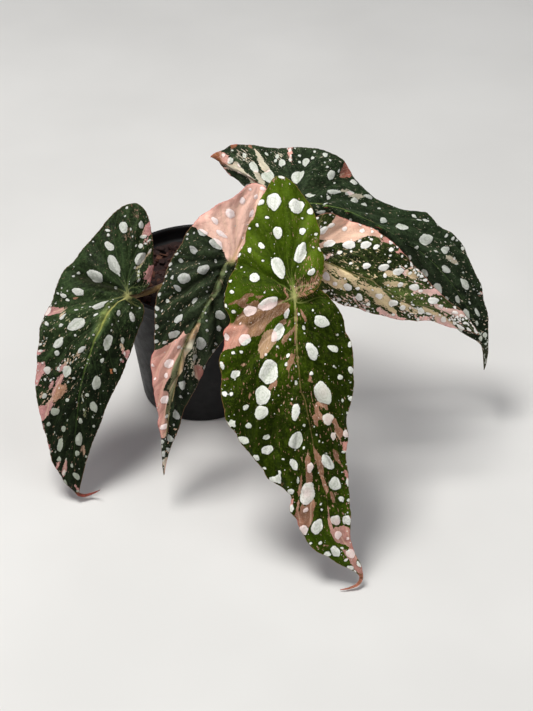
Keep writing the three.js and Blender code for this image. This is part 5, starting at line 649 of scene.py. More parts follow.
        (85.7, 47.1, 0.29, 0.33, 3), (89.1, 40, 0.28, 0.29, -24), (85, 42.6, 0.3, 0.32, 0), (82, 47.3, 0.67, 0.59, -3),
        (85.9, 45.4, 0.36, 0.38, 20), (77.4, 56.3, 0.39, 0.32, -27), (82.1, 52.6, 0.28, 0.31, -21), (76.7, 57.1, 0.36, 0.41, 0),
        (85.7, 48, 0.29, 0.29, 9), (84, 46.2, 0.28, 0.24, -18), (85.1, 46.2, 0.35, 0.33, 31), (81.2, 48.7, 0.31, 0.29, 8),
        (84.5, 49.4, 0.36, 0.32, -29), (41.9, 29.2, 0.38, 0.46, -20), (48, 28.7, 0.27, 0.34, 5), (57.9, 24.7, 0.24, 0.24, -8),
        (54.4, 26.5, 0.46, 0.51, 30), (52.7, 28.9, 0.48, 0.41, 0), (49, 30.9, 0.22, 0.21, -31), (57.9, 26.5, 0.27, 0.26, -4),
        (36.4, 36, 0.49, 0.49, -18), (37.7, 33.8, 0.46, 0.47, -31), (45.8, 30.7, 0.36, 0.31, 35), (46.1, 28.1, 0.41, 0.5, -32),
        (40.3, 33.8, 0.23, 0.24, 20), (32.2, 33, 0.39, 0.4, 28), (40, 32.6, 0.23, 0.25, -5), (34.8, 31.9, 0.28, 0.24, -38),
        (46.7, 30.2, 0.29, 0.32, -16), (34.4, 35.7, 0.34, 0.41, 17), (38.6, 29.8, 0.28, 0.29, -26), (53.8, 28.3, 0.47, 0.47, 17),
        (51.5, 27.9, 0.29, 0.36, -7), (59.5, 24.7, 0.38, 0.38, -11), (53.3, 29.7, 0.24, 0.23, -21), (58.9, 26.1, 0.22, 0.24, -7),
        (43.2, 31.8, 0.45, 0.4, 32), (56.6, 27.1, 0.29, 0.25, -38), (37, 32.4, 0.24, 0.19, -39), (83.8, 26.3, 0.35, 0.37, -20),
        (82.3, 23.2, 0.36, 0.31, -14), (77.7, 24.7, 0.28, 0.33, 26), (79.2, 21.6, 0.38, 0.42, 34), (78.4, 22.3, 0.45, 0.39, 29),
        (87.4, 23.3, 0.29, 0.24, -6), (80.9, 23.4, 0.33, 0.33, 8), (89.4, 20.2, 0.39, 0.31, 10), (79.5, 26, 0.53, 0.6, -25),
        (76.6, 23.2, 0.51, 0.54, -23), (86.3, 20.7, 0.28, 0.29, -35), (91.8, 20.4, 0.28, 0.29, 3), (82.3, 25.8, 0.41, 0.47, -39),
        (80.9, 25.9, 0.29, 0.27, 4), (86.8, 21.7, 0.35, 0.35, -6), (82.1, 21.2, 0.31, 0.31, -25), (83.3, 25.5, 0.28, 0.26, 34),
        (74.3, 28.2, 0.29, 0.3, -5), (80.6, 22.2, 0.3, 0.32, -1), (79.7, 23.4, 0.59, 0.55, -16), (26.1, 48.1, 2.76, 3.21, -16),
        (23.9, 69.3, 1.66, 1.77, -13), (31.2, 54.2, 1.66, 1.88, 8), (19.8, 53.8, 2.76, 3.52, -6), (25.8, 39.5, 2.21, 2.6, 0),
        (21.1, 64.4, 0.88, 1.04, -24), (26.4, 60.3, 0.88, 0.89, 7), (16.1, 61.4, 0.66, 0.68, 16), (19, 44.1, 0.66, 0.79, -22),
    ],
}

# variegated sectors on the chart: (tone, outline); tone 0 pink, 1 peach pink, 2 brown pink, 3 cream, 4 red brown, 5 dry tan
SECTORS = {
    1: [
        (23, 0.7, [(-64.7, 74.9), (-63.9, 71.6), (-63.4, 67.2), (-64.4, 66.1), (-66.1, 63.9), (-68, 62.2), (-67.7, 63.6), (-66.1, 65.5), (-67.5, 65.8), (-68.8, 66.4), (-67.7, 68.6), (-67.2, 71.1), (-65.8, 73.3)]),
        (20, 0.5, [(-64.1, 58.9), (-63.1, 59.4), (-63.9, 56.1), (-65.8, 53.4), (-67.5, 50.6), (-69.4, 48.4), (-71.6, 47.8), (-72.2, 49.2), (-69.4, 50.6), (-68, 53.4), (-66.1, 56.1)]),
        (20, 0.9, [(-71.1, 47.3), (-69.7, 46.7), (-69.9, 42.3), (-70.8, 40.1), (-71.3, 43.4)]),
        (23, 0.45, [(-65.2, 49.5), (-61.9, 50.3), (-62, 46.7), (-62.8, 41.7), (-64.4, 40.4), (-66.1, 41.7), (-68.8, 42.3), (-67.7, 44.5), (-66.4, 45.1), (-68, 45.9), (-66.4, 47.3)]),
        (23, 0.5, [(-122.5, 21.8), (-121.9, 23.5), (-120.3, 26.5), (-115.3, 26.5), (-112.2, 26), (-110.9, 26.3), (-113.1, 23.5), (-116.9, 23.5), (-119.7, 22.4)]),
        (3, 0.9, [(-113.1, 23.5), (-110.3, 25.7), (-110.9, 22.9), (-113.1, 19.6), (-115, 19.1), (-113.9, 21.3)]),
        (23, 0.5, [(-128, -4.7), (-126.9, -4.1), (-122.2, -3.3), (-122.8, -6.9), (-123.3, -9.1), (-125.7, -12.4), (-126.9, -16.9), (-128.6, -16.9)]),
        (23, 0.6, [(-127.5, 3), (-124.1, 3), (-125.2, 1.4), (-126.6, 0.3), (-127.5, 0.3)]),
        (3, 1.1, [(-126.3, 8), (-122.5, 8), (-122.5, 5.3), (-125.8, 4.7)]),
        (23, 0.7, [(-113.6, -9.7), (-112.2, -11.3), (-114.2, -15.2), (-113.6, -18), (-115.8, -22.4), (-118.1, -26.3), (-119.7, -29.6), (-121.1, -32.9), (-124.1, -36.8), (-125.2, -36.2), (-125.8, -31.8), (-126.3, -28.2), (-122.5, -27.9), (-119.7, -23.5), (-118.6, -19.6), (-116.7, -14.7), (-115, -11.9)]),
        (24, 0.8, [(-114.7, -16.9), (-111.7, -17.1), (-112.8, -21.6), (-116.7, -25.4), (-117.5, -23.5), (-115.6, -19.6)]),
        (23, 1.0, [(-112.5, -4.7), (-109.8, -1.9), (-108.7, -3.6), (-110.9, -6.4), (-113.1, -8), (-115.3, -9.7), (-114.7, -6.9)]),
        (23, 1.0, [(-119.7, -14.1), (-118.1, -13.5), (-117.5, -16.3), (-119.7, -19.6), (-120.8, -17.4)]),
        (3, 1.2, [(-124.7, -20.2), (-121.4, -20.2), (-120.8, -22.4), (-123.6, -25.2), (-125.2, -23.5)]),
        (3, 0.8, [(-81.2, 6.4), (-78.8, 6.9), (-78, 3.6), (-78.8, 1.7), (-81, 3)]),
        (23, 0.4, [(-80.2, 2.5), (-75.6, 3), (-77.1, -2.2), (-78.8, -0.8)]),
        (23, 0.7, [(-81, -1.9), (-79.3, -1.4), (-79.3, -3.6), (-80.7, -3.9)]),
        (5, 0.3, [(-86.2, -7.7), (-84.9, -7.9), (-84.8, -10.2), (-86, -10)]),
        (23, 0.4, [(-111.4, -56.4), (-110.5, -58.9), (-110.9, -62.2), (-112.2, -66.5), (-113, -65.5), (-112.4, -61.1)]),
        (23, 0.6, [(-116.1, -59.4), (-114.8, -59.4), (-115.8, -63.9), (-116.9, -63.9)]),
        (23, 0.5, [(-106.4, -71.1), (-105.3, -71.6), (-103.4, -74.9), (-104.5, -74.9)]),
        (25, 0.8, [(-101.5, -50), (-99.5, -51.1), (-99.3, -55), (-100.9, -55.6), (-102, -52.8)]),
        (19, 1.0, [(-102.3, -22.4), (-101.4, -23.5), (-100.9, -27.4), (-100.1, -31.8), (-100.6, -34), (-101.5, -30.7), (-102, -26.8)]),
        (23, 0.8, [(-124.7, -37.9), (-123, -37.3), (-122.5, -41.7), (-124.1, -41.7)]),
        (23, 0.9, [(-123, -50.6), (-120.8, -49.5), (-120.3, -55), (-121.9, -55.6)]),
        (25, 1.3, [(-74.9, 82.7), (-71.1, 82.1), (-68.8, 78.8), (-71.1, 74.9), (-73.8, 77.7)]),
        (25, 1.4, [(-79.9, 71.6), (-73.3, 69.4), (-74.4, 64.4), (-79.9, 65.5)]),
        (25, 1.3, [(-90.4, 71.6), (-86.5, 72.2), (-86, 68.8), (-87.6, 66.6), (-89.3, 68.8)]),
        (3, 1.2, [(-107.5, 0.8), (-103.1, 3.6), (-102, 1.9), (-106.4, -2.5), (-109.8, -5.8), (-110.9, -3.6)]),
        (24, 0.15, [(-107.3, 31.7), (-105.6, 32), (-104.3, 31.8), (-105.9, 31.3)]),
        (24, 0.6, [(-116.1, -18.5), (-114.5, -17.1), (-113.1, -18), (-110.6, -16.9), (-111.7, -19.4), (-114.2, -19.1)]),
    ],
    2: [
        (16, 0.28, [(-45.6, 72.7), (-40.3, 77.3), (-34.4, 83.5), (-28.3, 87.5), (-21.1, 91.1), (-13, 97), (-2.5, 98.1), (13, 94.3), (13, 77.7), (3, 63.9), (-9.1, 51.7), (-14.7, 51.7), (-16.8, 53.1), (-18.2, 51.4), (-20.7, 51.4), (-22.1, 53.1), (-22.8, 55.6), (-24.2, 59.4), (-27.1, 61.7), (-30.4, 65), (-33.5, 66.6), (-37.3, 69.5), (-40.4, 71.6)]),
        (6, 0.5, [(-22.4, 52.3), (-20.2, 51.7), (-22.1, 49.5), (-22.7, 45.6), (-24.1, 40.6), (-24.6, 36.2), (-26.8, 34.3), (-28.3, 31.8), (-30.9, 29.6), (-33.2, 27.4), (-34.8, 21.8), (-36.8, 16.3), (-39, 14.1), (-40.6, 15.2), (-36.5, 23.5), (-32.3, 31.2), (-29.4, 37.3), (-26.5, 43.4), (-24.4, 49.5)]),
        (31, 0.4, [(-63.3, 1.9), (-58.7, 3.8), (-53.6, 7.2), (-48.5, 10.6), (-46.9, 13.3), (-44.8, 11.6), (-42.9, 12.2), (-44.2, 6.4), (-46.7, 1.9), (-48.9, -3), (-51.1, -8.6), (-53.6, -12.4), (-56.1, -16.9), (-57.6, -19.3), (-55.9, -19.9), (-55, -23.5), (-56.5, -29), (-57.2, -34), (-57, -40.2), (-57.9, -45.6), (-60.5, -45.1), (-62.8, -31.1), (-64.4, -19.9), (-65.5, -4.6)]),
        (12, 0.5, [(-39.3, -6.4), (-35.9, -5.8), (-35.9, -10.2), (-37, -13.3), (-39, -11.9)]),
        (7, 0.35, [(-39, 17.4), (-36.5, 16.9), (-37.3, 13), (-39.3, 9.7), (-40.6, 5.3), (-42.6, 1.4), (-44.5, -3.6), (-46.7, -8.6), (-48.8, -13.5), (-50.5, -19.9), (-51.9, -27.4), (-52.8, -26.8), (-52.1, -20.2), (-51.1, -14.1), (-49.2, -6.9), (-47.3, -0.8), (-45.1, 5.8), (-42.9, 11.9)]),
        (19, 0.8, [(-44.5, 8.6), (-43.1, 10.8), (-44.5, 5.3), (-46.7, -0.3), (-48.7, -5.8), (-50.3, -11.9), (-51.4, -18), (-52.5, -25.7), (-53.1, -34.6), (-54.2, -43.4), (-56.1, -44.5), (-56.7, -37.9), (-55.8, -30.1), (-54.5, -23.5), (-55.6, -20.2), (-56.7, -18.8), (-53.4, -13), (-50.3, -4.7), (-47.3, 3)]),
        (15, 1.4, [(-41.2, 7.5), (-39, 4.7), (-37, -1.9), (-36.2, -9.7), (-37.9, -13), (-40.6, -11.3), (-44, -6.9), (-44.5, -13.5), (-45.6, -10.2), (-43.4, -2.5)]),
        (12, 0.5, [(-38.2, -6.9), (-35.9, -6.9), (-35.9, -10.2), (-36.9, -13), (-37.9, -10.8)]),
        (15, 0.8, [(-57.2, -57.8), (-55.6, -56.1), (-54.2, -58.3), (-54.7, -64.4), (-55.8, -66.1), (-57, -63.3)]),
    ],
    3: [
        (10, 0.35, [(-20.5, 27.7), (-18.5, 29.6), (-14.1, 31.2), (-10.8, 34), (-7.2, 33.8), (-6.5, 32.6), (-9.5, 32.6), (-9.8, 30.7), (-11.6, 27.9), (-9.1, 28.8), (-6.5, 30.5), (-4.7, 29.9), (-2.5, 27.9), (1.9, 29.6), (7.1, 30.7), (10.5, 31.2), (8, 29), (11.3, 29.9), (13.3, 27.9), (12.2, 24.8), (8.7, 22.7), (3.6, 20.2), (0.7, 16.8), (-1.4, 13), (-4.4, 10.7), (-8.2, 9.6), (-14.9, 5.4), (-20, 3.6), (-25.2, 1.9), (-26.3, 7.5), (-25.7, 14.1), (-22.1, 16.9), (-18.3, 18.5), (-17.3, 21), (-14.1, 23.5), (-12.4, 26.1), (-15.8, 28.2)]),
        (14, 0.35, [(-26.3, 1.9), (-26.3, 15.8), (-21.3, 17.4), (-15.8, 15.8), (-9.1, 16), (-2.5, 19.6), (3.6, 21), (0.7, 16.8), (-1.4, 13), (-4.4, 10.7), (-8.2, 9.6), (-14.9, 5.4), (-20, 3.3)]),
        (11, 0.5, [(-26.3, 1.9), (-26.3, 15.2), (-22.4, 16.3), (-16.9, 16.3), (-13, 16.3), (-10.8, 14.7), (-10.5, 11.9), (-11.3, 8.3), (-14.9, 5.4), (-20, 3.3)]),
        (14, 0.8, [(-5.8, 32.7), (-0.8, 33), (-0.3, 31.8), (-5.3, 31)]),
        (32, 0.35, [(-1.4, 12.7), (2.8, 14.7), (5.3, 13.5), (6.4, 10.2), (5.4, 7.1), (2.8, 4.1), (1.2, 2), (-0.6, 0.3), (-2.3, -1.6), (-3.5, -1), (-3.9, 1.1), (-5.4, 3), (-4.8, 5.8), (-3.1, 9.6)]),
        (14, 0.4, [(7.5, 19.3), (10.9, 20.7), (10, 18), (8.3, 17), (6.9, 17.4)]),
        (29, 0.35, [(15.5, 25.7), (16.8, 25.7), (17, 16.9), (16.6, 10.8), (16.2, 6.6), (15.3, 6.9), (15.6, 14.1)]),
        (14, 0.35, [(15.8, 16.9), (16.3, 15.2), (13, 10.8), (10.8, 8), (8.7, 6.4), (8.3, 7.5), (10.2, 10.8), (13, 13.5)]),
        (14, 0.5, [(13.5, 0.8), (15.9, 1.1), (15.9, -1.4), (14.7, -4.7), (13.3, -8.6), (12.4, -13.3), (11.7, -12.7), (11.9, -9.7), (10.8, -7.5), (11.6, -4.1), (13, -1.4)]),
        (29, 0.3, [(12.3, 19.6), (13.5, 19.6), (12.3, 16.3), (11.7, 16.3)]),
        (29, 0.3, [(18.2, 26.3), (19.4, 25.2), (21, 21.8), (22.4, 19.1), (21.6, 18.9), (19.6, 21.6)]),
        (29, 0.5, [(22.1, -8), (23.5, -8.6), (24.6, -12.4), (24.4, -14.7), (23.1, -14.1), (23.5, -11.3), (22.4, -9.7)]),
        (29, 0.4, [(-12.7, -3.9), (-12.2, -5.8), (-14.4, -6.1), (-14.9, -4.7)]),
        (29, 0.5, [(-26.3, -12.2), (-21.3, -12.1), (-21, -13.3), (-26.3, -13.5)]),
        (29, 1.0, [(0.8, -16.9), (4.7, -14.7), (5.8, -13.5), (5.8, -15.8), (3, -18.5), (0.8, -18.2)]),
        (29, 0.4, [(4.7, 1.4), (6.1, 1.4), (6.2, -0.8), (5, -0.8)]),
        (29, 0.4, [(24.3, -26.3), (25.7, -27.9), (28.5, -25.2), (33.3, -27.1), (34, -29.9), (32.9, -30.3), (32.1, -28.4), (29.2, -28.4), (30.4, -32.8), (30.5, -34.8), (28.5, -35.8), (28.5, -38.2), (29, -40.5), (27.1, -38.7), (25, -33.3), (26.5, -32.3), (26, -28.5)]),
        (29, 0.35, [(36.4, -34), (37.9, -35.1), (39.7, -39.2), (42.3, -41.7), (42.7, -44.2), (41, -46.7), (39.7, -44.2), (38.4, -43.2), (38.4, -40.2), (37, -36.8)]),
        (0, 0.35, [(42.9, -48.1), (45.1, -47.8), (44.8, -53.4), (43.1, -53.4)]),
        (29, 0.4, [(37, -51.8), (38.6, -52.9), (40.3, -57), (41.2, -60.5), (39, -58)]),
        (29, 0.3, [(25.4, -49.8), (27.2, -51.9), (29.8, -55.5), (31.2, -60.9), (31.9, -65.9), (34.8, -74.4), (33.5, -77.1), (31.6, -72.8), (29, -65.4), (27, -58), (25.9, -53)]),
        (29, 0.3, [(22.8, -51.7), (24.1, -56.5), (24.9, -67.8), (24.6, -70.9), (22, -70.9), (22.2, -64.9), (21.7, -58)]),
        (29, 0.35, [(19.3, -65), (19.4, -70.3), (18.7, -73.8), (17.5, -78.2), (17.7, -82.7), (17, -88.2), (15.5, -89.9), (15.8, -84.3), (16.6, -79.9), (17.3, -74.3), (18.2, -70.3)]),
        (29, 0.3, [(25.7, -79.9), (26.3, -82.7), (25.4, -88.2), (24.8, -91.5), (22.7, -95.9), (21.8, -94.8), (18.5, -95.9), (18, -100.4), (20.2, -102.6), (16.6, -95.4), (16.3, -89.3), (18.2, -85.4), (19.1, -81.6), (21.3, -83.2), (23.5, -81.6)]),
        (0, 0.4, [(13.8, -79.3), (15.2, -78.2), (16, -79.3), (14.1, -83.2), (13, -83.8), (11.9, -84.3)]),
        (0, 0.35, [(43.2, -63.3), (45.2, -63.9), (46.2, -68.8), (45.3, -70.5), (44, -66.6)]),
        (29, 0.7, [(35.1, -74.9), (36.8, -76.6), (37.9, -78.8), (39, -82.1), (37.3, -81.6), (35.7, -78.2)]),
        (0, 0.3, [(34, -83.8), (34.8, -87.6), (36.2, -91.2), (37.3, -95.9), (41.2, -95.1), (42.6, -94.3), (45.6, -95.4), (47, -98.1), (47.3, -104.8), (49.5, -108.7), (51.7, -113.1), (53.6, -118.6), (54.5, -122.5), (51.1, -120.3), (48.4, -117.5), (46.4, -113.9), (44, -111.1), (42.6, -108.4), (40.6, -105.3), (38.2, -102.3), (35.4, -98.4), (34.3, -93.2)]),
        (-1, 0.5, [(39.5, -103.7), (42.9, -104.2), (46.2, -106.2), (45.6, -108.1), (42.9, -107), (40.6, -105.9)]),
        (-1, 0.4, [(49.2, -107.5), (50.6, -109.2), (52.5, -115.8), (51.7, -118.1), (49.8, -114.7), (50.3, -112), (48.7, -109.2)]),
        (29, 1.4, [(14.1, 34.3), (13.3, 38.4), (16.9, 41.2), (21.8, 42.6), (27.4, 45.9), (31, 45.6), (29.6, 39.5), (26, 34.8), (21.8, 32.3), (16.9, 31.8)]),
        (29, 0.8, [(9.1, 37.3), (10.2, 39.3), (12.2, 34.6), (13, 31.2), (11.1, 31.8)]),
        (29, 1.1, [(11.9, 95.4), (14.1, 94.8), (14.7, 92.6), (13, 91.5)]),
        (29, 1.3, [(16.9, 78.2), (18.2, 77.1), (18, 72.7), (16.3, 71.6), (15.8, 74.9)]),
        (29, 1.3, [(24.6, 66.1), (29, 68.3), (29.6, 62.8), (28.5, 58.3), (25.7, 60)]),
        (29, 1.1, [(1.9, 97.6), (5.3, 98.1), (5.3, 95.4), (2.5, 94.3)]),
        (29, 1.2, [(30.7, -16.3), (32.3, -18), (30.7, -22.4), (35.1, -26.8), (32.9, -26.8), (28.5, -22.4)]),
    ],
    4: [
        (4, 0.55, [(43.4, 107), (45.1, 105.9), (47.8, 101.5), (46.4, 99), (43.4, 98.4), (41.2, 98.7), (41.7, 100.9)]),
        (15, 0.7, [(98.6, 54.8), (102.6, 54.3), (105.3, 52.8), (108, 51.1), (105.9, 50.2), (102.6, 51.5), (99.3, 52.9)]),
        (0, 0.4, [(116.9, 35.6), (119.3, 35.6), (120.3, 33.5), (118.1, 33.6)]),
        (18, 0.35, [(-32.3, 113.6), (-27.6, 113.6), (-25.2, 113.4), (-24.9, 109.6), (-23.4, 106.2), (-19.2, 106.2), (-16.7, 107.6), (-17.7, 105.5), (-20.7, 103.8), (-23.2, 104.2), (-25.6, 105.9), (-29.1, 108.1), (-32.3, 109.2)]),
        (18, 0.5, [(-20.2, 117.5), (-15.8, 117.8), (-16.9, 115.1), (-19.6, 114.8)]),
        (18, 0.5, [(-9.6, 117.5), (-8.2, 117.5), (-8.3, 114.5), (-9.3, 114.6)]),
        (0, 0.5, [(-24.6, 113.1), (-21.8, 110.9), (-19.9, 108.1), (-22.1, 106.6), (-24.4, 108)]),
        (15, 0.6, [(-23.5, 103.7), (-19.1, 105.4), (-16.3, 107.1), (-14.1, 104.8), (-11.9, 102.6), (-7.7, 98.7), (-5.8, 95.1), (-7.9, 94), (-10.8, 96.8), (-12.4, 98.6), (-16.6, 100.6), (-19.9, 102.1)]),
        (0, 0.5, [(-25.2, 104.8), (-24.1, 103.4), (-22.1, 100.9), (-17.7, 97.4), (-13.3, 95.1), (-10.8, 92.6), (-9.1, 90.4), (-10.5, 90.4), (-13.5, 93.2), (-18.5, 96.5), (-22.9, 99.8), (-25.2, 103.1)]),
        (15, 0.5, [(-6.4, 113.4), (-4.4, 112.2), (-2.8, 109.8), (-1.4, 107), (1.1, 104.5), (3, 101.5), (-0.3, 101.2), (-2.5, 103.7), (-4.4, 107.5), (-5.8, 110.9)]),
        (15, 0.7, [(-7.7, 102.6), (-5.3, 103.7), (-3.9, 101.2), (-2.5, 98.1), (-1.1, 94.8), (0.3, 92.1), (-2.5, 91.5), (-4.1, 95.4), (-6.1, 99.3)]),
        (0, 0.6, [(11.9, 115.3), (14.4, 115.3), (14.3, 111.4), (13.7, 106.4), (12.6, 106.4), (12.8, 110.3)]),
        (15, 1.2, [(-19.1, 113.6), (-11.9, 114.2), (-8, 109.8), (-10.2, 106.4), (-15.8, 108.1)]),
        (15, 1.2, [(0.8, 111.4), (6.9, 112.5), (9.7, 109.2), (7.5, 106.4)]),
        (15, 0.6, [(41.2, 91), (46.2, 90.7), (51.7, 89.3), (56.1, 87.1), (51.7, 87.1), (46.2, 88.7)]),
    ],
    5: [
        (21, 0.3, [(25.2, 65), (28.5, 66.1), (31.8, 69.4), (36.1, 73.6), (38.8, 77.7), (41.5, 77.7), (48.1, 74.4), (56.5, 72.4), (62.8, 69.1), (64.4, 65.8), (62.4, 65), (59.4, 66.3), (55.2, 66), (51.6, 64.5), (48.1, 62.5), (42, 62.5), (37.8, 62.2), (33.1, 61), (29.1, 59), (25.2, 58.3), (25.2, 61.9), (29.1, 62.2), (33.7, 63.9), (30.1, 64.1)]),
        (0, 0.4, [(64, 65.5), (66.6, 65.2), (69.1, 64), (70.8, 61.9), (67.2, 61.8), (65, 63.1)]),
        (0, 0.3, [(71.3, 57), (72.7, 58.3), (73.8, 59.7), (75.8, 58.1), (77, 56), (74.4, 56.7), (72.2, 56.4)]),
        (26, 0.7, [(30.1, 52.8), (32.9, 51), (36.2, 49.8), (40.1, 48.1), (44, 46.2), (47.8, 44), (51.7, 42.7), (54.5, 42.3), (50.6, 41.5), (46.2, 42.4), (42.3, 43.4), (39, 44.2), (36.2, 45.6), (33.5, 48.4), (30.7, 49.5)]),
        (-1, 1.0, [(35.7, 47.8), (38.4, 46.7), (39.5, 44.5), (36.8, 45.1)]),
        (26, 0.7, [(29, 49.5), (31.8, 48.4), (34.6, 45.6), (37.3, 43.4), (40.6, 42), (43.4, 42.6), (44.5, 40.1), (42.3, 38.2), (43.4, 36.5), (40.1, 37), (37.3, 37.9), (34.6, 39.5), (31.8, 41.2), (27.9, 42.3)]),
        (26, 0.95, [(47.3, 41.7), (49.5, 42.3), (51.7, 40.1), (53.9, 41.7), (56.1, 40.6), (58.3, 39.5), (60.5, 37.6), (62.8, 35.9), (66.1, 34), (68.3, 31.8), (69.7, 29.6), (67.7, 29), (68.8, 27.4), (71.1, 25.7), (72.4, 23.5), (73, 21.6), (70.5, 22.1), (68.3, 23.8), (66.6, 26), (63.3, 26.8), (61.1, 28.2), (58.9, 31.5), (56.1, 34), (52.8, 36.2), (50, 37.9), (47.8, 39.3)]),
        (-1, 1.1, [(48.4, 41.7), (50.6, 41.2), (52.3, 39.5), (50.6, 39), (48.4, 39.8)]),
        (27, 0.6, [(60.8, 26.4), (63.3, 25.7), (65.8, 23.9), (67.7, 22.8), (70.5, 22.7), (73.8, 21.8), (78.2, 21.1), (76, 20.2), (71.6, 20.7), (67.2, 21.6), (63.3, 22.7), (61.4, 24.3)]),
        (27, 0.7, [(48.4, 32.6), (49.8, 31.8), (50, 29.6), (48.9, 29.3), (48.1, 31)]),
        (27, 0.7, [(49.5, 27.3), (52.3, 26.7), (55, 25.4), (57.2, 24.3), (54.5, 24.6), (51.1, 25.7)]),
        (26, 0.6, [(74.1, 29), (77.1, 28.9), (79.3, 27.6), (81.6, 25.8), (83.8, 24.1), (81.8, 23.8), (79.9, 25.2), (78, 26), (76, 27.1), (74.1, 27.6)]),
        (26, 0.6, [(85.2, 27.6), (88.7, 26.5), (91.5, 25.2), (94.3, 23.8), (96.8, 22.2), (98.7, 20.5), (101.5, 18.5), (103.4, 16.6), (105.1, 14.9), (101.2, 15.2), (97.6, 16.6), (94.3, 18.1), (92.9, 20.2), (91.8, 21.8), (89.6, 23.5), (86.8, 24.9)]),
        (27, 0.5, [(94.8, 20.5), (96.5, 19.4), (99.3, 18), (102, 16.6), (105.3, 14.7), (101.5, 14.4), (97.6, 15.9), (94.6, 17.7)]),
        (27, 0.5, [(92.3, 28.6), (96.5, 27.5), (100.9, 25.9), (104.8, 25.5), (107.5, 24.7), (109.1, 22.9), (110, 21.4), (106.4, 21.3), (102.6, 22.8), (100.4, 23.4), (96.5, 24.8), (94, 25.8)]),
        (27, 0.45, [(79.9, 36.8), (83.2, 36.1), (87.6, 36.5), (92.1, 37.2), (94.6, 36.6), (96.8, 35.1), (97.3, 33.2), (94.3, 33.6), (92.6, 34.2), (91, 32.6), (89.3, 34.4), (84.9, 34.9), (81, 35.7)]),
        (27, 0.7, [(84, 22), (87.1, 22.4), (90.4, 21.3), (92.9, 21.8), (91.8, 19.7), (89.3, 19.2), (86, 19.6), (83.5, 20.2)]),
        (26, 0.8, [(65.2, 41.7), (68.3, 40.8), (71.6, 40.6), (73.8, 40.1), (78.5, 39.5), (76, 38.7), (71.6, 38.4), (68.3, 38.4), (66.1, 39.8)]),
        (26, 0.8, [(65.5, 45.6), (68, 46.8), (70.8, 46.8), (70.5, 45.1), (73.3, 43.4), (69.7, 44.3), (66.6, 44.5)]),
        (26, 0.9, [(50, 45.9), (53.4, 45.9), (55, 43.1), (52.3, 43.1)]),
        (27, 0.8, [(31, 53.9), (32.9, 55.7), (36.8, 56.8), (36.2, 55.3), (33.5, 54.2), (31.2, 52.8)]),
        (27, 0.8, [(75.5, 47), (78.2, 47.6), (79.3, 45.1), (77.1, 44)]),
        (26, 1.0, [(78.8, 46.2), (81.6, 46.4), (83.8, 44.5), (82.7, 42.6), (79.9, 43.4)]),
        (-1, 0.8, [(51.7, 41.2), (53.9, 40.4), (56.7, 37.9), (55, 37.6), (52.8, 39)]),
        (-1, 0.8, [(55, 42.3), (58.3, 41.2), (60.5, 39.5), (57.8, 40.1)]),
    ],
}

STALKS = {
    1: [(4.5, -12.3, 91.8, 2.9), (1.4, -15.4, 93.4, 2.4), (-1.9, -18.6, 94.6, 2.2), (-5.5, -21.6, 95.4, 2.1), (-9.3, -24.7, 95.9, 2), (-13.1, -27.7, 96.2, 1.9), (-17, -30.8, 96.4, 1.9), (-20.9, -33.8, 96.6, 1.9), (-24.7, -36.9, 96.9, 1.8), (-28.3, -40.1, 97.5, 1.8), (-31.8, -43.2, 98.3, 1.8), (-34.9, -46.5, 99.5, 1.6), (-37.7, -49.8, 101.3, 1.4)],
    2: [(13.1, -17.2, 102.7, 2.9), (13.1, -21.9, 103.5, 2.4), (13.4, -26.3, 104.9, 2.2), (14, -30.6, 106.8, 2.1), (14.8, -34.7, 109.1, 2), (15.7, -38.7, 111.8, 1.9), (16.7, -42.6, 114.8, 1.9), (17.8, -46.4, 117.9, 1.9), (18.8, -50.1, 121.2, 1.8), (19.8, -53.9, 124.5, 1.8), (20.7, -57.6, 127.8, 1.8), (21.4, -61.3, 131, 1.6), (21.9, -65.1, 134, 1.4)],
    3: [(20.5, -20.4, 114.6, 2.9), (23.2, -27.2, 114.2, 2.4), (26.2, -33.9, 114.3, 2.2), (29.4, -40.6, 114.8, 2.1), (32.7, -47.2, 115.7, 2), (36.1, -53.7, 116.9, 1.9), (39.5, -60.3, 118.5, 1.9), (42.9, -66.8, 120.4, 1.9), (46, -73.2, 122.5, 1.8), (49, -79.7, 125, 1.8), (51.6, -86.1, 127.6, 1.8), (53.9, -92.5, 130.4, 1.6), (55.8, -98.8, 133.4, 1.4)],
    4: [(32.2, -26.2, 138.9, 2.9), (34.6, -27.2, 138.3, 2.4), (37.1, -28.3, 138.2, 2.2), (39.5, -29.6, 138.4, 2.1), (42, -31, 139.1, 2), (44.4, -32.5, 140, 1.9), (46.7, -34, 141.2, 1.9), (48.9, -35.4, 142.7, 1.9), (51, -36.8, 144.5, 1.8), (52.8, -38, 146.4, 1.8), (54.4, -39.2, 148.5, 1.8), (55.8, -40.2, 150.8, 1.6), (56.8, -40.9, 153.1, 1.4)],
    5: [(26.9, -23.4, 126.3, 2.9), (29.8, -26.5, 125.8, 2.4), (32.8, -29.7, 125.7, 2.2), (35.8, -32.8, 125.9, 2.1), (38.9, -35.9, 126.5, 2), (42, -39, 127.2, 1.9), (45.1, -42.1, 128.2, 1.9), (48.1, -45.2, 129.4, 1.9), (51, -48.3, 130.8, 1.8), (53.7, -51.5, 132.3, 1.8), (56.3, -54.8, 133.8, 1.8), (58.6, -58.1, 135.5, 1.6), (60.7, -61.5, 137.1, 1.4)],
}

CANE = [(3.5, -3.5, 58, 5.2), (5.5, -5.5, 79, 4.9), (9.5, -8, 91, 4.6), (14, -11, 104, 4.4), (19, -15, 117, 4.1), (23.5, -19.5, 129, 3.8), (27.5, -24.5, 141, 3.4), (29.3, -26.6, 147.5, 2.9)]

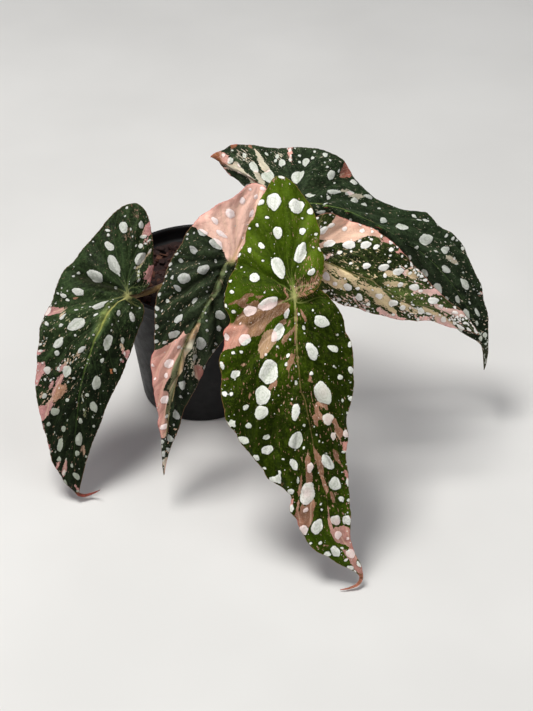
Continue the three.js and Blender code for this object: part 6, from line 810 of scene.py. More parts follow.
EYE = np.array([40.4, -849.28, 640.52])  # where the chart is seen from
ALONG = np.array([0.0, 0.80902, -0.58779])
UPWARD = np.array([0.0, 0.58779, 0.80902])
REACH = 940.0
BOW = 1.7
POT_H, RIM_R, LIP_H, WALL_TOP_R, BASE_R, WALL = 88.0, 50.0, 9.0, 46.5, 36.0, 1.4
SOIL_TOP = 78.6


def chart(p):
    """(..., 3) points to (..., 2) on the chart."""
    d = p - EYE
    z = d @ ALONG
    return np.stack([REACH * d[..., 0] / z, REACH * (d @ UPWARD) / z], -1)


# ---------------------------------------------------------------------------------------------------
# numbers: interpolation, noise, distances
# ---------------------------------------------------------------------------------------------------
def hermite(x, y, q):
    """Monotone-ish cubic through (x, y), y (n, k), at q."""
    x = np.asarray(x, float)
    y = np.asarray(y, float)
    h = np.diff(x)[:, None]
    s = np.diff(y, axis=0) / h
    m = np.zeros_like(y)
    m[1:-1] = (s[:-1] * h[1:] + s[1:] * h[:-1]) / (h[1:] + h[:-1])
    m[0], m[-1] = s[0], s[-1]
    i = np.clip(np.searchsorted(x, q, side="right") - 1, 0, len(x) - 2)
    t = ((q - x[i]) / h[i, 0])[:, None]
    hh = h[i]
    return (
        (2 * t**3 - 3 * t**2 + 1) * y[i]
        + (t**3 - 2 * t**2 + t) * hh * m[i]
        + (-2 * t**3 + 3 * t**2) * y[i + 1]
        + (t**3 - t**2) * hh * m[i + 1]
    )


def lattice(seed):
    return np.random.default_rng(seed).random((64, 64, 64))


_LAT = lattice(11)


def noise3(p, scale, seed=0):
    """Smooth value noise in -1..1 at points p (..., 3); scale is the size of a bump in the units of p."""
    q = np.asarray(p, float) / scale + np.array([17.3, 5.1, 29.7]) * (seed + 1)
    i = np.floor(q).astype(int)
    f = q - i
    f = f * f * (3 - 2 * f)
    out = 0.0
    for a in (0, 1):
        for b in (0, 1):
            for c in (0, 1):
                w = (
                    (f[..., 0] if a else 1 - f[..., 0])
                    * (f[..., 1] if b else 1 - f[..., 1])
                    * (f[..., 2] if c else 1 - f[..., 2])
                )
                out = out + w * _LAT[(i[..., 0] + a) % 64, (i[..., 1] + b) % 64, (i[..., 2] + c) % 64]
    return out * 2 - 1


def fbm(p, scale, seed=0, octaves=3):
    out, amp, total = 0.0, 1.0, 0.0
    for k in range(octaves):
        out = out + amp * noise3(p, scale / 2**k, seed + 7 * k)
        total += amp
        amp *= 0.5
    return out / total


def smooth(a, b, x):
    t = np.clip((x - a) / (b - a), 0, 1)
    return t * t * (3 - 2 * t)


def to_polyline(p, line):
    """Distance from points (n, d) to a polyline (m, d), and the share of the way along it."""
    best = np.full(len(p), 1e9)
    where = np.zeros(len(p))
    seg = len(line) - 1
    for k in range(seg):
        a, b = line[k], line[k + 1]
        ab = b - a
        t = np.clip(((p - a) @ ab) / max(ab @ ab, 1e-12), 0, 1)
        d = np.linalg.norm(p - (a + t[:, None] * ab), axis=1)
        near = d < best
        best[near] = d[near]
        where[near] = (k + t[near]) / seg
    return best, where


def in_polygon(p, poly):
    """Signed distance on the chart to a closed outline, negative inside."""
    poly = np.asarray(poly, float)
    d = np.full(len(p), 1e9)
    inside = np.zeros(len(p), bool)
    for k in range(len(poly)):
        a, b = poly[k], poly[(k + 1) % len(poly)]
        ab = b - a
        t = np.clip(((p - a) @ ab) / max(ab @ ab, 1e-12), 0, 1)
        d = np.minimum(d, np.linalg.norm(p - (a + t[:, None] * ab), axis=1))
        crosses = ((a[1] > p[:, 1]) != (b[1] > p[:, 1])) & (
            p[:, 0] < (b[0] - a[0]) * (p[:, 1] - a[1]) / ((b[1] - a[1]) or 1e-12) + a[0]
        )
        inside ^= crosses
    return np.where(inside, -d, d)


# ---------------------------------------------------------------------------------------------------
# meshes
# ---------------------------------------------------------------------------------------------------
def mesh_of(name, verts_mm, faces, attributes=None, colours=None, material_index=None, smooth_shade=True):
    me = bpy.data.meshes.new(name)
    v = np.asarray(verts_mm, np.float32) * MM
    me.vertices.add(len(v))
    me.vertices.foreach_set("co", v.ravel())
    if isinstance(faces, np.ndarray):
        k = faces.shape[1]
        me.loops.add(faces.size)
        me.loops.foreach_set("vertex_index", faces.astype(np.int32).ravel())
        me.polygons.add(len(faces))
        me.polygons.foreach_set("loop_start", np.arange(0, faces.size, k, dtype=np.int32))
        me.polygons.foreach_set("loop_total", np.full(len(faces), k, np.int32))
    else:
        flat = [i for f in faces for i in f]
        me.loops.add(len(flat))
        me.loops.foreach_set("vertex_index", np.array(flat, np.int32))
        me.polygons.add(len(faces))
        sizes = np.array([len(f) for f in faces], np.int32)
        me.polygons.foreach_set("loop_start", np.r_[0, np.cumsum(sizes)[:-1]].astype(np.int32))
        me.polygons.foreach_set("loop_total", sizes)
    if material_index is not None:
        me.polygons.foreach_set("material_index", np.asarray(material_index, np.int32))
    me.polygons.foreach_set("use_smooth", np.full(len(me.polygons), smooth_shade))
    for key, values in (attributes or {}).items():
        a = me.attributes.new(key, "FLOAT", "POINT")
        a.data.foreach_set("value", np.asarray(values, np.float32))
    for key, values in (colours or {}).items():
        a = me.attributes.new(key, "FLOAT_COLOR", "POINT")
        rgba = np.ones((len(values), 4), np.float32)
        rgba[:, :3] = values
        a.data.foreach_set("color", rgba.ravel())
    me.update(calc_edges=True)
    me.validate()
    ob = bpy.data.objects.new(name, me)
    bpy.context.scene.collection.objects.link(ob)
    return ob


def grid_faces(nr, nc, wrap=False):
    i = np.arange(nr - 1)[:, None]
    j = np.arange(nc if wrap else nc - 1)[None, :]
    a = i * nc + j
    b = i * nc + (j + 1) % nc
    return np.stack([a, b, b + nc, a + nc], -1).reshape(-1, 4)


def grid_normals(g):
    du = np.gradient(g, axis=0)
    dv = np.gradient(g, axis=1)
    n = np.cross(du, dv)
    return n / (np.linalg.norm(n, axis=2)[..., None] + 1e-9)


# ---------------------------------------------------------------------------------------------------
# shader helpers
# ---------------------------------------------------------------------------------------------------
class Nodes:
    def __init__(self, name):
        self.mat = bpy.data.materials.new(name)
        self.mat.use_nodes = True
        self.t = self.mat.node_tree
        self.t.nodes.clear()
        self.out = self.t.nodes.new("ShaderNodeOutputMaterial")
        self.coord = self.t.nodes.new("ShaderNodeTexCoord")

    def link(self, a, b):
        self.t.links.new(a, b)

    def put(self, socket, value):
        if isinstance(value, bpy.types.NodeSocket):
            self.link(value, socket)
        else:
            socket.default_value = value

    def attr(self, name, kind="Fac"):
        n = self.t.nodes.new("ShaderNodeAttribute")
        n.attribute_name = name
        return n.outputs[kind]

    def math(self, op, a, b=0.0, c=0.0, clamp=False):
        n = self.t.nodes.new("ShaderNodeMath")
        n.operation = op
        n.use_clamp = clamp
        self.put(n.inputs[0], a)
        self.put(n.inputs[1], b)
        self.put(n.inputs[2], c)
        return n.outputs[0]

    def ramp(self, value, lo, hi, a=0.0, b=1.0, kind="SMOOTHSTEP"):
        n = self.t.nodes.new("ShaderNodeMapRange")
        n.interpolation_type = kind
        n.clamp = True
        for k, v in enumerate((value, lo, hi, a, b)):
            self.put(n.inputs[k], v)
        return n.outputs[0]

    def noise(self, scale, detail=3.0, rough=0.55, vector=None, distortion=0.0):
        n = self.t.nodes.new("ShaderNodeTexNoise")
        n.inputs["Scale"].default_value = scale
        n.inputs["Detail"].default_value = detail
        n.inputs["Roughness"].default_value = rough
        n.inputs["Distortion"].default_value = distortion
        self.link(vector or self.coord.outputs["Object"], n.inputs["Vector"])
        return n.outputs["Fac"]

    def voronoi(self, scale, feature="F1", vector=None, out="Distance", randomness=1.0):
        n = self.t.nodes.new("ShaderNodeTexVoronoi")
        n.feature = feature
        n.inputs["Scale"].default_value = scale
        n.inputs["Randomness"].default_value = randomness
        self.link(vector or self.coord.outputs["Object"], n.inputs["Vector"])
        return n.outputs[out]

    def stretch(self, x, y, z, vector=None):
        n = self.t.nodes.new("ShaderNodeMapping")
        n.inputs["Scale"].default_value = (x, y, z)
        self.link(vector or self.coord.outputs["Object"], n.inputs["Vector"])
        return n.outputs["Vector"]

    def combine(self, x, y, z=0.0):
        n = self.t.nodes.new("ShaderNodeCombineXYZ")
        for k, v in enumerate((x, y, z)):
            self.put(n.inputs[k], v)
        return n.outputs[0]

    def mix(self, fac, a, b, blend="MIX"):
        n = self.t.nodes.new("ShaderNodeMix")
        n.data_type = "RGBA"
        n.blend_type = blend
        n.clamp_factor = True
        self.put(n.inputs[0], fac)
        self.put(n.inputs[6], a if isinstance(a, bpy.types.NodeSocket) else (*a, 1.0))
        self.put(n.inputs[7], b if isinstance(b, bpy.types.NodeSocket) else (*b, 1.0))
        return n.outputs[2]

    def bump(self, height, strength, distance, normal=None):
        n = self.t.nodes.new("ShaderNodeBump")
        n.inputs["Strength"].default_value = strength
        n.inputs["Distance"].default_value = distance
        self.link(height, n.inputs["Height"])
        if normal is not None:
            self.link(normal, n.inputs["Normal"])
        return n.outputs[0]

    def shader(self, colour, rough, normal=None, **constants):
        n = self.t.nodes.new("ShaderNodeBsdfPrincipled")
        self.put(n.inputs["Base Color"], colour if isinstance(colour, bpy.types.NodeSocket) else (*colour, 1.0))
        self.put(n.inputs["Roughness"], rough)
        if normal is not None:
            self.link(normal, n.inputs["Normal"])
        for key, value in constants.items():
            n.inputs[key.replace("_", " ")].default_value = value
        self.link(n.outputs[0], self.out.inputs["Surface"])
        return n


def lin(r, g, b):
    """sRGB 0..255 to linear."""
    return tuple((v / 255 / 12.92) if v / 255 <= 0.04045 else ((v / 255 + 0.055) / 1.055) ** 2.4 for v in (r, g, b))


TONES = {
    0: lin(218, 164, 150),
    1: lin(226, 182, 160),
    2: lin(168, 126, 100),
    3: lin(208, 186, 156),
    4: lin(154, 98, 82),
    5: lin(178, 108, 62),
    6: lin(98, 114, 76),
    7: lin(188, 158, 122),
    8: lin(240, 212, 172),
    9: lin(250, 210, 194),
    10: lin(124, 92, 62),
    11: lin(206, 150, 130),
    12: lin(197, 143, 129),
    13: lin(200, 150, 149),
    14: lin(146, 112, 82),
    15: lin(208, 202, 178),
    16: lin(252, 207, 188),
    17: lin(168, 138, 104),
    18: lin(142, 90, 50),
    19: lin(112, 118, 84),
    20: lin(146, 154, 112),
    21: lin(250, 208, 182),
    22: lin(172, 156, 128),
    23: lin(194, 146, 142),
    24: lin(172, 130, 102),
    25: lin(92, 78, 58),
    26: lin(236, 214, 168),
    27: lin(255, 216, 206),
    29: lin(158, 117, 92),
    30: lin(206, 172, 134),
    31: lin(224, 173, 158),
    32: lin(184, 152, 114),
}


def upper_material(name, dark, mid, light, spot_colour, rim_colour, rough, grain=0.4, smear=0.34, star_k=0.3, painted_sheen=None, gloss=0.06, blush=0.8, mottle=1.0, grit=1.0, valley_shade_k=0.42, net=1.0, flush=(lin(252, 226, 220), lin(232, 186, 186))):
    s = Nodes(name)
    rib = s.attr("rib")  # mm from the midrib
    vein = s.attr("vein")  # mm from the nearest side vein
    edge = s.attr("edge")  # mm from the margin
    spot = s.attr("spot")  # mm outside the nearest white spot
    varieg = s.attr("varieg")  # 0..1, inside a pale sector
    fleck = s.attr("fleck")  # 0..1, share of the leaf taken by pale flecks
    dust = s.attr("dust")  # 0..1, how many pinprick dots
    green_and_light = s.attr("green_and_light")  # -1..1, deeper or lighter green: partly the leaf's own tone, partly painted light and shade
    tone = s.attr("tone", "Color")
    ribtone = s.attr("ribtone", "Color")
    heart = s.attr("heart")  # mm from the top of the stalk
    fan_a = s.combine(s.attr("fan_ax"), s.attr("fan_ay"), 0.0)
    fan_b = s.combine(s.attr("fan_bx"), s.attr("fan_by"), 0.0)
    lobe = s.attr("lobe")
    shade = s.attr("shade")  # painted shade, 0..1, down in a crease

    def streaks(scale, detail, rough_):
        one = s.noise(scale, detail, rough_, fan_a)
        two = s.noise(scale, detail, rough_, fan_b)
        return s.math("ADD", s.math("MULTIPLY", one, s.math("SUBTRACT", 1.0, lobe)), s.math("MULTIPLY", two, lobe))

    # green: cloudy, streaked from the stalk, with a fine grain; painted light and shade over the leaf's own lighter and
    # deeper greens, a painted sheen, and painted shade in the vein valleys
    cloud = s.noise(60.0, 4.0, 0.6)
    mid_noise = s.noise(260.0, 4.0, 0.6)
    grains = s.noise(760.0, 2.0, 0.6)
    fine = s.noise(1300.0, 2.0, 0.7)
    broad = streaks(0.28, 3.0, 0.6)
    thin = streaks(0.9, 3.0, 0.65)
    green = s.mix(s.ramp(cloud, 0.36 - 0.2 * (1 - mottle), 0.66), dark, mid)
    deep = tuple(v * 0.40 for v in dark)
    green = s.mix(s.ramp(green_and_light, 0.0, -1.0), green, deep)
    green = s.mix(s.ramp(green_and_light, 0.0, 1.0), green, light)
    green = s.mix(s.ramp(broad, 0.48, 0.68, 0.0, 0.40 * mottle), green, light)
    # painted sheen: a yellow-green highlight where the green runs lightest
    if painted_sheen:
        green = s.mix(s.ramp(s.math("ADD", green_and_light, s.math("MULTIPLY", s.math("SUBTRACT", thin, 0.5), 1.6)), 0.9, 2.2), green, painted_sheen)
    green = s.mix(s.ramp(thin, 0.46, 0.30, 0.0, 0.55 * mottle), green, deep)
    green = s.mix(s.ramp(mid_noise, 0.46, 0.66, 0.0, 0.30 * mottle), green, light)
    green = s.mix(s.ramp(grains, 0.50, 0.34, 0.0, grain), green, deep)
    green = s.mix(s.ramp(grains, 0.52, 0.70, 0.0, grain), green, light)
    green = s.mix(s.ramp(fine, 0.55, 0.75, 0.0, 0.30), green, light)
    # painted shade in the sunken vein valleys, on the green here and on the pale sectors below
    valley_shade = s.ramp(vein, 3.2, 0.2)
    green = s.mix(s.math("MULTIPLY", valley_shade, valley_shade_k), green, deep)
    green = s.mix(s.ramp(green_and_light, -0.5, -1.9, 0.0, 0.6), green, deep)
    green = s.mix(s.math("MULTIPLY", s.ramp(vein, 0.55, 0.15), s.attr("veintint")), green, light)

    # pale sectors with ragged, streaky sides
    coarse = s.noise(170.0, 3.0, 0.6)
    n = s.math("ADD", s.math("MULTIPLY", thin, 0.50), s.math("MULTIPLY", grains, 0.32))
    n = s.math("ADD", n, s.math("MULTIPLY", coarse, 0.18))
    n = s.ramp(n, 0.36, 0.64, 0.0, 1.0, "LINEAR")
    sector = s.ramp(s.math("SUBTRACT", varieg, n), -0.04, 0.05)
    # pale flecks, narrow and aligned with the veins
    f = s.math("ADD", s.math("MULTIPLY", streaks(0.95, 2.0, 0.65), 0.70), s.math("MULTIPLY", s.noise(620.0, 2.0, 0.6), 0.30))
    f = s.ramp(f, 0.36, 0.64, 0.0, 1.0, "LINEAR")
    flecks = s.ramp(s.math("SUBTRACT", fleck, f), -0.05, 0.05)
    take = s.math("MAXIMUM", sector, flecks)
    tone_v = s.mix(s.ramp(broad, 0.42, 0.62, 0.0, smear), tone, s.mix(0.72, tone, (0.10, 0.045, 0.025)))
    tone_v = s.mix(s.ramp(thin, 0.50, 0.70, 0.0, smear), tone_v, (0.86, 0.62, 0.50))
    tone_v = s.mix(s.ramp(grains, 0.48, 0.32, 0.0, 0.30 * grit), tone_v, s.mix(0.55, tone_v, (0.30, 0.11, 0.07)))
    tone_v = s.mix(s.ramp(fine, 0.54, 0.74, 0.0, 0.30 * grit), tone_v, (0.93, 0.70, 0.62))
    tone_v = s.mix(s.math("MULTIPLY", s.ramp(vein, 0.7, 0.1), 0.40), tone_v, (0.90, 0.64, 0.46))
    # painted shade in the vein valleys over the pale sectors
    tone_v = s.mix(s.math("MULTIPLY", valley_shade, 0.22), tone_v, s.mix(0.6, tone_v, (0.20, 0.08, 0.05)))
    pits = s.ramp(s.voronoi(620.0), 0.17, 0.05)
    tone_v = s.mix(s.math("MULTIPLY", pits, s.ramp(coarse, 0.48, 0.60, 0.0, 0.7)), tone_v, (0.20, 0.06, 0.045))
    colour = s.mix(take, green, tone_v)

    # midrib, and the paler star of veins where the stalk joins
    wide = s.attr("ribwide")
    jitter = s.math("MULTIPLY", s.math("SUBTRACT", grains, 0.5), 0.8)
    line = s.math("MULTIPLY", s.ramp(s.math("ADD", rib, jitter), wide, s.math("MULTIPLY", wide, 0.35)), s.attr("ribtint"))
    colour = s.mix(line, colour, ribtone)
    rays = s.math("MULTIPLY", s.ramp(vein, 0.45, 0.12), s.ramp(heart, 18.0, 2.0, 0.0, star_k))
    colour = s.mix(rays, colour, ribtone)
    star = s.ramp(s.math("ADD", heart, s.math("MULTIPLY", s.math("SUBTRACT", thin, 0.5), 9.0)), 3.4, 0.8, 0.0, 0.75)
    colour = s.mix(star, colour, ribtone)

    # pinprick dots, each cell of the pattern with its own size
    for scale, size, gate in ((300.0, 0.20, 1.0), (560.0, 0.24, 0.7)):
        v = s.t.nodes.new("ShaderNodeTexVoronoi")
        v.inputs["Scale"].default_value = scale
        s.link(s.coord.outputs["Object"], v.inputs["Vector"])
        rgb = s.t.nodes.new("ShaderNodeSeparateColor")
        s.link(v.outputs["Color"], rgb.inputs[0])
        radius = s.math("ADD", s.math("MULTIPLY", rgb.outputs[1], size * 0.6), size * 0.45)
        dist = s.math("ADD", v.outputs["Distance"], s.math("MULTIPLY", s.math("SUBTRACT", fine, 0.5), 0.10))
        keep = s.math("LESS_THAN", rgb.outputs[0], s.math("MULTIPLY", dust, gate))
        dot = s.math("MULTIPLY", s.ramp(dist, radius, s.math("MULTIPLY", radius, 0.6)), keep)
        colour = s.mix(s.math("MULTIPLY", dot, 0.85), colour, spot_colour)

    # white spots with a fine grey-green net, darker where they meet the green
    wob = s.math("MULTIPLY", s.math("SUBTRACT", grains, 0.5), 0.9)
    sd = s.math("ADD", spot, wob)
    ring = s.math("MULTIPLY", s.ramp(sd, 1.0, 0.2), s.ramp(sd, -0.1, 0.15))
    colour = s.mix(s.math("MULTIPLY", ring, s.ramp(take, 0.0, 1.0, 0.45, 0.15)), colour, deep)
    white = s.ramp(sd, 0.16, -0.10)
    pale = s.math("MAXIMUM", s.ramp(s.math("ADD", varieg, s.math("MULTIPLY", coarse, 0.3)), 0.75, 1.1), s.attr("rosy"))
    grey = tuple(v * k for v, k in zip(spot_colour, (0.50, 0.55, 0.45)))
    inner = s.mix(s.ramp(s.noise(640.0, 3.0, 0.7), 0.50, 0.66, 0.0, 0.50 * net), spot_colour, grey)
    # broken rings that follow the outline of the spot
    ring_at = s.math("ADD", s.math("MULTIPLY", spot, 4.6), s.math("MULTIPLY", s.noise(420.0, 3.0, 0.6), 9.0))
    rings = s.ramp(s.math("SINE", ring_at), 0.45, 0.95, 0.0, 0.45 * net)
    inner = s.mix(s.math("MULTIPLY", rings, s.ramp(spot, -0.4, -1.2)), inner, grey)
    inner = s.mix(s.ramp(spot, -1.6, -0.3, 0.14 * net, 0.0), inner, grey)
    # side veins across a spot: the vein's own line, greyed further as painted crease shade
    inner = s.mix(s.math("MULTIPLY", s.ramp(vein, 0.9, 0.1), 0.45 * net), inner, grey)
    # painted shade: the spots go grey where the green is deepest
    inner = s.mix(s.ramp(green_and_light, -0.3, -2.6, 0.0, 0.75), inner, grey)
    rosy = s.mix(s.ramp(fine, 0.40, 0.70, 0.0, 0.5), *flush)
    inner = s.mix(s.math("MULTIPLY", pale, blush), inner, rosy)
    colour = s.mix(white, colour, inner)

    # thin coloured rim
    rim = s.ramp(s.math("ADD", edge, s.math("MULTIPLY", grains, 0.5)), 0.72, 0.40)
    rim_red = s.mix(s.ramp(varieg, 0.5, 0.9), rim_colour, lin(196, 92, 86))
    colour = s.mix(s.math("MULTIPLY", rim, 0.72), colour, rim_red)
    colour = s.mix(s.attr("tail"), colour, s.mix(s.ramp(fine, 0.4, 0.7), ribtone, tuple(v * 0.6 for v in rim_colour)))

    # painted shade down in the creases
    colour = s.mix(shade, colour, s.mix(0.72, colour, (0.012, 0.010, 0.004)))

    # skin: beaded cells, raised spots
    beads = s.voronoi(2300.0, "SMOOTH_F1")
    h = s.math("ADD", s.math("MULTIPLY", beads, 0.5), s.math("MULTIPLY", fine, 0.5))
    net_h = s.ramp(s.voronoi(330.0, "DISTANCE_TO_EDGE"), 0.0, 0.14)
    b1 = s.bump(h, 0.35, 0.00022)
    b2 = s.bump(net_h, 0.35, 0.00032, b1)
    b3 = s.bump(white, 0.40, 0.00026, b2)
    b4 = s.bump(thin, 0.30, 0.0007, b3)
    r = s.ramp(s.math("ADD", s.math("MULTIPLY", cloud, 0.6), s.math("MULTIPLY", fine, 0.4)), 0.3, 0.7, rough - 0.05, rough + 0.10)
    s.shader(colour, r, b4, Specular_IOR_Level=gloss)
    return s.mat


def under_material(name):
    s = Nodes(name)
    vein, rib, edge = s.attr("vein"), s.attr("rib"), s.attr("edge")
    cloud = s.noise(60.0, 4.0, 0.6)
    fine = s.noise(800.0, 3.0, 0.65)
    colour = s.mix(s.ramp(cloud, 0.35, 0.68), lin(88, 24, 34), lin(122, 38, 46))
    colour = s.mix(s.ramp(fine, 0.35, 0.75, 0.0, 0.4), colour, lin(140, 58, 56))
    colour = s.mix(s.ramp(vein, 1.1, 0.2, 0.0, 0.6), colour, lin(168, 78, 70))
    colour = s.mix(s.ramp(rib, 1.6, 0.5, 0.0, 0.75), colour, lin(176, 104, 78))
    colour = s.mix(s.ramp(s.attr("spot"), 0.3, -0.3, 0.0, 0.22), colour, lin(190, 120, 118))
    net = s.ramp(s.voronoi(330.0, "DISTANCE_TO_EDGE"), 0.10, 0.0)
    colour = s.mix(s.math("MULTIPLY", net, 0.25), colour, lin(160, 70, 64))
    b = s.bump(net, 0.35, 0.0003)
    b = s.bump(fine, 0.2, 0.0002, b)
    s.shader(colour, s.ramp(cloud, 0.3, 0.7, 0.42, 0.55), b, Specular_IOR_Level=0.4)
    return s.mat


# ---------------------------------------------------------------------------------------------------
# leaf blades
# ---------------------------------------------------------------------------------------------------
RIB = {  # along the midrib: (station, strength, half width, colour)
    1: [(0, 0, 0.5, (80, 100, 56)), (0.8, 0.1, 0.6, (90, 110, 60)), (0.97, 0.5, 0.9, (150, 150, 96)), (1.02, 0.95, 1.3, (168, 164, 104)), (1.18, 0.9, 1.0, (158, 160, 84)), (1.32, 0.6, 0.8, (112, 132, 62)), (1.5, 0.38, 0.7, (78, 104, 50)), (1.8, 0.22, 0.6, (70, 92, 48)), (2, 0.1, 0.5, (110, 80, 60)), (2.1, 0, 0.4, (150, 72, 66)), (3, 0, 0.4, (150, 72, 66))],
    2: [(0, 0.2, 0.8, (230, 196, 160)), (0.6, 0.5, 1.2, (228, 186, 150)), (0.95, 0.8, 1.6, (218, 180, 136)), (1.0, 0.9, 1.4, (170, 160, 104)), (1.05, 0.5, 0.7, (112, 126, 76)), (1.3, 0.4, 0.6, (110, 122, 74)), (1.42, 0.8, 0.7, (176, 162, 108)), (1.6, 0.9, 0.6, (168, 152, 96)), (1.75, 0.8, 0.5, (150, 138, 88)), (1.9, 0.4, 0.5, (140, 140, 100)), (2, 0.2, 0.5, (200, 200, 180)), (3, 0.3, 0.5, (190, 186, 170))],
    3: [(0, 0, 0.5, (110, 130, 50)), (0.6, 0.08, 0.6, (110, 132, 50)), (0.9, 0.35, 0.7, (118, 140, 60)), (1.0, 1.0, 1.2, (170, 170, 108)), (1.06, 0.9, 0.85, (146, 150, 86)), (1.25, 0.62, 0.6, (128, 116, 66)), (1.5, 0.34, 0.5, (120, 98, 62)), (1.8, 0.24, 0.45, (120, 92, 62)), (2, 0.2, 0.5, (168, 112, 92)), (2.1, 0.2, 0.5, (190, 124, 106)), (3, 0.2, 0.5, (184, 110, 94))],
    4: [(0, 0.1, 0.5, (90, 110, 66)), (0.9, 0.4, 0.6, (92, 112, 64)), (1.0, 0.9, 1.2, (116, 138, 74)), (1.3, 1.0, 1.2, (106, 132, 66)), (1.6, 0.8, 0.8, (88, 112, 62)), (2, 0.1, 0.4, (56, 70, 46)), (2.1, 0, 0.4, (40, 50, 38)), (3, 0, 0.4, (40, 50, 38))],
    5: [(0, 0.2, 0.6, (164, 146, 100)), (1.0, 0.85, 0.8, (160, 150, 96)), (1.3, 0.65, 0.6, (166, 150, 100)), (1.7, 0.45, 0.5, (184, 162, 122)), (2, 0.2, 0.4, (214, 206, 190)), (3, 0, 0.4, (214, 206, 190))],
}
SLIM = {1: 0.40, 2: 0.15, 3: 0.45, 4: 0.15, 5: 0.15}
TAIL = {1: 1.0, 2: 0.0, 3: 1.0, 4: 0.5, 5: 0.0}
PILLOW = {1: 2.0, 2: 3.5, 3: 2.2, 4: 1.9, 5: 1.2}
LOBE_PILLOW = {1: 1.0, 2: 0.4, 3: 1.0, 4: 1.0, 5: 0.7}  # the same, over the lobe above the stalk
VEINTINT = {1: 0.40, 2: 0.12, 3: 0.25, 4: 0.25, 5: 0.20}
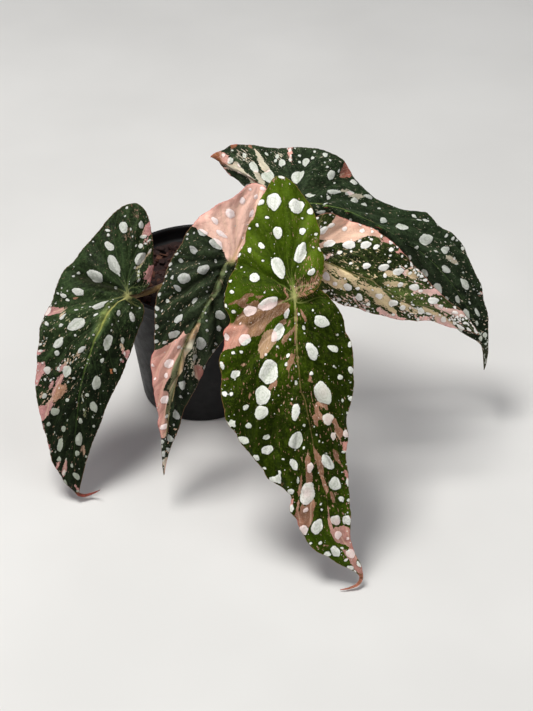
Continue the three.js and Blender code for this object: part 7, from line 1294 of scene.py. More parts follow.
# lighter and deeper greens on the chart, partly the leaf's own tone and partly painted light and shade (lit upper
# lobes, sheen by the midrib, shaded hanging parts): (x, y, half width, half height, lean, amount)
GREEN_AND_LIGHT = {
    1: [
        (-91, 18.5, 2.8, 12.2, 22, 1),
        (-86.5, 24.1, 5.5, 6.6, 35, 0.6),
        (-98.7, 3, 3.9, 16.6, 20, 0.35),
        (-89.9, -9.1, 4.4, 11.1, 10, 0.3),
        (-92.1, 38.4, 14.4, 2.8, 18, -0.5),
        (-77.7, 63.9, 6.6, 16.6, 0, 0.15),
        (-114.2, -41.2, 11.1, 27.6, 0, -0.35),
        (-86.5, -24.6, 6.6, 33.2, 0, -0.35),
        (-105.9, 22.4, 13.3, 5.5, 0, 0.2),
        (-81, 30.7, 4.4, 4.4, 0, 0.2),
        (-114.2, -52.3, 16.6, 27.6, 0, -0.5),
        (-86.5, -35.7, 11.1, 33.2, 10, -0.5),
        (-78.2, 3, 7.7, 22.1, 10, -0.35),
        (-91.5, 17.4, 3.3, 11.1, 24, 1.5),
        (-114.2, -57.8, 16.6, 33.2, 0, -0.9),
        (-94.8, -46.7, 11.1, 33.2, 10, -0.7),
        (-97.6, -19.1, 22.1, 14.4, 0, -0.5),
        (-92.1, -2.5, 11.1, 16.6, 0, -0.4),
        (-76.6, 66.6, 16.6, 18.8, 0, -0.35),
        (-81, 14.1, 8.8, 13.3, 0, -0.35),
        (-114.2, -57.8, 22.1, 33.2, 0, -0.5),
        (-76.6, 72.2, 22.1, 16.6, 0, -0.25),
        (-104.2, 26.3, 14.4, 3.3, -8, 0.7),
        (-96.5, 30.7, 11.1, 2.2, 10, 0.3),
        (-113.1, -68.8, 14.4, 13.3, 0, -1),
        (-117.5, -49.5, 5.5, 22.1, 0, -0.7),
        (-117.5, -31.2, 4.4, 4.4, 0, -0.5),
        (-67.2, 61.1, 4.4, 11.1, 0, 0.3),
        (-85.4, 44.5, 11.1, 7.7, 0, 0.2),
        (-102, -2.5, 16.6, 14.4, -10, -0.25),
        (-75.5, 63.9, 11.1, 13.3, 0, -0.15),
        (-100.9, -3.6, 16.6, 14.4, -10, -0.2),
    ],
    2: [
        (-24.6, 58.3, 4.4, 6.6, 0, -0.6),
        (-30.1, 40.6, 4.4, 11.1, 20, -0.5),
        (-42.3, 25.2, 8.8, 4.4, -20, -0.3),
        (-48.9, 52.8, 10, 8.8, 0, 0.15),
        (-36.8, 55.6, 7.7, 5.5, 0, 0.1),
        (-42.3, -24.6, 6.6, 27.6, 0, -0.2),
        (-30.1, 11.3, 7.7, 11.1, 0, -0.1),
        (-47.8, 30.7, 22.1, 33.2, 0, -0.15),
        (-39.5, 30.7, 13.3, 22.1, 10, 0.35),
        (-34, 3, 7.7, 24.3, 10, 0.45),
        (-48.9, 36.2, 7.7, 16.6, 0, 0.15),
        (-39.5, 30.7, 13.3, 22.1, 10, 0.3),
        (-34, 3, 7.7, 24.3, 10, 0.3),
    ],
    3: [
        (-2.5, 86, 13.3, 12.2, 0, 0.35),
        (18.5, 72.2, 7.7, 12.2, 0, 0.1),
        (-9.1, 63.9, 8.8, 10, 0, 0.35),
        (-2.5, 47.3, 7.7, 7.7, 0, 0.3),
        (-15.8, 36.2, 7.7, 7.7, 0, 0.45),
        (-4.7, 37.3, 8.8, 4.4, 0, 0.2),
        (11.9, 52.8, 5.5, 19.9, 0, -0.35),
        (7.5, 39, 7.7, 7.7, 0, -0.4),
        (24.1, 47.3, 5.5, 6.6, 0, 0.3),
        (-5.8, 51.7, 5.5, 6.6, 0, 0.2),
        (13, 33.5, 4.4, 3.3, 0, -0.2),
        (-11.9, -16.3, 11.1, 14.4, 0, -0.2),
        (35.1, -30.1, 12.2, 27.6, 0, -0.45),
        (40.6, -13.5, 5.5, 22.1, 0, -0.5),
        (-2.5, -41.2, 13.3, 7.7, -20, -0.5),
        (4.7, -27.4, 8.8, 10, 20, 0.35),
        (29.6, 30.7, 8.8, 8.8, 0, -0.2),
        (-3.6, -60.5, 8.8, 8.8, 0, 0.4),
        (35.1, -63.3, 8.8, 22.1, 0, -0.3),
        (18.5, -91, 7.7, 16.6, 0, -0.3),
        (35.1, 5.8, 8.8, 11.1, 0, 0.15),
        (13, 11.3, 5.5, 16.6, 0, 0.1),
        (-20.2, -5.3, 6.6, 5.5, 0, 0.1),
        (13, -113.1, 16.6, 7.7, 20, 0.2),
        (29.6, -19.1, 22.1, 33.2, 0, -0.35),
        (-9.1, -46.7, 22.1, 22.1, 0, -0.3),
        (-9.1, -13.5, 16.6, 27.6, 0, -0.25),
        (18.5, -68.8, 33.2, 33.2, 0, -0.3),
        (37.9, 14.1, 16.6, 22.1, 0, -0.2),
        (-2.5, 83.2, 11.1, 11.1, 0, 0.3),
        (-11.9, 61.1, 7.7, 11.1, 0, 0.3),
        (-14.7, 37.3, 6.6, 5.5, 0, 0.6),
        (-15.8, 38.4, 7.7, 6.6, 0, -0.75),
        (-6.4, 39, 11.1, 7.7, 0, -0.5),
        (-9.1, -8, 14.4, 24.3, 0, -0.5),
        (-6.4, -52.3, 18.8, 24.3, 0, -0.7),
        (35.1, -24.6, 13.3, 33.2, 0, -0.35),
        (30.7, 14.1, 11.1, 16.6, 0, -0.5),
        (18.5, -63.3, 16.6, 27.6, 0, -0.15),
        (21.8, 72.2, 8.8, 14.4, 0, 0.65),
        (25.2, 51.7, 5.5, 7.7, 0, 0.3),
        (37.9, -91, 16.6, 16.6, 0, 0.15),
        (-2.5, 86, 13.3, 13.3, 0, 0.15),
        (-9.1, 50, 11.1, 11.1, 0, 0.15),
        (-9.1, -46.7, 18.8, 24.3, 0, -0.3),
        (29.6, -19.1, 22.1, 38.7, 0, -0.2),
        (-8, -9.1, 14.4, 16.6, 0, -0.15),
        (35.1, -46.7, 11.1, 33.2, 0, -0.15),
        (21.8, 72.2, 7.7, 14.4, 0, 0.2),
        (35.1, -110.9, 12.2, 7.7, 0, 0.3),
        (6.4, -3, 7.7, 5.5, 0, 0.3),
        (29.6, -1.4, 6.6, 6.6, 0, 0.3),
        (3, -55, 6.6, 5.5, 0, 0.35),
        (-16.9, -18, 6.6, 5.5, 0, 0.25),
        (-16.9, 35.1, 6.6, 5, 0, 0.25),
        (28.5, -32.9, 4.4, 11.1, 0, -0.2),
    ],
    4: [
        (18.5, 102.6, 11.1, 7.7, 0, -0.15),
        (37.9, 95.9, 11.1, 3.3, 0, -0.3),
        (73.8, 72.2, 16.6, 7.7, 30, 0.15),
        (87.6, 51.7, 7.7, 8.8, -30, 0.1),
        (112.5, 30.7, 5.5, 22.1, 0, -0.25),
        (-9.1, 108.1, 13.3, 6.6, 0, 0.1),
        (35.1, 86, 16.6, 3.3, 10, -0.2),
        (43.4, 82.1, 22.1, 2.2, 15, 0.25),
        (18.5, 105.3, 22.1, 11.1, 0, -0.25),
        (35.1, 77.7, 27.6, 4.4, 14, 0.35),
        (115.3, 8.6, 7.7, 14.4, 0, -0.5),
        (18.5, 108.1, 33.2, 11.1, 0, -0.2),
        (118.1, 5.8, 7.7, 13.3, 0, -0.4),
        (118.1, 11.3, 7.7, 22.1, 0, -0.7),
    ],
    5: [
        (43.4, 53.9, 14.4, 5.5, 10, 0.25),
        (35.1, 55.6, 7.7, 4.4, 0, -0.3),
        (73.8, 30.7, 22.1, 8.8, 20, 0.5),
        (55, 53.9, 24.3, 6.6, 10, -0.75),
        (73.8, 51.7, 11.1, 5.5, 20, -0.4),
        (69.4, 34, 11.1, 4.4, 25, -0.3),
        (46.2, 51.7, 16.6, 7.7, 10, -0.2),
        (65.5, 55, 16.6, 4.4, 8, -0.3),
        (73.8, 35.1, 16.6, 5.5, 20, 0.45),
        (90.4, 27.4, 11.1, 4.4, 20, 0.3),
        (46.2, 32.9, 12.2, 4.4, 5, 0.3),
        (71.1, 36.2, 16.6, 5.5, 20, 0.35),
    ],
}
# pale flecking on the chart: (x, y, half width, half height, lean, amount, tone)
FLECKING = {
    1: [
        (-71.1, 78.2, 5.5, 6.6, 0, 0.13, 25),
        (-68.3, 57.2, 5, 17.7, 0, 0.13, 20),
        (-88.2, 68.8, 4.4, 5, 0, 0.14, 25),
        (-116.9, 13, 7.7, 11.1, 20, 0.11, 22),
        (-104.2, -0.8, 5, 11.1, 40, 0.19, 22),
        (-118.6, -16.3, 7.7, 10, 30, 0.16, 0),
        (-113.1, 24.1, 10, 4.4, 0, 0.11, 20),
        (-96.5, 24.1, 10, 3.9, -15, 0.13, 20),
        (-114.2, -46.7, 5.5, 12.2, 0, 0.12, 25),
        (-101.5, -24.6, 2.8, 16.6, 0, 0.12, 22),
        (-79.9, 3, 3.3, 7.7, 0, 0.13, 22),
        (-114.2, -63.3, 5.5, 7.7, 0, 0.13, 0),
        (-77.7, 70.5, 4.4, 7.7, 0, 0.12, 25),
        (-115.3, -20.2, 3.9, 7.7, 35, 0.32, 22),
        (-108.7, 20.7, 5.5, 2.8, 10, 0.22, 20),
        (-121.4, -21.8, 3.3, 6.6, 20, 0.29, 0),
        (-65.5, 41.7, 3.3, 5.5, 0, 0.31, 20),
        (-114.2, -15.2, 7.7, 12.2, 35, 0.22, 22),
        (-118.6, -19.1, 4.4, 7.7, 30, 0.26, 13),
        (-71.1, 78.2, 4.4, 5.5, 0, 0.23, 25),
        (-72.2, 81.6, 3.3, 2.8, 0, 0.26, 25),
        (-64.4, 62.2, 2.8, 4.4, 0, 0.32, 13),
        (-104.2, 19.6, 7.7, 4.4, 20, 0.23, 20),
    ],
    2: [
        (-41.2, -5.3, 5.5, 8.8, 0, 0.21, 3),
        (-53.4, -46.7, 4.4, 12.2, 0, 0.15, 3),
        (-52.3, 30.7, 7.7, 22.1, 10, 0.09, 3),
    ],
    3: [
        (22.9, 88.7, 6.6, 12.2, -30, 0.12, 2),
        (26.8, 63.9, 4.4, 10, 0, 0.17, 2),
        (16.3, 73.8, 3.3, 7.7, 0, 0.14, 2),
        (21.8, 39, 8.8, 5.5, 30, 0.18, 2),
        (-14.7, -9.1, 12.2, 6.6, 0, 0.11, 2),
        (14.1, -2.5, 6.6, 16.6, 0, 0.15, 2),
        (25.2, -24.6, 8.8, 12.2, 0, 0.15, 2),
        (29.6, -63.3, 10, 22.1, 0, 0.15, 2),
        (18.5, -46.7, 6.6, 22.1, 0, 0.11, 2),
        (40.6, -52.3, 5.5, 27.6, 0, 0.14, 2),
        (-19.1, -46.7, 11.1, 11.1, 0, 0.1, 2),
        (10.2, -23.5, 16.6, 16.6, 0, 0.09, 2),
        (37.9, -79.9, 7.7, 7.7, 0, 0.17, 2),
        (28.5, -104.8, 13.3, 5.5, 20, 0.16, 2),
        (-2.5, 36.2, 13.3, 4.4, 0, 0.13, 2),
        (43.4, -63.3, 3.3, 33.2, 0, 0.12, 0),
        (3.6, 97, 7.7, 3.3, 0, 0.16, 3),
        (22.4, 51.7, 3.3, 5.5, 0, 0.32, 2),
        (21.3, 39.5, 7.7, 4.4, 35, 0.44, 2),
        (28.5, -24.6, 4.4, 7.7, -30, 0.36, 2),
        (35.1, -41.2, 3.3, 8.8, -20, 0.36, 2),
        (16.3, -3.6, 2.8, 8.8, 5, 0.29, 2),
        (11.9, -24.6, 5.5, 11.1, 0, 0.21, 2),
        (-8, -20.2, 5.5, 7.7, 10, 0.18, 2),
    ],
    4: [
        (-14.7, 109.8, 12.2, 5.5, 0, 0.17, 15),
        (-2.5, 101.5, 7.7, 6.6, 0, 0.17, 15),
        (4.7, 108.1, 8.8, 6.6, 0, 0.14, 15),
        (40.6, 105.3, 7.7, 5.5, 0, 0.11, 15),
        (95.9, 55.6, 7.7, 7.7, 0, 0.15, 15),
        (111.4, 36.2, 5.5, 18.8, 0, 0.11, 15),
        (120.3, 8.6, 3.3, 12.2, 0, 0.19, 15),
        (24.1, 72.2, 7.7, 8.8, 0, 0.16, 15),
    ],
    5: [
        (50.6, 40.1, 6.1, 3.3, 25, 0.62, 26),
        (52.8, 29.6, 5, 3.3, 20, 0.52, 27),
        (68.3, 45.6, 3.9, 1.9, 10, 0.42, 26),
        (80.5, 45.1, 5.5, 3.3, 30, 0.54, 27),
        (72.7, 40.1, 7.7, 2.2, 8, 0.46, 26),
        (59.4, 44, 3.3, 2.2, 10, 0.42, 26),
        (40.6, 44.5, 7.7, 3.3, 25, 0.54, 26),
        (36.8, 39.5, 5.5, 2.2, 10, 0.4, 26),
        (79.9, 24.1, 7.2, 2.8, 18, 0.54, 27),
        (85.4, 35.1, 6.1, 2.2, 0, 0.42, 27),
        (64.4, 26.8, 6.6, 2.2, 20, 0.4, 26),
        (101.5, 20.7, 7.7, 3.3, 30, 0.5, 27),
        (94.3, 19.1, 5.5, 2.2, 25, 0.46, 27),
        (47.8, 50.6, 8.8, 3.3, 15, 0.34, 26),
        (65.5, 65, 5.5, 3.3, 20, 0.42, 27),
        (84.9, 40.1, 6.6, 4.4, 30, 0.34, 27),
        (76, 31.8, 4.4, 2.8, 20, 0.36, 26),
        (46.2, 30.7, 8.8, 3.3, 10, 0.36, 27),
        (92.1, 28.5, 5.5, 2.8, 15, 0.36, 27),
        (46.2, 47.3, 33.2, 22.1, 20, 0.14, 26),
    ],
}
# pinprick dots on the chart: (x, y, half width, half height, lean, amount)
DUST = {
    1: [
        (-67.2, 44.5, 4.4, 6.6, 0, 0.36),
        (-116.4, 14.1, 8.8, 22.1, 0, 0.24),
        (-92.1, 25.2, 16.6, 5.5, -10, 0.3),
        (-114.2, -35.7, 8.8, 33.2, 0, 0.21),
        (-100.4, -24.6, 11.1, 33.2, 0, 0.18),
        (-105.9, 0.3, 11.1, 16.6, 0, 0.24),
    ],
    2: [
        (-58.9, 30.7, 5.5, 38.7, 8, 0.5),
        (-34, 8.6, 5.5, 27.6, 20, 0.6),
        (-55, -53.4, 5, 12.2, 0, 1.6),
        (-47.8, 36.2, 16.6, 33.2, 0, 0.4),
    ],
    3: [
        (-22.9, -13.5, 4.4, 33.2, 0, 0.5),
        (44.5, -35.7, 4.4, 44.2, 0, 0.5),
        (32.3, -104.8, 16.6, 7.7, 20, 0.7),
        (18.5, 3, 22.1, 44.2, 0, 0.25),
        (46.2, -104.8, 5.5, 16.6, 0, 0.6),
    ],
    4: [
        (18.5, 113.6, 33.2, 3.3, 0, 0.4),
        (112.5, 47.3, 5.5, 33.2, 0, 0.5),
        (120.8, 5.8, 3.3, 16.6, 0, 1.3),
        (98.7, 61.1, 16.6, 7.7, 45, 0.5),
        (32.3, 80.5, 11.1, 11.1, 0, 0.9),
    ],
    5: [
        (80.5, 48.9, 6.6, 8.8, -30, 1.2),
        (111.4, 17.4, 7.2, 5, 25, 2.6),
        (73.8, 36.2, 16.6, 8.8, 25, 0.5),
        (90.4, 24.1, 27.6, 6.6, 12, 0.8),
        (54.5, 27.9, 22.1, 5.5, 12, 0.8),
        (46.2, 58.3, 22.1, 3.3, 0, 0.6),
        (101.5, 30.7, 11.1, 7.7, 40, 0.7),
    ],
}
# creases on the chart: depth, half width, painted shade, line
CREASES = {
    1: [(2.0, 2.6, 0.75, [(-108.7, 45.1), (-100.9, 42.3), (-92.1, 39.5), (-84.3, 37), (-78.8, 35.4)]), (0.7, 1.6, 0.2, [(-89.3, 51.7), (-85.4, 45.1), (-81, 39.5), (-78.2, 36.2)]), (0.9, 2.0, 0.45, [(-76.6, 30.7), (-82.1, 21.8), (-86.5, 11.9), (-89.9, 1.9)]), (0.8, 1.8, 0.4, [(-77.1, 32.9), (-73.8, 27.4), (-71.6, 20.7), (-70.5, 13)])],
    2: [(1.0, 2.2, 0.3, [(-52.3, 47.3), (-42.3, 46.2), (-33.5, 48.4), (-26.3, 52.8)]), (0.9, 2.0, 0.25, [(-57.2, 20.7), (-48.9, 26.3), (-39.5, 32.9), (-31.2, 39)]), (0.9, 1.6, 0.3, [(-20.7, 48.4), (-22.4, 40.6), (-25.2, 32.9), (-30.1, 24.1), (-35.1, 14.1)]), (1.2, 2.0, 0.35, [(-55.6, 30.7), (-47.8, 34.6), (-39, 41.2), (-30.1, 48.4)]), (1.0, 1.8, 0.3, [(-48.9, 57.2), (-41.2, 58.3), (-33.5, 59.4), (-26.8, 58.3)])],
    3: [(1.7, 2.6, 0.42, [(-25.2, 9.1), (-21.3, 11.1), (-14.7, 13.5), (-6.4, 16.9), (0.8, 20.5), (6.4, 24.6), (11.9, 29)]), (0.5, 0.9, 0.6, [(17.4, -41.7), (16.3, -45.1), (16, -48.4), (14.9, -52.3), (14.7, -55.6)]), (0.5, 0.9, 0.55, [(31.8, -53.4), (33.5, -56.1), (35.4, -58.9), (36.8, -62.2)]), (0.9, 1.8, 0.3, [(11.3, 27.4), (9.1, 18.5), (5.3, 5.8), (1.9, -3.6)]), (0.8, 1.8, 0.3, [(18.5, 21.8), (24.1, 11.3), (30.7, 3), (39.5, -3.6)]), (0.7, 1.6, 0.25, [(-2.5, -24.6), (-8, -31.2), (-13.5, -35.7)]), (0.6, 1.3, 0.25, [(13, -30.1), (7.5, -38.4), (0.8, -44.5), (-5.8, -47.8)])],
    4: [(0.9, 2.0, 0.25, [(13, 86), (18.5, 91.5), (26.3, 94.8), (35.1, 95.9)])],
    5: [],
}
# spots that are flushed pink, on the chart: (x, y, half width, half height, lean, amount)
ROSY = {
    1: [
        (-121.9, -8, 2.2, 2.8, 0, 0.5),
        (-114.7, 25.7, 2.8, 2.2, 0, 0.6),
    ],
    2: [
    ],
    3: [
        (34, -35.4, 3, 3.6, 0, 0.85),
        (37, -44.5, 3, 3.6, 0, 0.7),
        (43.7, -43.7, 3, 3.6, 0, 0.8),
        (22.4, -76, 3, 3.6, 0, 0.7),
        (24.3, -62.1, 3, 3.6, 0, 0.8),
        (21, -86, 3, 3.6, 0, 0.9),
        (20.2, -97, 3, 3.6, 0, 0.9),
        (1.4, 28.5, 3, 3.6, 0, 0.75),
        (-9.7, 25.2, 3, 3.6, 0, 0.4),
        (39.5, -93.2, 3, 3.6, 0, 0.9),
        (40.1, -100.9, 3, 3.6, 0, 0.8),
        (44.5, -110.9, 3, 3.6, 0, 0.5),
        (31.2, -20.2, 3, 3.6, 0, 0.3),
        (-10.8, -17.4, 3, 3.6, 0, 0),
    ],
    4: [
        (43.4, 98.7, 3.3, 2.2, 0, 0.4),
    ],
    5: [
    ],
}
# white blotches with a torn outline, on the chart
TORN = {
    1: [],
    2: [],
    3: [[(-22.5, -36.1), (-20.8, -36.9), (-19.1, -35.6), (-17.9, -36.6), (-16.9, -36.1), (-17.4, -37.8), (-16.9, -39), (-19.1, -38.7), (-20.3, -40), (-21.3, -38.3)], [(1.3, -67.6), (3.9, -67.6), (6.1, -65.9), (7.7, -64.1), (8.1, -67.6), (7.7, -70.6), (5.5, -70.1), (3, -69.6)]],
    4: [],
    5: [],
}
FLECK_DENSITY = {1: 0.44, 2: 0.5, 3: 0.52, 4: 0.42, 5: 0.55}
VEINS = {  # side veins: from the stalk into the lobe and the shoulders, then off the midrib (station there, station at the margin)
    "lobe": [(0.10, -1), (0.10, 1), (0.45, -1), (0.45, 1), (0.78, -1), (0.80, 1)],
    "stalk": [(1.10, -1), (1.10, 1)],
    "rib": [(1.07, 1.30), (1.17, 1.46), (1.30, 1.62), (1.45, 1.76), (1.60, 1.88), (1.74, 1.96)],
}


def blob(c, x0, y0, rx, ry, lean):
    d = c - (x0, y0)
    t = math.radians(lean)
    d = d @ np.array([[math.cos(t), math.sin(t)], [-math.sin(t), math.cos(t)]])
    return np.exp(-((d[:, 0] / rx) ** 2 + (d[:, 1] / ry) ** 2) * 0.8)


def build_blade(n, upper, lower, quick):
    table = np.array(BLADES[n], float)
    S, L, R = table[:, 0:3], table[:, 3:6], table[:, 6:9]
    step = (
        np.linalg.norm(np.diff(S, axis=0), axis=1)
        + np.linalg.norm(np.diff(L, axis=0), axis=1)
        + np.linalg.norm(np.diff(R, axis=0), axis=1)
    )
    x = np.r_[0, np.cumsum(step + 0.3)]
    length = x[-1] / 3
    nr = int(length / (1.6 if quick else 0.72))
    q = np.linspace(0, x[-1], nr)
    dense = hermite(x, table, q)
    S, L, R, bow, station = dense[:, 0:3], dense[:, 3:6], dense[:, 6:9], dense[:, 9], dense[:, 10]
    # the drip tips are thinner than the rows of the solid
    slim = (1 - SLIM[n] * smooth(1.94, 2.12, station))[:, None]
    L, R = S + (L - S) * slim, S + (R - S) * slim
    half = 30 if quick else 62
    a = np.abs(np.arange(-half, half + 1) / half)
    left = np.arange(-half, half + 1) < 0
    across = np.where(left[None, :, None], (L - S)[:, None, :], (R - S)[:, None, :])
    power = np.where(left[None, :], bow[:, None], BOW)
    fall = across @ ALONG
    g = S[:, None, :] + across * a[None, :, None]
    # the halves bow in depth; where a half drops off at once the bend is rounded over the midrib
    power = np.maximum(power, 0.72)
    soft = np.clip((1.0 - power) * 0.36, 0.0, 0.1)
    bowed = ((a[None, :] + soft) ** power - soft**power) / ((1 + soft) ** power - soft**power)
    g = g + (fall * (bowed - a[None, :]))[..., None] * ALONG
    nrm = grid_normals(g)
    if (nrm @ -ALONG).mean() < 0:
        nrm = -nrm
    nc = g.shape[1]
    flat = g.reshape(-1, 3)
    aa = np.broadcast_to(a, (nr, nc)).ravel()
    wide = np.linalg.norm(across, axis=2).ravel()
    st = np.broadcast_to(station[:, None], (nr, nc)).ravel()
    c = chart(flat)

    # --- distances that the markings and the relief are made from ---
    rib = aa * wide
    i_p = int(np.argmin(np.abs(station - 1)))
    # where the row at the stalk folds round the notch, the margin is near on one side only
    edge = (1 - aa) * wide
    edge = np.minimum(edge, np.broadcast_to(np.minimum(np.arange(nr), np.arange(nr)[::-1])[:, None], (nr, nc)).ravel() * length / nr + 0.0)
    p_pt = S[i_p]
    col = lambda side, t: int(round(half + side * t * half))
    row_at = lambda u: int(np.argmin(np.abs(station - u)))
    lines = []
    rnd = np.random.default_rng(100 + n)
    for u, side in VEINS["lobe"] + VEINS["stalk"]:
        pts = []
        for t in np.linspace(0, 0.97, 26):
            uu = 1 + (u - 1) * (t ** (0.75 if u < 1 else 1.1))
            pts.append(g[row_at(uu), col(side, t**1.35)])
        lines.append((np.array(pts), 1.0))
    for side in (-1, 1):
        for k, (u0, u1) in enumerate(VEINS["rib"]):
            u0 = u0 + rnd.uniform(-0.012, 0.012) + (0.03 if side > 0 else 0)
            pts = [g[row_at(u0 + (min(u1 + 0.02, 1.99) - u0) * t**1.25), col(side, 0.97 * t)] for t in np.linspace(0, 1, 22)]
            lines.append((np.array(pts), 0.85))
    forks = []
    for pts, w in lines:
        for at, sgn in ((0.42, 1), (0.62, -1)):
            k = int(at * (len(pts) - 1))
            d = pts[min(k + 4, len(pts) - 1)] - pts[k]
            nn = nrm.reshape(-1, 3)[np.argmin(np.linalg.norm(flat - pts[k], axis=1))]
            rot = Matrix.Rotation(math.radians(30 * sgn), 3, Vector(nn))
            d2 = np.array(rot @ Vector(d))
            far = np.linalg.norm(pts[-1] - pts[k])
            d2 = d2 / (np.linalg.norm(d2) + 1e-9) * far * 0.75
            d3 = (pts[-1] - pts[k]) * 0.75
            forks.append((np.array([pts[k] + d2 * t * (1 - 0.3 * t) + d3 * 0.3 * t * t for t in np.linspace(0, 1, 7)]), 0.5))
    vein = np.full(len(flat), 50.0)
    main = np.full(len(flat), 50.0)
    groove = np.zeros(len(flat))
    for pts, w in lines + forks:
        pts = pts[:: (1 if len(pts) < 10 else 2)]
        d, where = to_polyline(flat, pts)
        vein = np.minimum(vein, d / max(w, 0.4) * 0.85)
        if w > 0.6:
            main = np.minimum(main, d)
        groove = np.maximum(groove, w * (1 - 0.55 * where) * np.exp(-((d / 1.5) ** 2)))

    spot = np.full(len(flat), 9.0)
    for k, (sx, sy, rx, ry, lean) in enumerate(SPOTS[n]):
        d = c - (sx, sy)
        if lean:
            t = math.radians(lean)
            d = d @ np.array([[math.cos(t), math.sin(t)], [-math.sin(t), math.cos(t)]])
        near = (np.abs(d[:, 0]) < rx + 8) & (np.abs(d[:, 1]) < ry + 8)
        e = d[near] / (rx, ry)
        rr = np.hypot(e[:, 0], e[:, 1]) + 1e-6
        th = np.arctan2(e[:, 1], e[:, 0])
        ph = rnd.uniform(0, 6.28, 4)
        wob = 1 + 0.06 * np.sin(2 * th + ph[0]) + 0.055 * np.sin(3 * th + ph[1]) + 0.035 * np.sin(5 * th + ph[2])
        sd = (rr / wob - 1) * min(rx, ry) * (0.5 + 0.5 * np.minimum(rr, 1))
        grad = np.hypot(d[near][:, 0], d[near][:, 1]) * (1 - wob / rr)
        sd = np.where(rr > 1, grad, (rr / wob - 1) * min(rx, ry))
        spot[near] = np.minimum(spot[near], sd)

    for poly in TORN[n]:
        sd = in_polygon(c, poly)
        near = sd < 6
        spot[near] = np.minimum(spot[near], sd[near] + 0.45 * fbm(flat[near], 1.6, 77, 2) - 0.1)

    # two fans of nearly even spacing that run out from the stalk: one along the blade, one up the lobe
    cp = chart(p_pt[None])[0]
    dd = c - cp
    heart = np.linalg.norm(flat - p_pt, axis=1)
    reach = np.maximum(heart, 0.5)
    fans = []
    for u in (1.6, 0.45):
        axis = chart(S[row_at(u)][None])[0] - cp
        turn = np.arctan2(dd[:, 1], dd[:, 0]) - math.atan2(axis[1], axis[0])
        turn = (turn + math.pi) % (2 * math.pi) - math.pi
        fans.append((turn, turn * reach**0.62 * 5.0, reach * 0.30))
    lobe = smooth(1.55, 1.95, np.abs(fans[0][0]))

    def fan_noise(size, seed):
        out = []
        for k, (_, x1, y1) in enumerate(fans):
            out.append(noise3(np.stack([x1, y1, np.full(len(flat), 7.0 * k)], -1), size, seed))
        return out[0] * (1 - lobe) + out[1] * lobe

    varieg = np.zeros(len(flat))
    fleck = np.zeros(len(flat))
    tone = np.tile(np.array(TONES[3]), (len(flat), 1)) * 1e-3
    weight = np.full(len(flat), 1e-3)
    for x0, y0, rx, ry, lean, amount, tn in FLECKING[n]:
        w = blob(c, x0, y0, rx, ry, lean)
        fleck = np.maximum(fleck, amount * w)
        tone += np.array(TONES[int(tn)]) * (0.2 * w)[:, None]
        weight += 0.2 * w
    ragged = 0.9 * fbm(flat, 5.0, 3) + 1.0 * fan_noise(2.2, 5) + 0.6 * fan_noise(5.0, 8)
    for tn, rag, poly in SECTORS[n]:
        sd = in_polygon(c, poly)
        near = sd < 8.0
        sd = sd[near] + ragged[near] * rag
        e = 0.35 + 1.1 * rag
        w = smooth(e, -e, sd)
        if tn < 0:
            varieg[near] = varieg[near] * (1 - w)
            continue
        if rag >= 1.1:
            fleck[near] = np.maximum(fleck[near], FLECK_DENSITY[n] * w)
        else:
            varieg[near] = np.maximum(varieg[near], (1.15 - 0.33 * max(0.0, rag - 0.2)) * w)
        share = smooth(e + 0.8, -0.2, sd)[:, None]
        tone[near] = tone[near] * (1 - share) + np.array(TONES[tn]) * 3 * share
        weight[near] = weight[near] * (1 - share[:, 0]) + 3 * share[:, 0]
    tone = tone / weight[:, None]
    # the pale parts blush towards the margin
    blush = (smooth(7.0, 0.5, edge) * 0.5)[:, None]
    tone = tone * (1 - blush) + tone * np.array([1.10, 0.86, 0.90]) * blush
    tone = tone * (1 - 0.26 * fbm(flat, 9.0, 33, 2) - 0.20 * fan_noise(3.5, 14))[:, None]

    # lighter and deeper green: a random tone, plus the table's painted light and shade
    green_and_light = 0.35 * fbm(flat, 16.0, 90 + n, 2)
    for x0, y0, rx, ry, lean, amount in GREEN_AND_LIGHT[n]:
        green_and_light = green_and_light + amount * blob(c, x0, y0, rx, ry, lean)
    dust = 0.05 + 0.20 * np.exp(-((edge / 1.8) ** 2))
    for x0, y0, rx, ry, lean, amount in DUST[n]:
        dust = dust + 0.5 * amount * blob(c, x0, y0, rx, ry, lean)

    rosy = np.zeros(len(flat))
    for x0, y0, rx, ry, lean, amount in ROSY[n]:
        rosy = np.maximum(rosy, amount * blob(c, x0, y0, rx, ry, lean))
    shade = np.zeros(len(flat))
    crease = np.zeros(len(flat))
    for depth, hw, crease_shade, line in CREASES[n]:
        pts = np.array([(x, y, 0.0) for x, y in line], float)
        d, where = to_polyline(np.c_[c, np.zeros(len(c))], pts)
        ends = smooth(0.0, 0.15, where) * smooth(1.0, 0.85, where) if len(line) > 2 else 1.0
        dip = np.exp(-((d / hw) ** 2)) * ends
        shade = np.maximum(shade, crease_shade * np.exp(-((d / (hw * 0.8)) ** 2)) * ends)
        crease = np.maximum(crease, depth * dip)

    rib_t = np.array([(u, k, w_, *lin(*rgb)) for u, k, w_, rgb in RIB[n]])
    rib_at = np.stack([np.interp(st, rib_t[:, 0], rib_t[:, k]) for k in range(1, 6)], -1)
    tail = TAIL[n] * smooth(1.99, 2.06, st)
    veintint = VEINTINT[n] * (0.25 + 0.75 * np.exp(-((heart / 30.0) ** 2)))

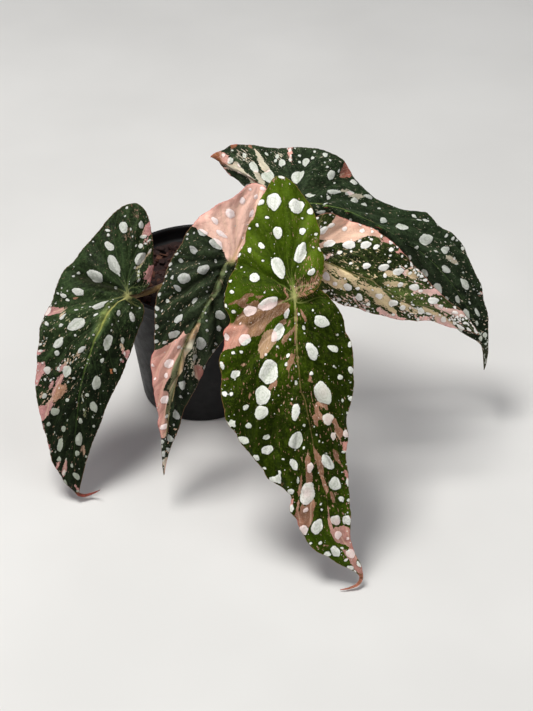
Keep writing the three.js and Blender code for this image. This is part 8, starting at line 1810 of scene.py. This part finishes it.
    # --- relief ---
    away = smooth(0.0, 4.0, edge)
    main = np.minimum(main, rib + 1.5)
    pillow = 1 - np.exp(-((np.minimum(main, 20) / 5.0) ** 2))
    quilt = 1 - np.exp(-((np.minimum(vein, 20) / 2.6) ** 2))
    relief = PILLOW[n] * (LOBE_PILLOW[n] + (1 - LOBE_PILLOW[n]) * smooth(0.85, 1.1, st)) * ((1.0 * (pillow - 0.55) + 0.22 * (quilt - 0.5)) * away - 0.30 * groove)
    lobe_rib = smooth(0.05, 0.9, st) if n != 3 else 0.6 * smooth(0.05, 0.9, st)
    relief = relief - 0.8 * np.exp(-((rib / (0.9 + 0.6 * rib_at[:, 1])) ** 2)) * smooth(2.0, 1.0, st) ** 0.3 * lobe_rib
    relief = relief + 0.9 * fbm(flat, 26.0, 20 + n, 2) + 0.18 * fbm(flat, 5.0, 40 + n, 2)
    ripple = fbm(flat, 10.0, 60 + n, 2)
    relief = relief + 1.6 * ripple * aa**4 * smooth(0.0, 12.0, wide)
    relief = relief + 0.34 * smooth(0.3, -1.0, spot)
    relief = relief - crease
    tip = smooth(2.0, 1.86, st)
    relief = relief * (0.15 + 0.85 * tip)
    inner = smooth(1.0, 9.0, heart)
    relief = relief * (0.25 + 0.75 * inner)

    # small blunt teeth along the margins
    outward = (across / (np.linalg.norm(across, axis=2)[..., None] + 1e-9)).reshape(-1, 3)
    arc = np.linalg.norm(np.diff(np.where(True, L, L), axis=0), axis=1)
    arc_l = np.r_[0, np.cumsum(arc)]
    arc_r = np.r_[0, np.cumsum(np.linalg.norm(np.diff(R, axis=0), axis=1))]
    arcs = np.where(left[None, :], arc_l[:, None], arc_r[:, None]).ravel()
    phase = arcs / 3.6 + 0.8 * noise3(np.stack([arcs, arcs * 0, arcs * 0 + n], -1), 9.0, 80)
    saw = phase - np.floor(phase)
    tooth = np.where(saw < 0.72, saw / 0.72, (1 - saw) / 0.28) * 0.42 - 0.15
    tooth = tooth * smooth(3.0, 8.0, wide) * (0.6 + 0.4 * noise3(np.stack([arcs, arcs * 0 + 5, arcs * 0 + n], -1), 14.0, 90))
    moved = flat + outward * (tooth * smooth(0.93, 1.0, aa))[:, None]

    nf = nrm.reshape(-1, 3)
    mid = moved + nf * relief[:, None]
    thick = 0.22 + 0.10 * away
    top_v = mid + nf * (thick * (0.35 + 0.65 * smooth(0.0, 0.6, edge)))[:, None]
    ridge = 0.95 * np.exp(-((rib / 1.1) ** 2)) * smooth(2.05, 1.2, st) + 0.35 * groove
    ridge = ridge * (0.15 + 0.85 * smooth(0.0, 0.1, np.abs(st)))
    tight = np.broadcast_to(smooth(1.0, 0.75, bow)[:, None], (nr, nc)).ravel()
    ridge = ridge * (1 - 0.85 * tight)
    low_v = mid - nf * (thick * (0.35 + 0.65 * smooth(0.0, 0.6, edge)) + ridge)[:, None]
    low_v[:, 2] = np.maximum(low_v[:, 2], 0.25)
    top_v[:, 2] = np.maximum(top_v[:, 2], 0.55)

    nv = len(flat)
    f = grid_faces(nr, nc)
    border = np.r_[np.arange(nc), np.arange(1, nr) * nc + nc - 1, (nr - 1) * nc + np.arange(nc - 2, -1, -1), np.arange(nr - 2, 0, -1) * nc]
    nxt = np.roll(border, -1)
    rimf = np.stack([border, nxt, nxt + nv, border + nv], -1)
    # which way is out
    e1 = g[nr // 2 + 1, nc // 2] - g[nr // 2, nc // 2]
    e2 = g[nr // 2, nc // 2 + 1] - g[nr // 2, nc // 2]
    if np.cross(e2, e1) @ nrm[nr // 2, nc // 2] < 0:
        topf, lowf, rimf = f[:, ::-1], f + nv, rimf
    else:
        topf, lowf, rimf = f, (f + nv)[:, ::-1], rimf[:, ::-1]
    faces = np.r_[topf, lowf, rimf]
    index = np.r_[np.zeros(len(f)), np.ones(len(f)), np.zeros(len(rimf))]
    two = lambda v: np.concatenate([v, v])
    ob = mesh_of(
        f"blade_{n}",
        np.r_[top_v, low_v],
        faces,
        {
            "rib": two(rib),
            "vein": two(vein),
            "edge": two(edge),
            "spot": two(spot),
            "varieg": two(varieg),
            "fleck": two(fleck),
            "fan_ax": two(fans[0][1]),
            "fan_ay": two(fans[0][2]),
            "fan_bx": two(fans[1][1] + 40.0),
            "fan_by": two(fans[1][2]),
            "lobe": two(lobe),
            "ribwide": two(rib_at[:, 1]),
            "ribtint": two(rib_at[:, 0]),
            "veintint": two(veintint),
            "dust": two(dust),
            "green_and_light": two(green_and_light),
            "heart": two(heart),
            "tail": two(tail),
            "rosy": two(rosy),
            "shade": two(shade),
        },
        {"tone": np.r_[tone, tone], "ribtone": two(rib_at[:, 2:5])},
        index,
    )
    ob.data.materials.append(upper)
    ob.data.materials.append(lower)
    return ob


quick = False
# the spot white is set per leaf: greyer on leaves 1, 2 and 4 as painted shade, near pure white on leaves 3 and 5
materials = {
    1: upper_material("leaf_1_upper", dark=lin(27, 37, 18), mid=lin(44, 60, 33), light=lin(72, 92, 54), painted_sheen=lin(136, 150, 84), spot_colour=lin(206, 207, 200), rim_colour=lin(118, 88, 58), rough=0.50, star_k=0.30, blush=0.5),
    2: upper_material("leaf_2_upper", dark=lin(25, 33, 18), mid=lin(43, 55, 33), light=lin(66, 80, 54), spot_colour=lin(198, 199, 194), rim_colour=lin(136, 98, 70), rough=0.48, smear=0.08, star_k=0.0, gloss=0.08, blush=1.0, grit=0.45, valley_shade_k=0.62, flush=(lin(255, 240, 236), lin(255, 220, 216))),
    3: upper_material("leaf_3_upper", dark=lin(46, 62, 3), mid=lin(64, 87, 6), light=lin(98, 121, 26), painted_sheen=lin(128, 148, 50), spot_colour=lin(250, 250, 243), rim_colour=lin(140, 106, 58), rough=0.50, star_k=0.55, grain=0.26, gloss=0.04, mottle=0.6),
    4: upper_material("leaf_4_upper", dark=lin(28, 39, 22), mid=lin(43, 57, 35), light=lin(72, 90, 60), spot_colour=lin(214, 217, 208), rim_colour=lin(116, 98, 76), rough=0.50, star_k=0.2),
    5: upper_material("leaf_5_upper", dark=lin(34, 45, 15), mid=lin(58, 73, 30), light=lin(96, 113, 56), spot_colour=lin(254, 252, 246), rim_colour=lin(190, 130, 112), rough=0.50, grain=0.5, smear=0.22, star_k=0.2, blush=0.25, net=0.4),
}
under = under_material("leaf_under")
for n in (1, 2, 3, 4, 5):
    ob = build_blade(n, materials[n], under, quick)
    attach(ob, "root")
    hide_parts(f"leaf_blade_{n}")


# ---------------------------------------------------------------------------------------------------
# tubes: stalks and cane
# ---------------------------------------------------------------------------------------------------
def sweep(path, radii, sides, name, bumps=0.0, seed=0, attributes=None):
    """A closed round body along (m, 3) points, denser than the table, with domed ends."""
    path = np.asarray(path, float)
    tang = np.gradient(path, axis=0)
    tang /= np.linalg.norm(tang, axis=1)[:, None]
    ref = np.array([1.0, 0, 0]) if abs(tang[0][0]) < 0.9 else np.array([0, 1.0, 0])
    u = ref - tang[0] * (ref @ tang[0])
    th = np.linspace(0, 2 * np.pi, sides, endpoint=False)
    rings = []
    for p, t, r in zip(path, tang, radii):
        u = u - t * (u @ t)
        u = u / np.linalg.norm(u)
        w = np.cross(t, u)
        rings.append(p + r * (np.cos(th)[:, None] * u + np.sin(th)[:, None] * w))
    g = np.array(rings)
    cen = path[:, None, :]
    rad = g - cen
    if bumps:
        g = cen + rad * (1 + bumps * fbm(g, 4.0, seed, 3))[..., None]
    m = len(path)
    verts = np.r_[g.reshape(-1, 3), path[:1] - tang[:1] * radii[0] * 0.2, path[-1:] + tang[-1:] * radii[-1] * 0.35]
    q = grid_faces(m, sides, True)
    a, b = m * sides, m * sides + 1
    k = np.arange(sides)
    faces = [tuple(r) for r in q]
    faces += [(a, (j + 1) % sides, j) for j in range(sides)]
    faces += [(b, (m - 1) * sides + j, (m - 1) * sides + (j + 1) % sides) for j in range(sides)]
    share = np.r_[np.repeat(np.linspace(0, 1, m), sides), 0, 1]
    at = {"share": share}
    for key, v in (attributes or {}).items():
        at[key] = np.r_[np.repeat(v, sides), v[0], v[-1]]
    return mesh_of(name, verts, faces, at)


def stalk_material():
    s = Nodes("stalk_skin")
    share = s.attr("share")
    cloud = s.noise(90.0, 4.0, 0.6)
    streak = s.noise(1.0, 4.0, 0.6, s.stretch(900, 900, 160))
    colour = s.mix(s.ramp(cloud, 0.35, 0.68), lin(104, 82, 44), lin(134, 110, 62))
    colour = s.mix(s.ramp(share, 0.45, 0.0, 0.0, 0.7), colour, lin(122, 62, 46))
    colour = s.mix(s.ramp(streak, 0.45, 0.75, 0.0, 0.5), colour, lin(150, 128, 78))
    dots = s.math("MULTIPLY", s.ramp(s.voronoi(520.0), 0.20, 0.10), 0.6)
    colour = s.mix(dots, colour, lin(176, 160, 120))
    b = s.bump(streak, 0.4, 0.0003)
    s.shader(colour, s.ramp(cloud, 0.3, 0.7, 0.36, 0.5), b, Specular_IOR_Level=0.5)
    return s.mat


def cane_material():
    s = Nodes("cane_skin")
    knot = s.attr("knot")
    cloud = s.noise(80.0, 4.0, 0.6)
    streak = s.noise(1.0, 4.0, 0.6, s.stretch(700, 700, 120))
    colour = s.mix(s.ramp(cloud, 0.35, 0.68), lin(74, 84, 40), lin(110, 112, 58))
    colour = s.mix(s.ramp(streak, 0.45, 0.7, 0.0, 0.45), colour, lin(126, 104, 62))
    colour = s.mix(s.ramp(knot, 0.1, 0.9, 0.0, 0.85), colour, lin(110, 82, 58))
    colour = s.mix(s.math("MULTIPLY", s.ramp(s.voronoi(420.0), 0.18, 0.08), 0.7), colour, lin(170, 160, 124))
    b = s.bump(streak, 0.4, 0.0004)
    b = s.bump(s.noise(600.0, 3.0, 0.6), 0.3, 0.0003, b)
    s.shader(colour, s.ramp(cloud, 0.3, 0.7, 0.42, 0.58), b, Specular_IOR_Level=0.45)
    return s.mat


stalk_mat = stalk_material()
cane_path = np.array(CANE, float)
for n, pts in STALKS.items():
    t = np.array(pts, float)
    x = np.arange(len(t), dtype=float)
    q = np.linspace(0, x[-1], 90)
    d = hermite(x, t, q)
    path, rad = d[:, :3], d[:, 3].copy()
    # the base widens where it joins the cane; the radii of the table narrow it towards the midrib
    share = q / x[-1]
    rad = rad + 0.9 * np.exp(-((share / 0.045) ** 2))
    start = path[0] - path[3]
    start /= np.linalg.norm(start)
    lead = np.array([path[0] + start * v for v in (2.2, 1.1)])
    path = np.r_[lead, path]
    rad = np.r_[[rad[0] + 0.25, rad[0] + 0.1], rad]
    ob = sweep(path, rad, 20, f"stalk_{n}", 0.05, n)
    ob.data.materials.append(stalk_mat)
    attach(ob, "root")
    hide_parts(f"leaf_stalk_{n}")

t = cane_path
x = np.r_[0, np.cumsum(np.linalg.norm(np.diff(t[:, :3], axis=0), axis=1))]
q = np.linspace(0, x[-1], 170)
d = hermite(x, t, q)
knot = np.zeros(len(q))
for k in (2, 3, 4, 5, 6):
    knot = np.maximum(knot, np.exp(-(((q - x[k]) / 1.5) ** 2)))
ring = np.zeros(len(q))
for k in (2, 3, 4, 5, 6):
    ring += 0.28 * np.exp(-(((q - x[k] - 1.6) / 0.45) ** 2)) - 0.22 * np.exp(-(((q - x[k] - 0.6) / 0.4) ** 2))
ob = sweep(d[:, :3], d[:, 3] + 0.75 * knot + ring, 28, "cane_detail", 0.05, 30, {"knot": knot})
ob.data.materials.append(cane_material())
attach(ob, "root")
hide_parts("cane")


# ---------------------------------------------------------------------------------------------------
# growing tip: two clasping scales round a folded young leaf
# ---------------------------------------------------------------------------------------------------
def bud_material():
    s = Nodes("bud_skin")
    cloud = s.noise(200.0, 4.0, 0.6)
    colour = s.mix(s.ramp(s.attr("share"), 0.1, 0.9), lin(126, 122, 66), lin(168, 84, 70))
    colour = s.mix(s.ramp(cloud, 0.4, 0.7, 0.0, 0.5), colour, lin(190, 128, 104))
    b = s.bump(s.noise(1.0, 3.0, 0.6, s.stretch(1400, 1400, 220)), 0.45, 0.0003)
    s.shader(colour, s.ramp(cloud, 0.3, 0.7, 0.38, 0.52), b, Specular_IOR_Level=0.45)
    return s.mat


tipp = cane_path[-1, :3]
axis = np.array([0.03, 0.23, 0.97])
parts_v, parts_f, parts_s, off = [], [], [], 0
for turn, size, lean, lift in ((0.0, 1.0, 0.0, 0.0), (2.2, 0.82, 0.30, -0.6), (4.3, 0.70, 0.38, -0.8)):
    m, sd = 26, 18
    for i in range(m):
        v = i / (m - 1)
        r = 2.75 * size * (math.sin(math.pi * min(1, v * 0.86 + 0.16)) ** 0.8) * (1 - v * 0.25)
        r = max(r, 0.12)
        mid = tipp + np.array([0.5 * math.sin(v * 2) + lean * 4 * v * math.cos(turn), -0.4 + 2.9 * v * v + lean * 4 * v * math.sin(turn) * 0.6, 0.6 + lift + 10.6 * size * v])
        for k in range(sd):
            w = 2 * math.pi * k / sd
            flatk = 0.72 if turn else 1.0
            dx, dy = r * math.cos(w), r * flatk * math.sin(w)
            cx = dx * math.cos(turn) - dy * math.sin(turn)
            cy = dx * math.sin(turn) + dy * math.cos(turn)
            parts_v.append(mid + np.array([cx, cy, 0]))
            parts_s.append(v)
    for i in range(m - 1):
        for k in range(sd):
            p0, p1 = off + i * sd + k, off + i * sd + (k + 1) % sd
            parts_f.append((p0, p1, p1 + sd, p0 + sd))
    parts_f.append(tuple(off + k for k in range(sd))[::-1])
    parts_f.append(tuple(off + (m - 1) * sd + k for k in range(sd)))
    off += m * sd
ob = mesh_of("bud", np.array(parts_v), parts_f, {"share": parts_s})
ob.data.materials.append(bud_material())
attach(ob, "root")
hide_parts("shoot_tip")


# ---------------------------------------------------------------------------------------------------
# pot
# ---------------------------------------------------------------------------------------------------
def pot_material():
    s = Nodes("pot_plastic")
    cloud = s.noise(40.0, 4.0, 0.6)
    grain = s.noise(2600.0, 2.0, 0.5)
    dust = s.math("MULTIPLY", s.ramp(s.noise(120.0, 5.0, 0.7), 0.52, 0.75), 0.22)
    colour = s.mix(s.ramp(cloud, 0.3, 0.7), lin(10, 10, 11), lin(17, 17, 18))
    colour = s.mix(dust, colour, lin(58, 54, 50))
    scuff = s.ramp(s.noise(1.0, 3.0, 0.6, s.stretch(300, 300, 2200)), 0.6, 0.75, 0.0, 0.3)
    colour = s.mix(scuff, colour, lin(44, 44, 45))
    b = s.bump(grain, 0.25, 0.0002)
    s.shader(colour, s.ramp(s.noise(150.0, 4.0, 0.6), 0.3, 0.7, 0.46, 0.62), b, Specular_IOR_Level=0.26)
    return s.mat


def wall_at(z):
    return BASE_R + (WALL_TOP_R - BASE_R) * z / (POT_H - LIP_H)


lip = POT_H - LIP_H
profile = [
    (1.5, 0.0), (16.0, 0.0), (BASE_R - 1.4, 0.0), (BASE_R - 0.5, 0.3), (BASE_R - 0.05, 1.1), (wall_at(2.5), 2.5),
    (wall_at(20), 20), (wall_at(40), 40), (wall_at(60), 60), (wall_at(74) , 74), (WALL_TOP_R - 0.05, lip - 0.9), (WALL_TOP_R + 0.25, lip - 0.15),
    (WALL_TOP_R + 1.2, lip + 0.05), (RIM_R - 1.15, lip + 0.12), (RIM_R - 0.85, lip + 0.5), (RIM_R - 0.75, lip + 3.0), (RIM_R - 0.65, POT_H - 2.2), (RIM_R - 0.35, POT_H - 1.6),
    (RIM_R - 0.02, POT_H - 1.1), (RIM_R, POT_H - 0.6), (RIM_R - 0.25, POT_H - 0.12), (RIM_R - 0.8, POT_H), (RIM_R - 1.6, POT_H - 0.03), (RIM_R - 2.1, POT_H - 0.35),
    (RIM_R - 2.35, POT_H - 1.1), (RIM_R - 2.45, POT_H - 3.0), (RIM_R - 2.55, lip + 1.6), (RIM_R - 3.2, lip + 0.7), (WALL_TOP_R - WALL + 0.1, lip + 0.1), (WALL_TOP_R - WALL, lip - 0.8),
    (wall_at(60) - WALL, 60), (wall_at(40) - WALL, 40), (wall_at(20) - WALL, 20), (BASE_R - WALL, 3.0), (BASE_R - WALL - 0.8, 2.05), (16.0, 2.0), (1.5, 2.0),
]
sides = 144
verts, faces = [], []
for k in range(sides):
    w = 2 * math.pi * k / sides
    for r, z in profile:
        verts.append((r * math.cos(w), r * math.sin(w), z))
m = len(profile)
HOLES = 8
hole_mid, hole_half = 24.0, 3.6
for k in range(sides):
    k2 = (k + 1) % sides
    for i in range(m):
        i2 = (i + 1) % m
        if i2 == 0:
            faces.append((k * m + i, k2 * m + i, k2 * m, k * m))
        else:
            faces.append((k * m + i, k2 * m + i, k2 * m + i2, k * m + i2))
pot = mesh_of("pot_detail", verts, faces)
holes = []
for k in range(HOLES):
    w = 2 * math.pi * (k + 0.5) / HOLES
    bpy.ops.mesh.primitive_cylinder_add(vertices=32, radius=hole_half * MM, depth=8 * MM, location=(hole_mid * MM * math.cos(w), hole_mid * MM * math.sin(w), 1 * MM))
    holes.append(bpy.context.object)
bpy.ops.object.select_all(action="DESELECT")
for h in holes:
    h.select_set(True)
bpy.context.view_layer.objects.active = holes[0]
bpy.ops.object.join()
cut = bpy.context.object
mod = pot.modifiers.new("holes", "BOOLEAN")
mod.operation = "DIFFERENCE"
mod.solver = "EXACT"
mod.object = cut
bpy.context.view_layer.objects.active = pot
bpy.ops.object.select_all(action="DESELECT")
pot.select_set(True)
bpy.ops.object.modifier_apply(modifier="holes")
bpy.data.objects.remove(cut)
for p in pot.data.polygons:
    p.use_smooth = True
pot.data.materials.clear()
pot.data.materials.append(pot_material())
mod = pot.modifiers.new("edges", "EDGE_SPLIT")
mod.split_angle = math.radians(50)
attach(pot, "root")
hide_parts("nursery_pot")


# ---------------------------------------------------------------------------------------------------
# potting mix: a lumpy bed and loose bark and coconut chips
# ---------------------------------------------------------------------------------------------------
def soil_material():
    s = Nodes("bark_mix")
    chip = s.attr("chip")
    cloud = s.noise(160.0, 5.0, 0.65)
    fine = s.noise(1400.0, 4.0, 0.7)
    colour = s.mix(s.ramp(chip, 0.0, 0.6), lin(34, 18, 15), lin(62, 32, 25))
    colour = s.mix(s.ramp(chip, 0.7, 1.0), colour, lin(96, 60, 42))
    colour = s.mix(s.ramp(cloud, 0.42, 0.72, 0.0, 0.65), colour, lin(20, 10, 9))
    colour = s.mix(s.ramp(fine, 0.52, 0.74, 0.0, 0.4), colour, lin(88, 50, 38))
    b = s.bump(fine, 0.7, 0.0006)
    b = s.bump(s.noise(1.0, 4.0, 0.65, s.stretch(500, 1800, 1800)), 0.5, 0.0005, b)
    s.shader(colour, s.ramp(cloud, 0.3, 0.7, 0.62, 0.9), b, Specular_IOR_Level=0.35)
    return s.mat


def lump(x, y):
    return 1.5 * (
        0.5 * np.sin(0.31 * x + 1.3) * np.cos(0.27 * y - 0.4)
        + 0.3 * np.sin(0.63 * x - 0.5 * y + 2.1)
        + 0.2 * np.cos(0.8 * y + 0.45 * x)
    )


rnd = np.random.default_rng(5)
inner = wall_at(76) - WALL - 0.35
nr, ns = 46, 120
rr = np.linspace(0.02, 1, nr)
w = np.linspace(0, 2 * np.pi, ns, endpoint=False)
X = inner * rr[:, None] * np.cos(w)
Y = inner * rr[:, None] * np.sin(w)
Z = SOIL_TOP - 0.9 + lump(X, Y) + 2.2 * smooth(0.70, 0.95, rr)[:, None]
P = np.stack([X, Y, Z], -1)
Z = Z + 0.9 * fbm(P * [1, 1, 0], 5.0, 70, 3) + 0.5 * fbm(P * [1, 1, 0], 1.6, 71, 2)
P = np.stack([X, Y, Z], -1)
low = []
for z in (70.0, 40.0, 3.0):
    r = wall_at(z) - WALL - 0.4
    low.append(np.stack([r * np.cos(w), r * np.sin(w), np.full(ns, z)], -1))
allp = np.r_[P, np.array(low)].reshape(-1, 3)
faces = [tuple(f) for f in grid_faces(nr + 3, ns, True)]
top_i, low_i = len(allp), len(allp) + 1
allp = np.r_[allp, [[0, 0, P[0, :, 2].mean()]], [[0, 0, 2.4]]]
faces += [(top_i, (k + 1) % ns, k)[::-1] for k in range(ns)]
faces += [(low_i, (nr + 2) * ns + (k + 1) % ns, (nr + 2) * ns + k)[::-1] for k in range(ns)]
verts = [allp]
chips = [np.full(len(allp), 0.12)]
off = len(allp)
cube = np.array([[x, y, z] for x in (-1, 1) for y in (-1, 1) for z in (-1, 1)], float)
cube_f = [(0, 1, 3, 2), (4, 6, 7, 5), (0, 4, 5, 1), (2, 3, 7, 6), (0, 2, 6, 4), (1, 5, 7, 3)]


def stone(sub=2):
    """A closed block of (sub+1) points a side, on a cube's faces."""
    pts, fcs, index = [], [], {}
    for axis in range(3):
        for sign in (-1, 1):
            ids = []
            for i in range(sub + 1):
                for j in range(sub + 1):
                    p = [0, 0, 0]
                    p[axis] = sign * sub
                    p[(axis + 1) % 3] = 2 * i - sub
                    p[(axis + 2) % 3] = 2 * j - sub
                    key = tuple(p)
                    if key not in index:
                        index[key] = len(pts)
                        pts.append(key)
                    ids.append(index[key])
            for i in range(sub):
                for j in range(sub):
                    a, b, c2, d2 = ids[i * (sub + 1) + j], ids[(i + 1) * (sub + 1) + j], ids[(i + 1) * (sub + 1) + j + 1], ids[i * (sub + 1) + j + 1]
                    fcs.append((a, b, c2, d2) if sign > 0 else (d2, c2, b, a))
    return np.array(pts, float) / sub, fcs


block, block_f = stone(3)
soft = block / (np.linalg.norm(block, axis=1)[:, None] ** 0.55)
cane_xy = cane_path[1, :2]
count = 150 if quick else 620
for k in range(count):
    r = inner * math.sqrt(rnd.uniform(0.0, 0.985))
    a0 = rnd.uniform(0, 2 * math.pi)
    x0, y0 = r * math.cos(a0), r * math.sin(a0)
    size = rnd.choice([0.9, 1.4, 2.1, 3.0], p=[0.35, 0.35, 0.2, 0.1])
    if math.hypot(x0 - cane_xy[0], y0 - cane_xy[1]) < 5.6 + size or r + size * 1.4 > inner:
        continue
    dims = np.array([size * rnd.uniform(1.0, 2.0), size * rnd.uniform(0.6, 1.0), size * rnd.uniform(0.25, 0.6)])
    body = soft * dims
    body = body + 0.28 * size * np.stack([fbm(body + k * 3.1, size * 1.4, s_, 2) for s_ in (1, 2, 3)], -1)
    rot = np.array(Matrix.Rotation(rnd.uniform(0, 6.28), 3, "Z") @ Matrix.Rotation(rnd.normal(0, 0.35), 3, "X") @ Matrix.Rotation(rnd.normal(0, 0.35), 3, "Y"))
    z0 = SOIL_TOP - 0.9 + lump(x0, y0) + 2.2 * smooth(0.70, 0.95, r / inner) + dims[2] * rnd.uniform(0.1, 0.9)
    body = body @ rot.T + (x0, y0, z0)
    body[:, 2] = np.minimum(body[:, 2], 82.5)
    verts.append(body)
    faces += [tuple(off + i for i in f) for f in block_f]
    chips.append(np.full(len(body), rnd.random()))
    off += len(body)
ob = mesh_of("mix_detail", np.concatenate(verts), faces, {"chip": np.concatenate(chips)})
ob.data.materials.append(soil_material())
mod = ob.modifiers.new("edges", "EDGE_SPLIT")
mod.split_angle = math.radians(55)
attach(ob, "root")
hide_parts("potting_mix")


# ---------------------------------------------------------------------------------------------------
# floor, lights, camera
# ---------------------------------------------------------------------------------------------------
def floor_material():
    s = Nodes("floor")
    n = s.noise(6.0, 3.0, 0.5)
    colour = s.mix(s.ramp(n, 0.3, 0.7), lin(222, 221, 218), lin(228, 227, 224))
    s.shader(colour, s.ramp(n, 0.3, 0.7, 0.55, 0.65), None, Specular_IOR_Level=0.2)
    return s.mat


bpy.ops.mesh.primitive_plane_add(size=14.0, location=(0, 0, 0))
floor = bpy.context.object
floor.name = "floor"
floor.data.materials.append(floor_material())

world = bpy.data.worlds.new("studio")
world.use_nodes = True
bg = world.node_tree.nodes["Background"]
bg.inputs[0].default_value = (0.90, 0.93, 1.0, 1)
bg.inputs[1].default_value = 0.24
bpy.context.scene.world = world


def area(name, loc, target, size, power, colour=(1, 1, 1)):
    data = bpy.data.lights.new(name, "AREA")
    data.shape = "RECTANGLE"
    data.size, data.size_y = size
    data.energy = power
    data.color = colour
    ob = bpy.data.objects.new(name, data)
    bpy.context.scene.collection.objects.link(ob)
    ob.location = loc
    d = Vector(target) - Vector(loc)
    ob.rotation_euler = d.to_track_quat("-Z", "Y").to_euler()
    return ob


area("key", (-0.30, -0.05, 1.30), (0.02, -0.06, 0.08), (0.50, 0.40), 15.0, (1.0, 0.985, 0.96))
area("fill", (0.80, -0.75, 0.75), (0.08, -0.06, 0.10), (0.8, 0.8), 3.0, (1.0, 0.99, 0.97))
area("side", (-1.0, -0.4, 0.5), (0.0, -0.05, 0.08), (0.7, 0.7), 1.2, (1.0, 1.0, 1.0))

cam = bpy.data.cameras.new("view")
cam.sensor_fit = "AUTO"
cam.sensor_width = 36.0
cam.lens = 1700.0 * 36.0 / 711.0
cam.clip_start, cam.clip_end = 0.05, 20.0
camera = bpy.data.objects.new("view", cam)
bpy.context.scene.collection.objects.link(camera)
camera.location = tuple(EYE * MM)
camera.rotation_euler = (math.radians(54.0), 0.0, 0.0)
bpy.context.scene.camera = camera
bpy.context.scene.view_settings.view_transform = "Standard"
bpy.context.scene.view_settings.exposure = 0.0

bpy.context.view_layer.update()
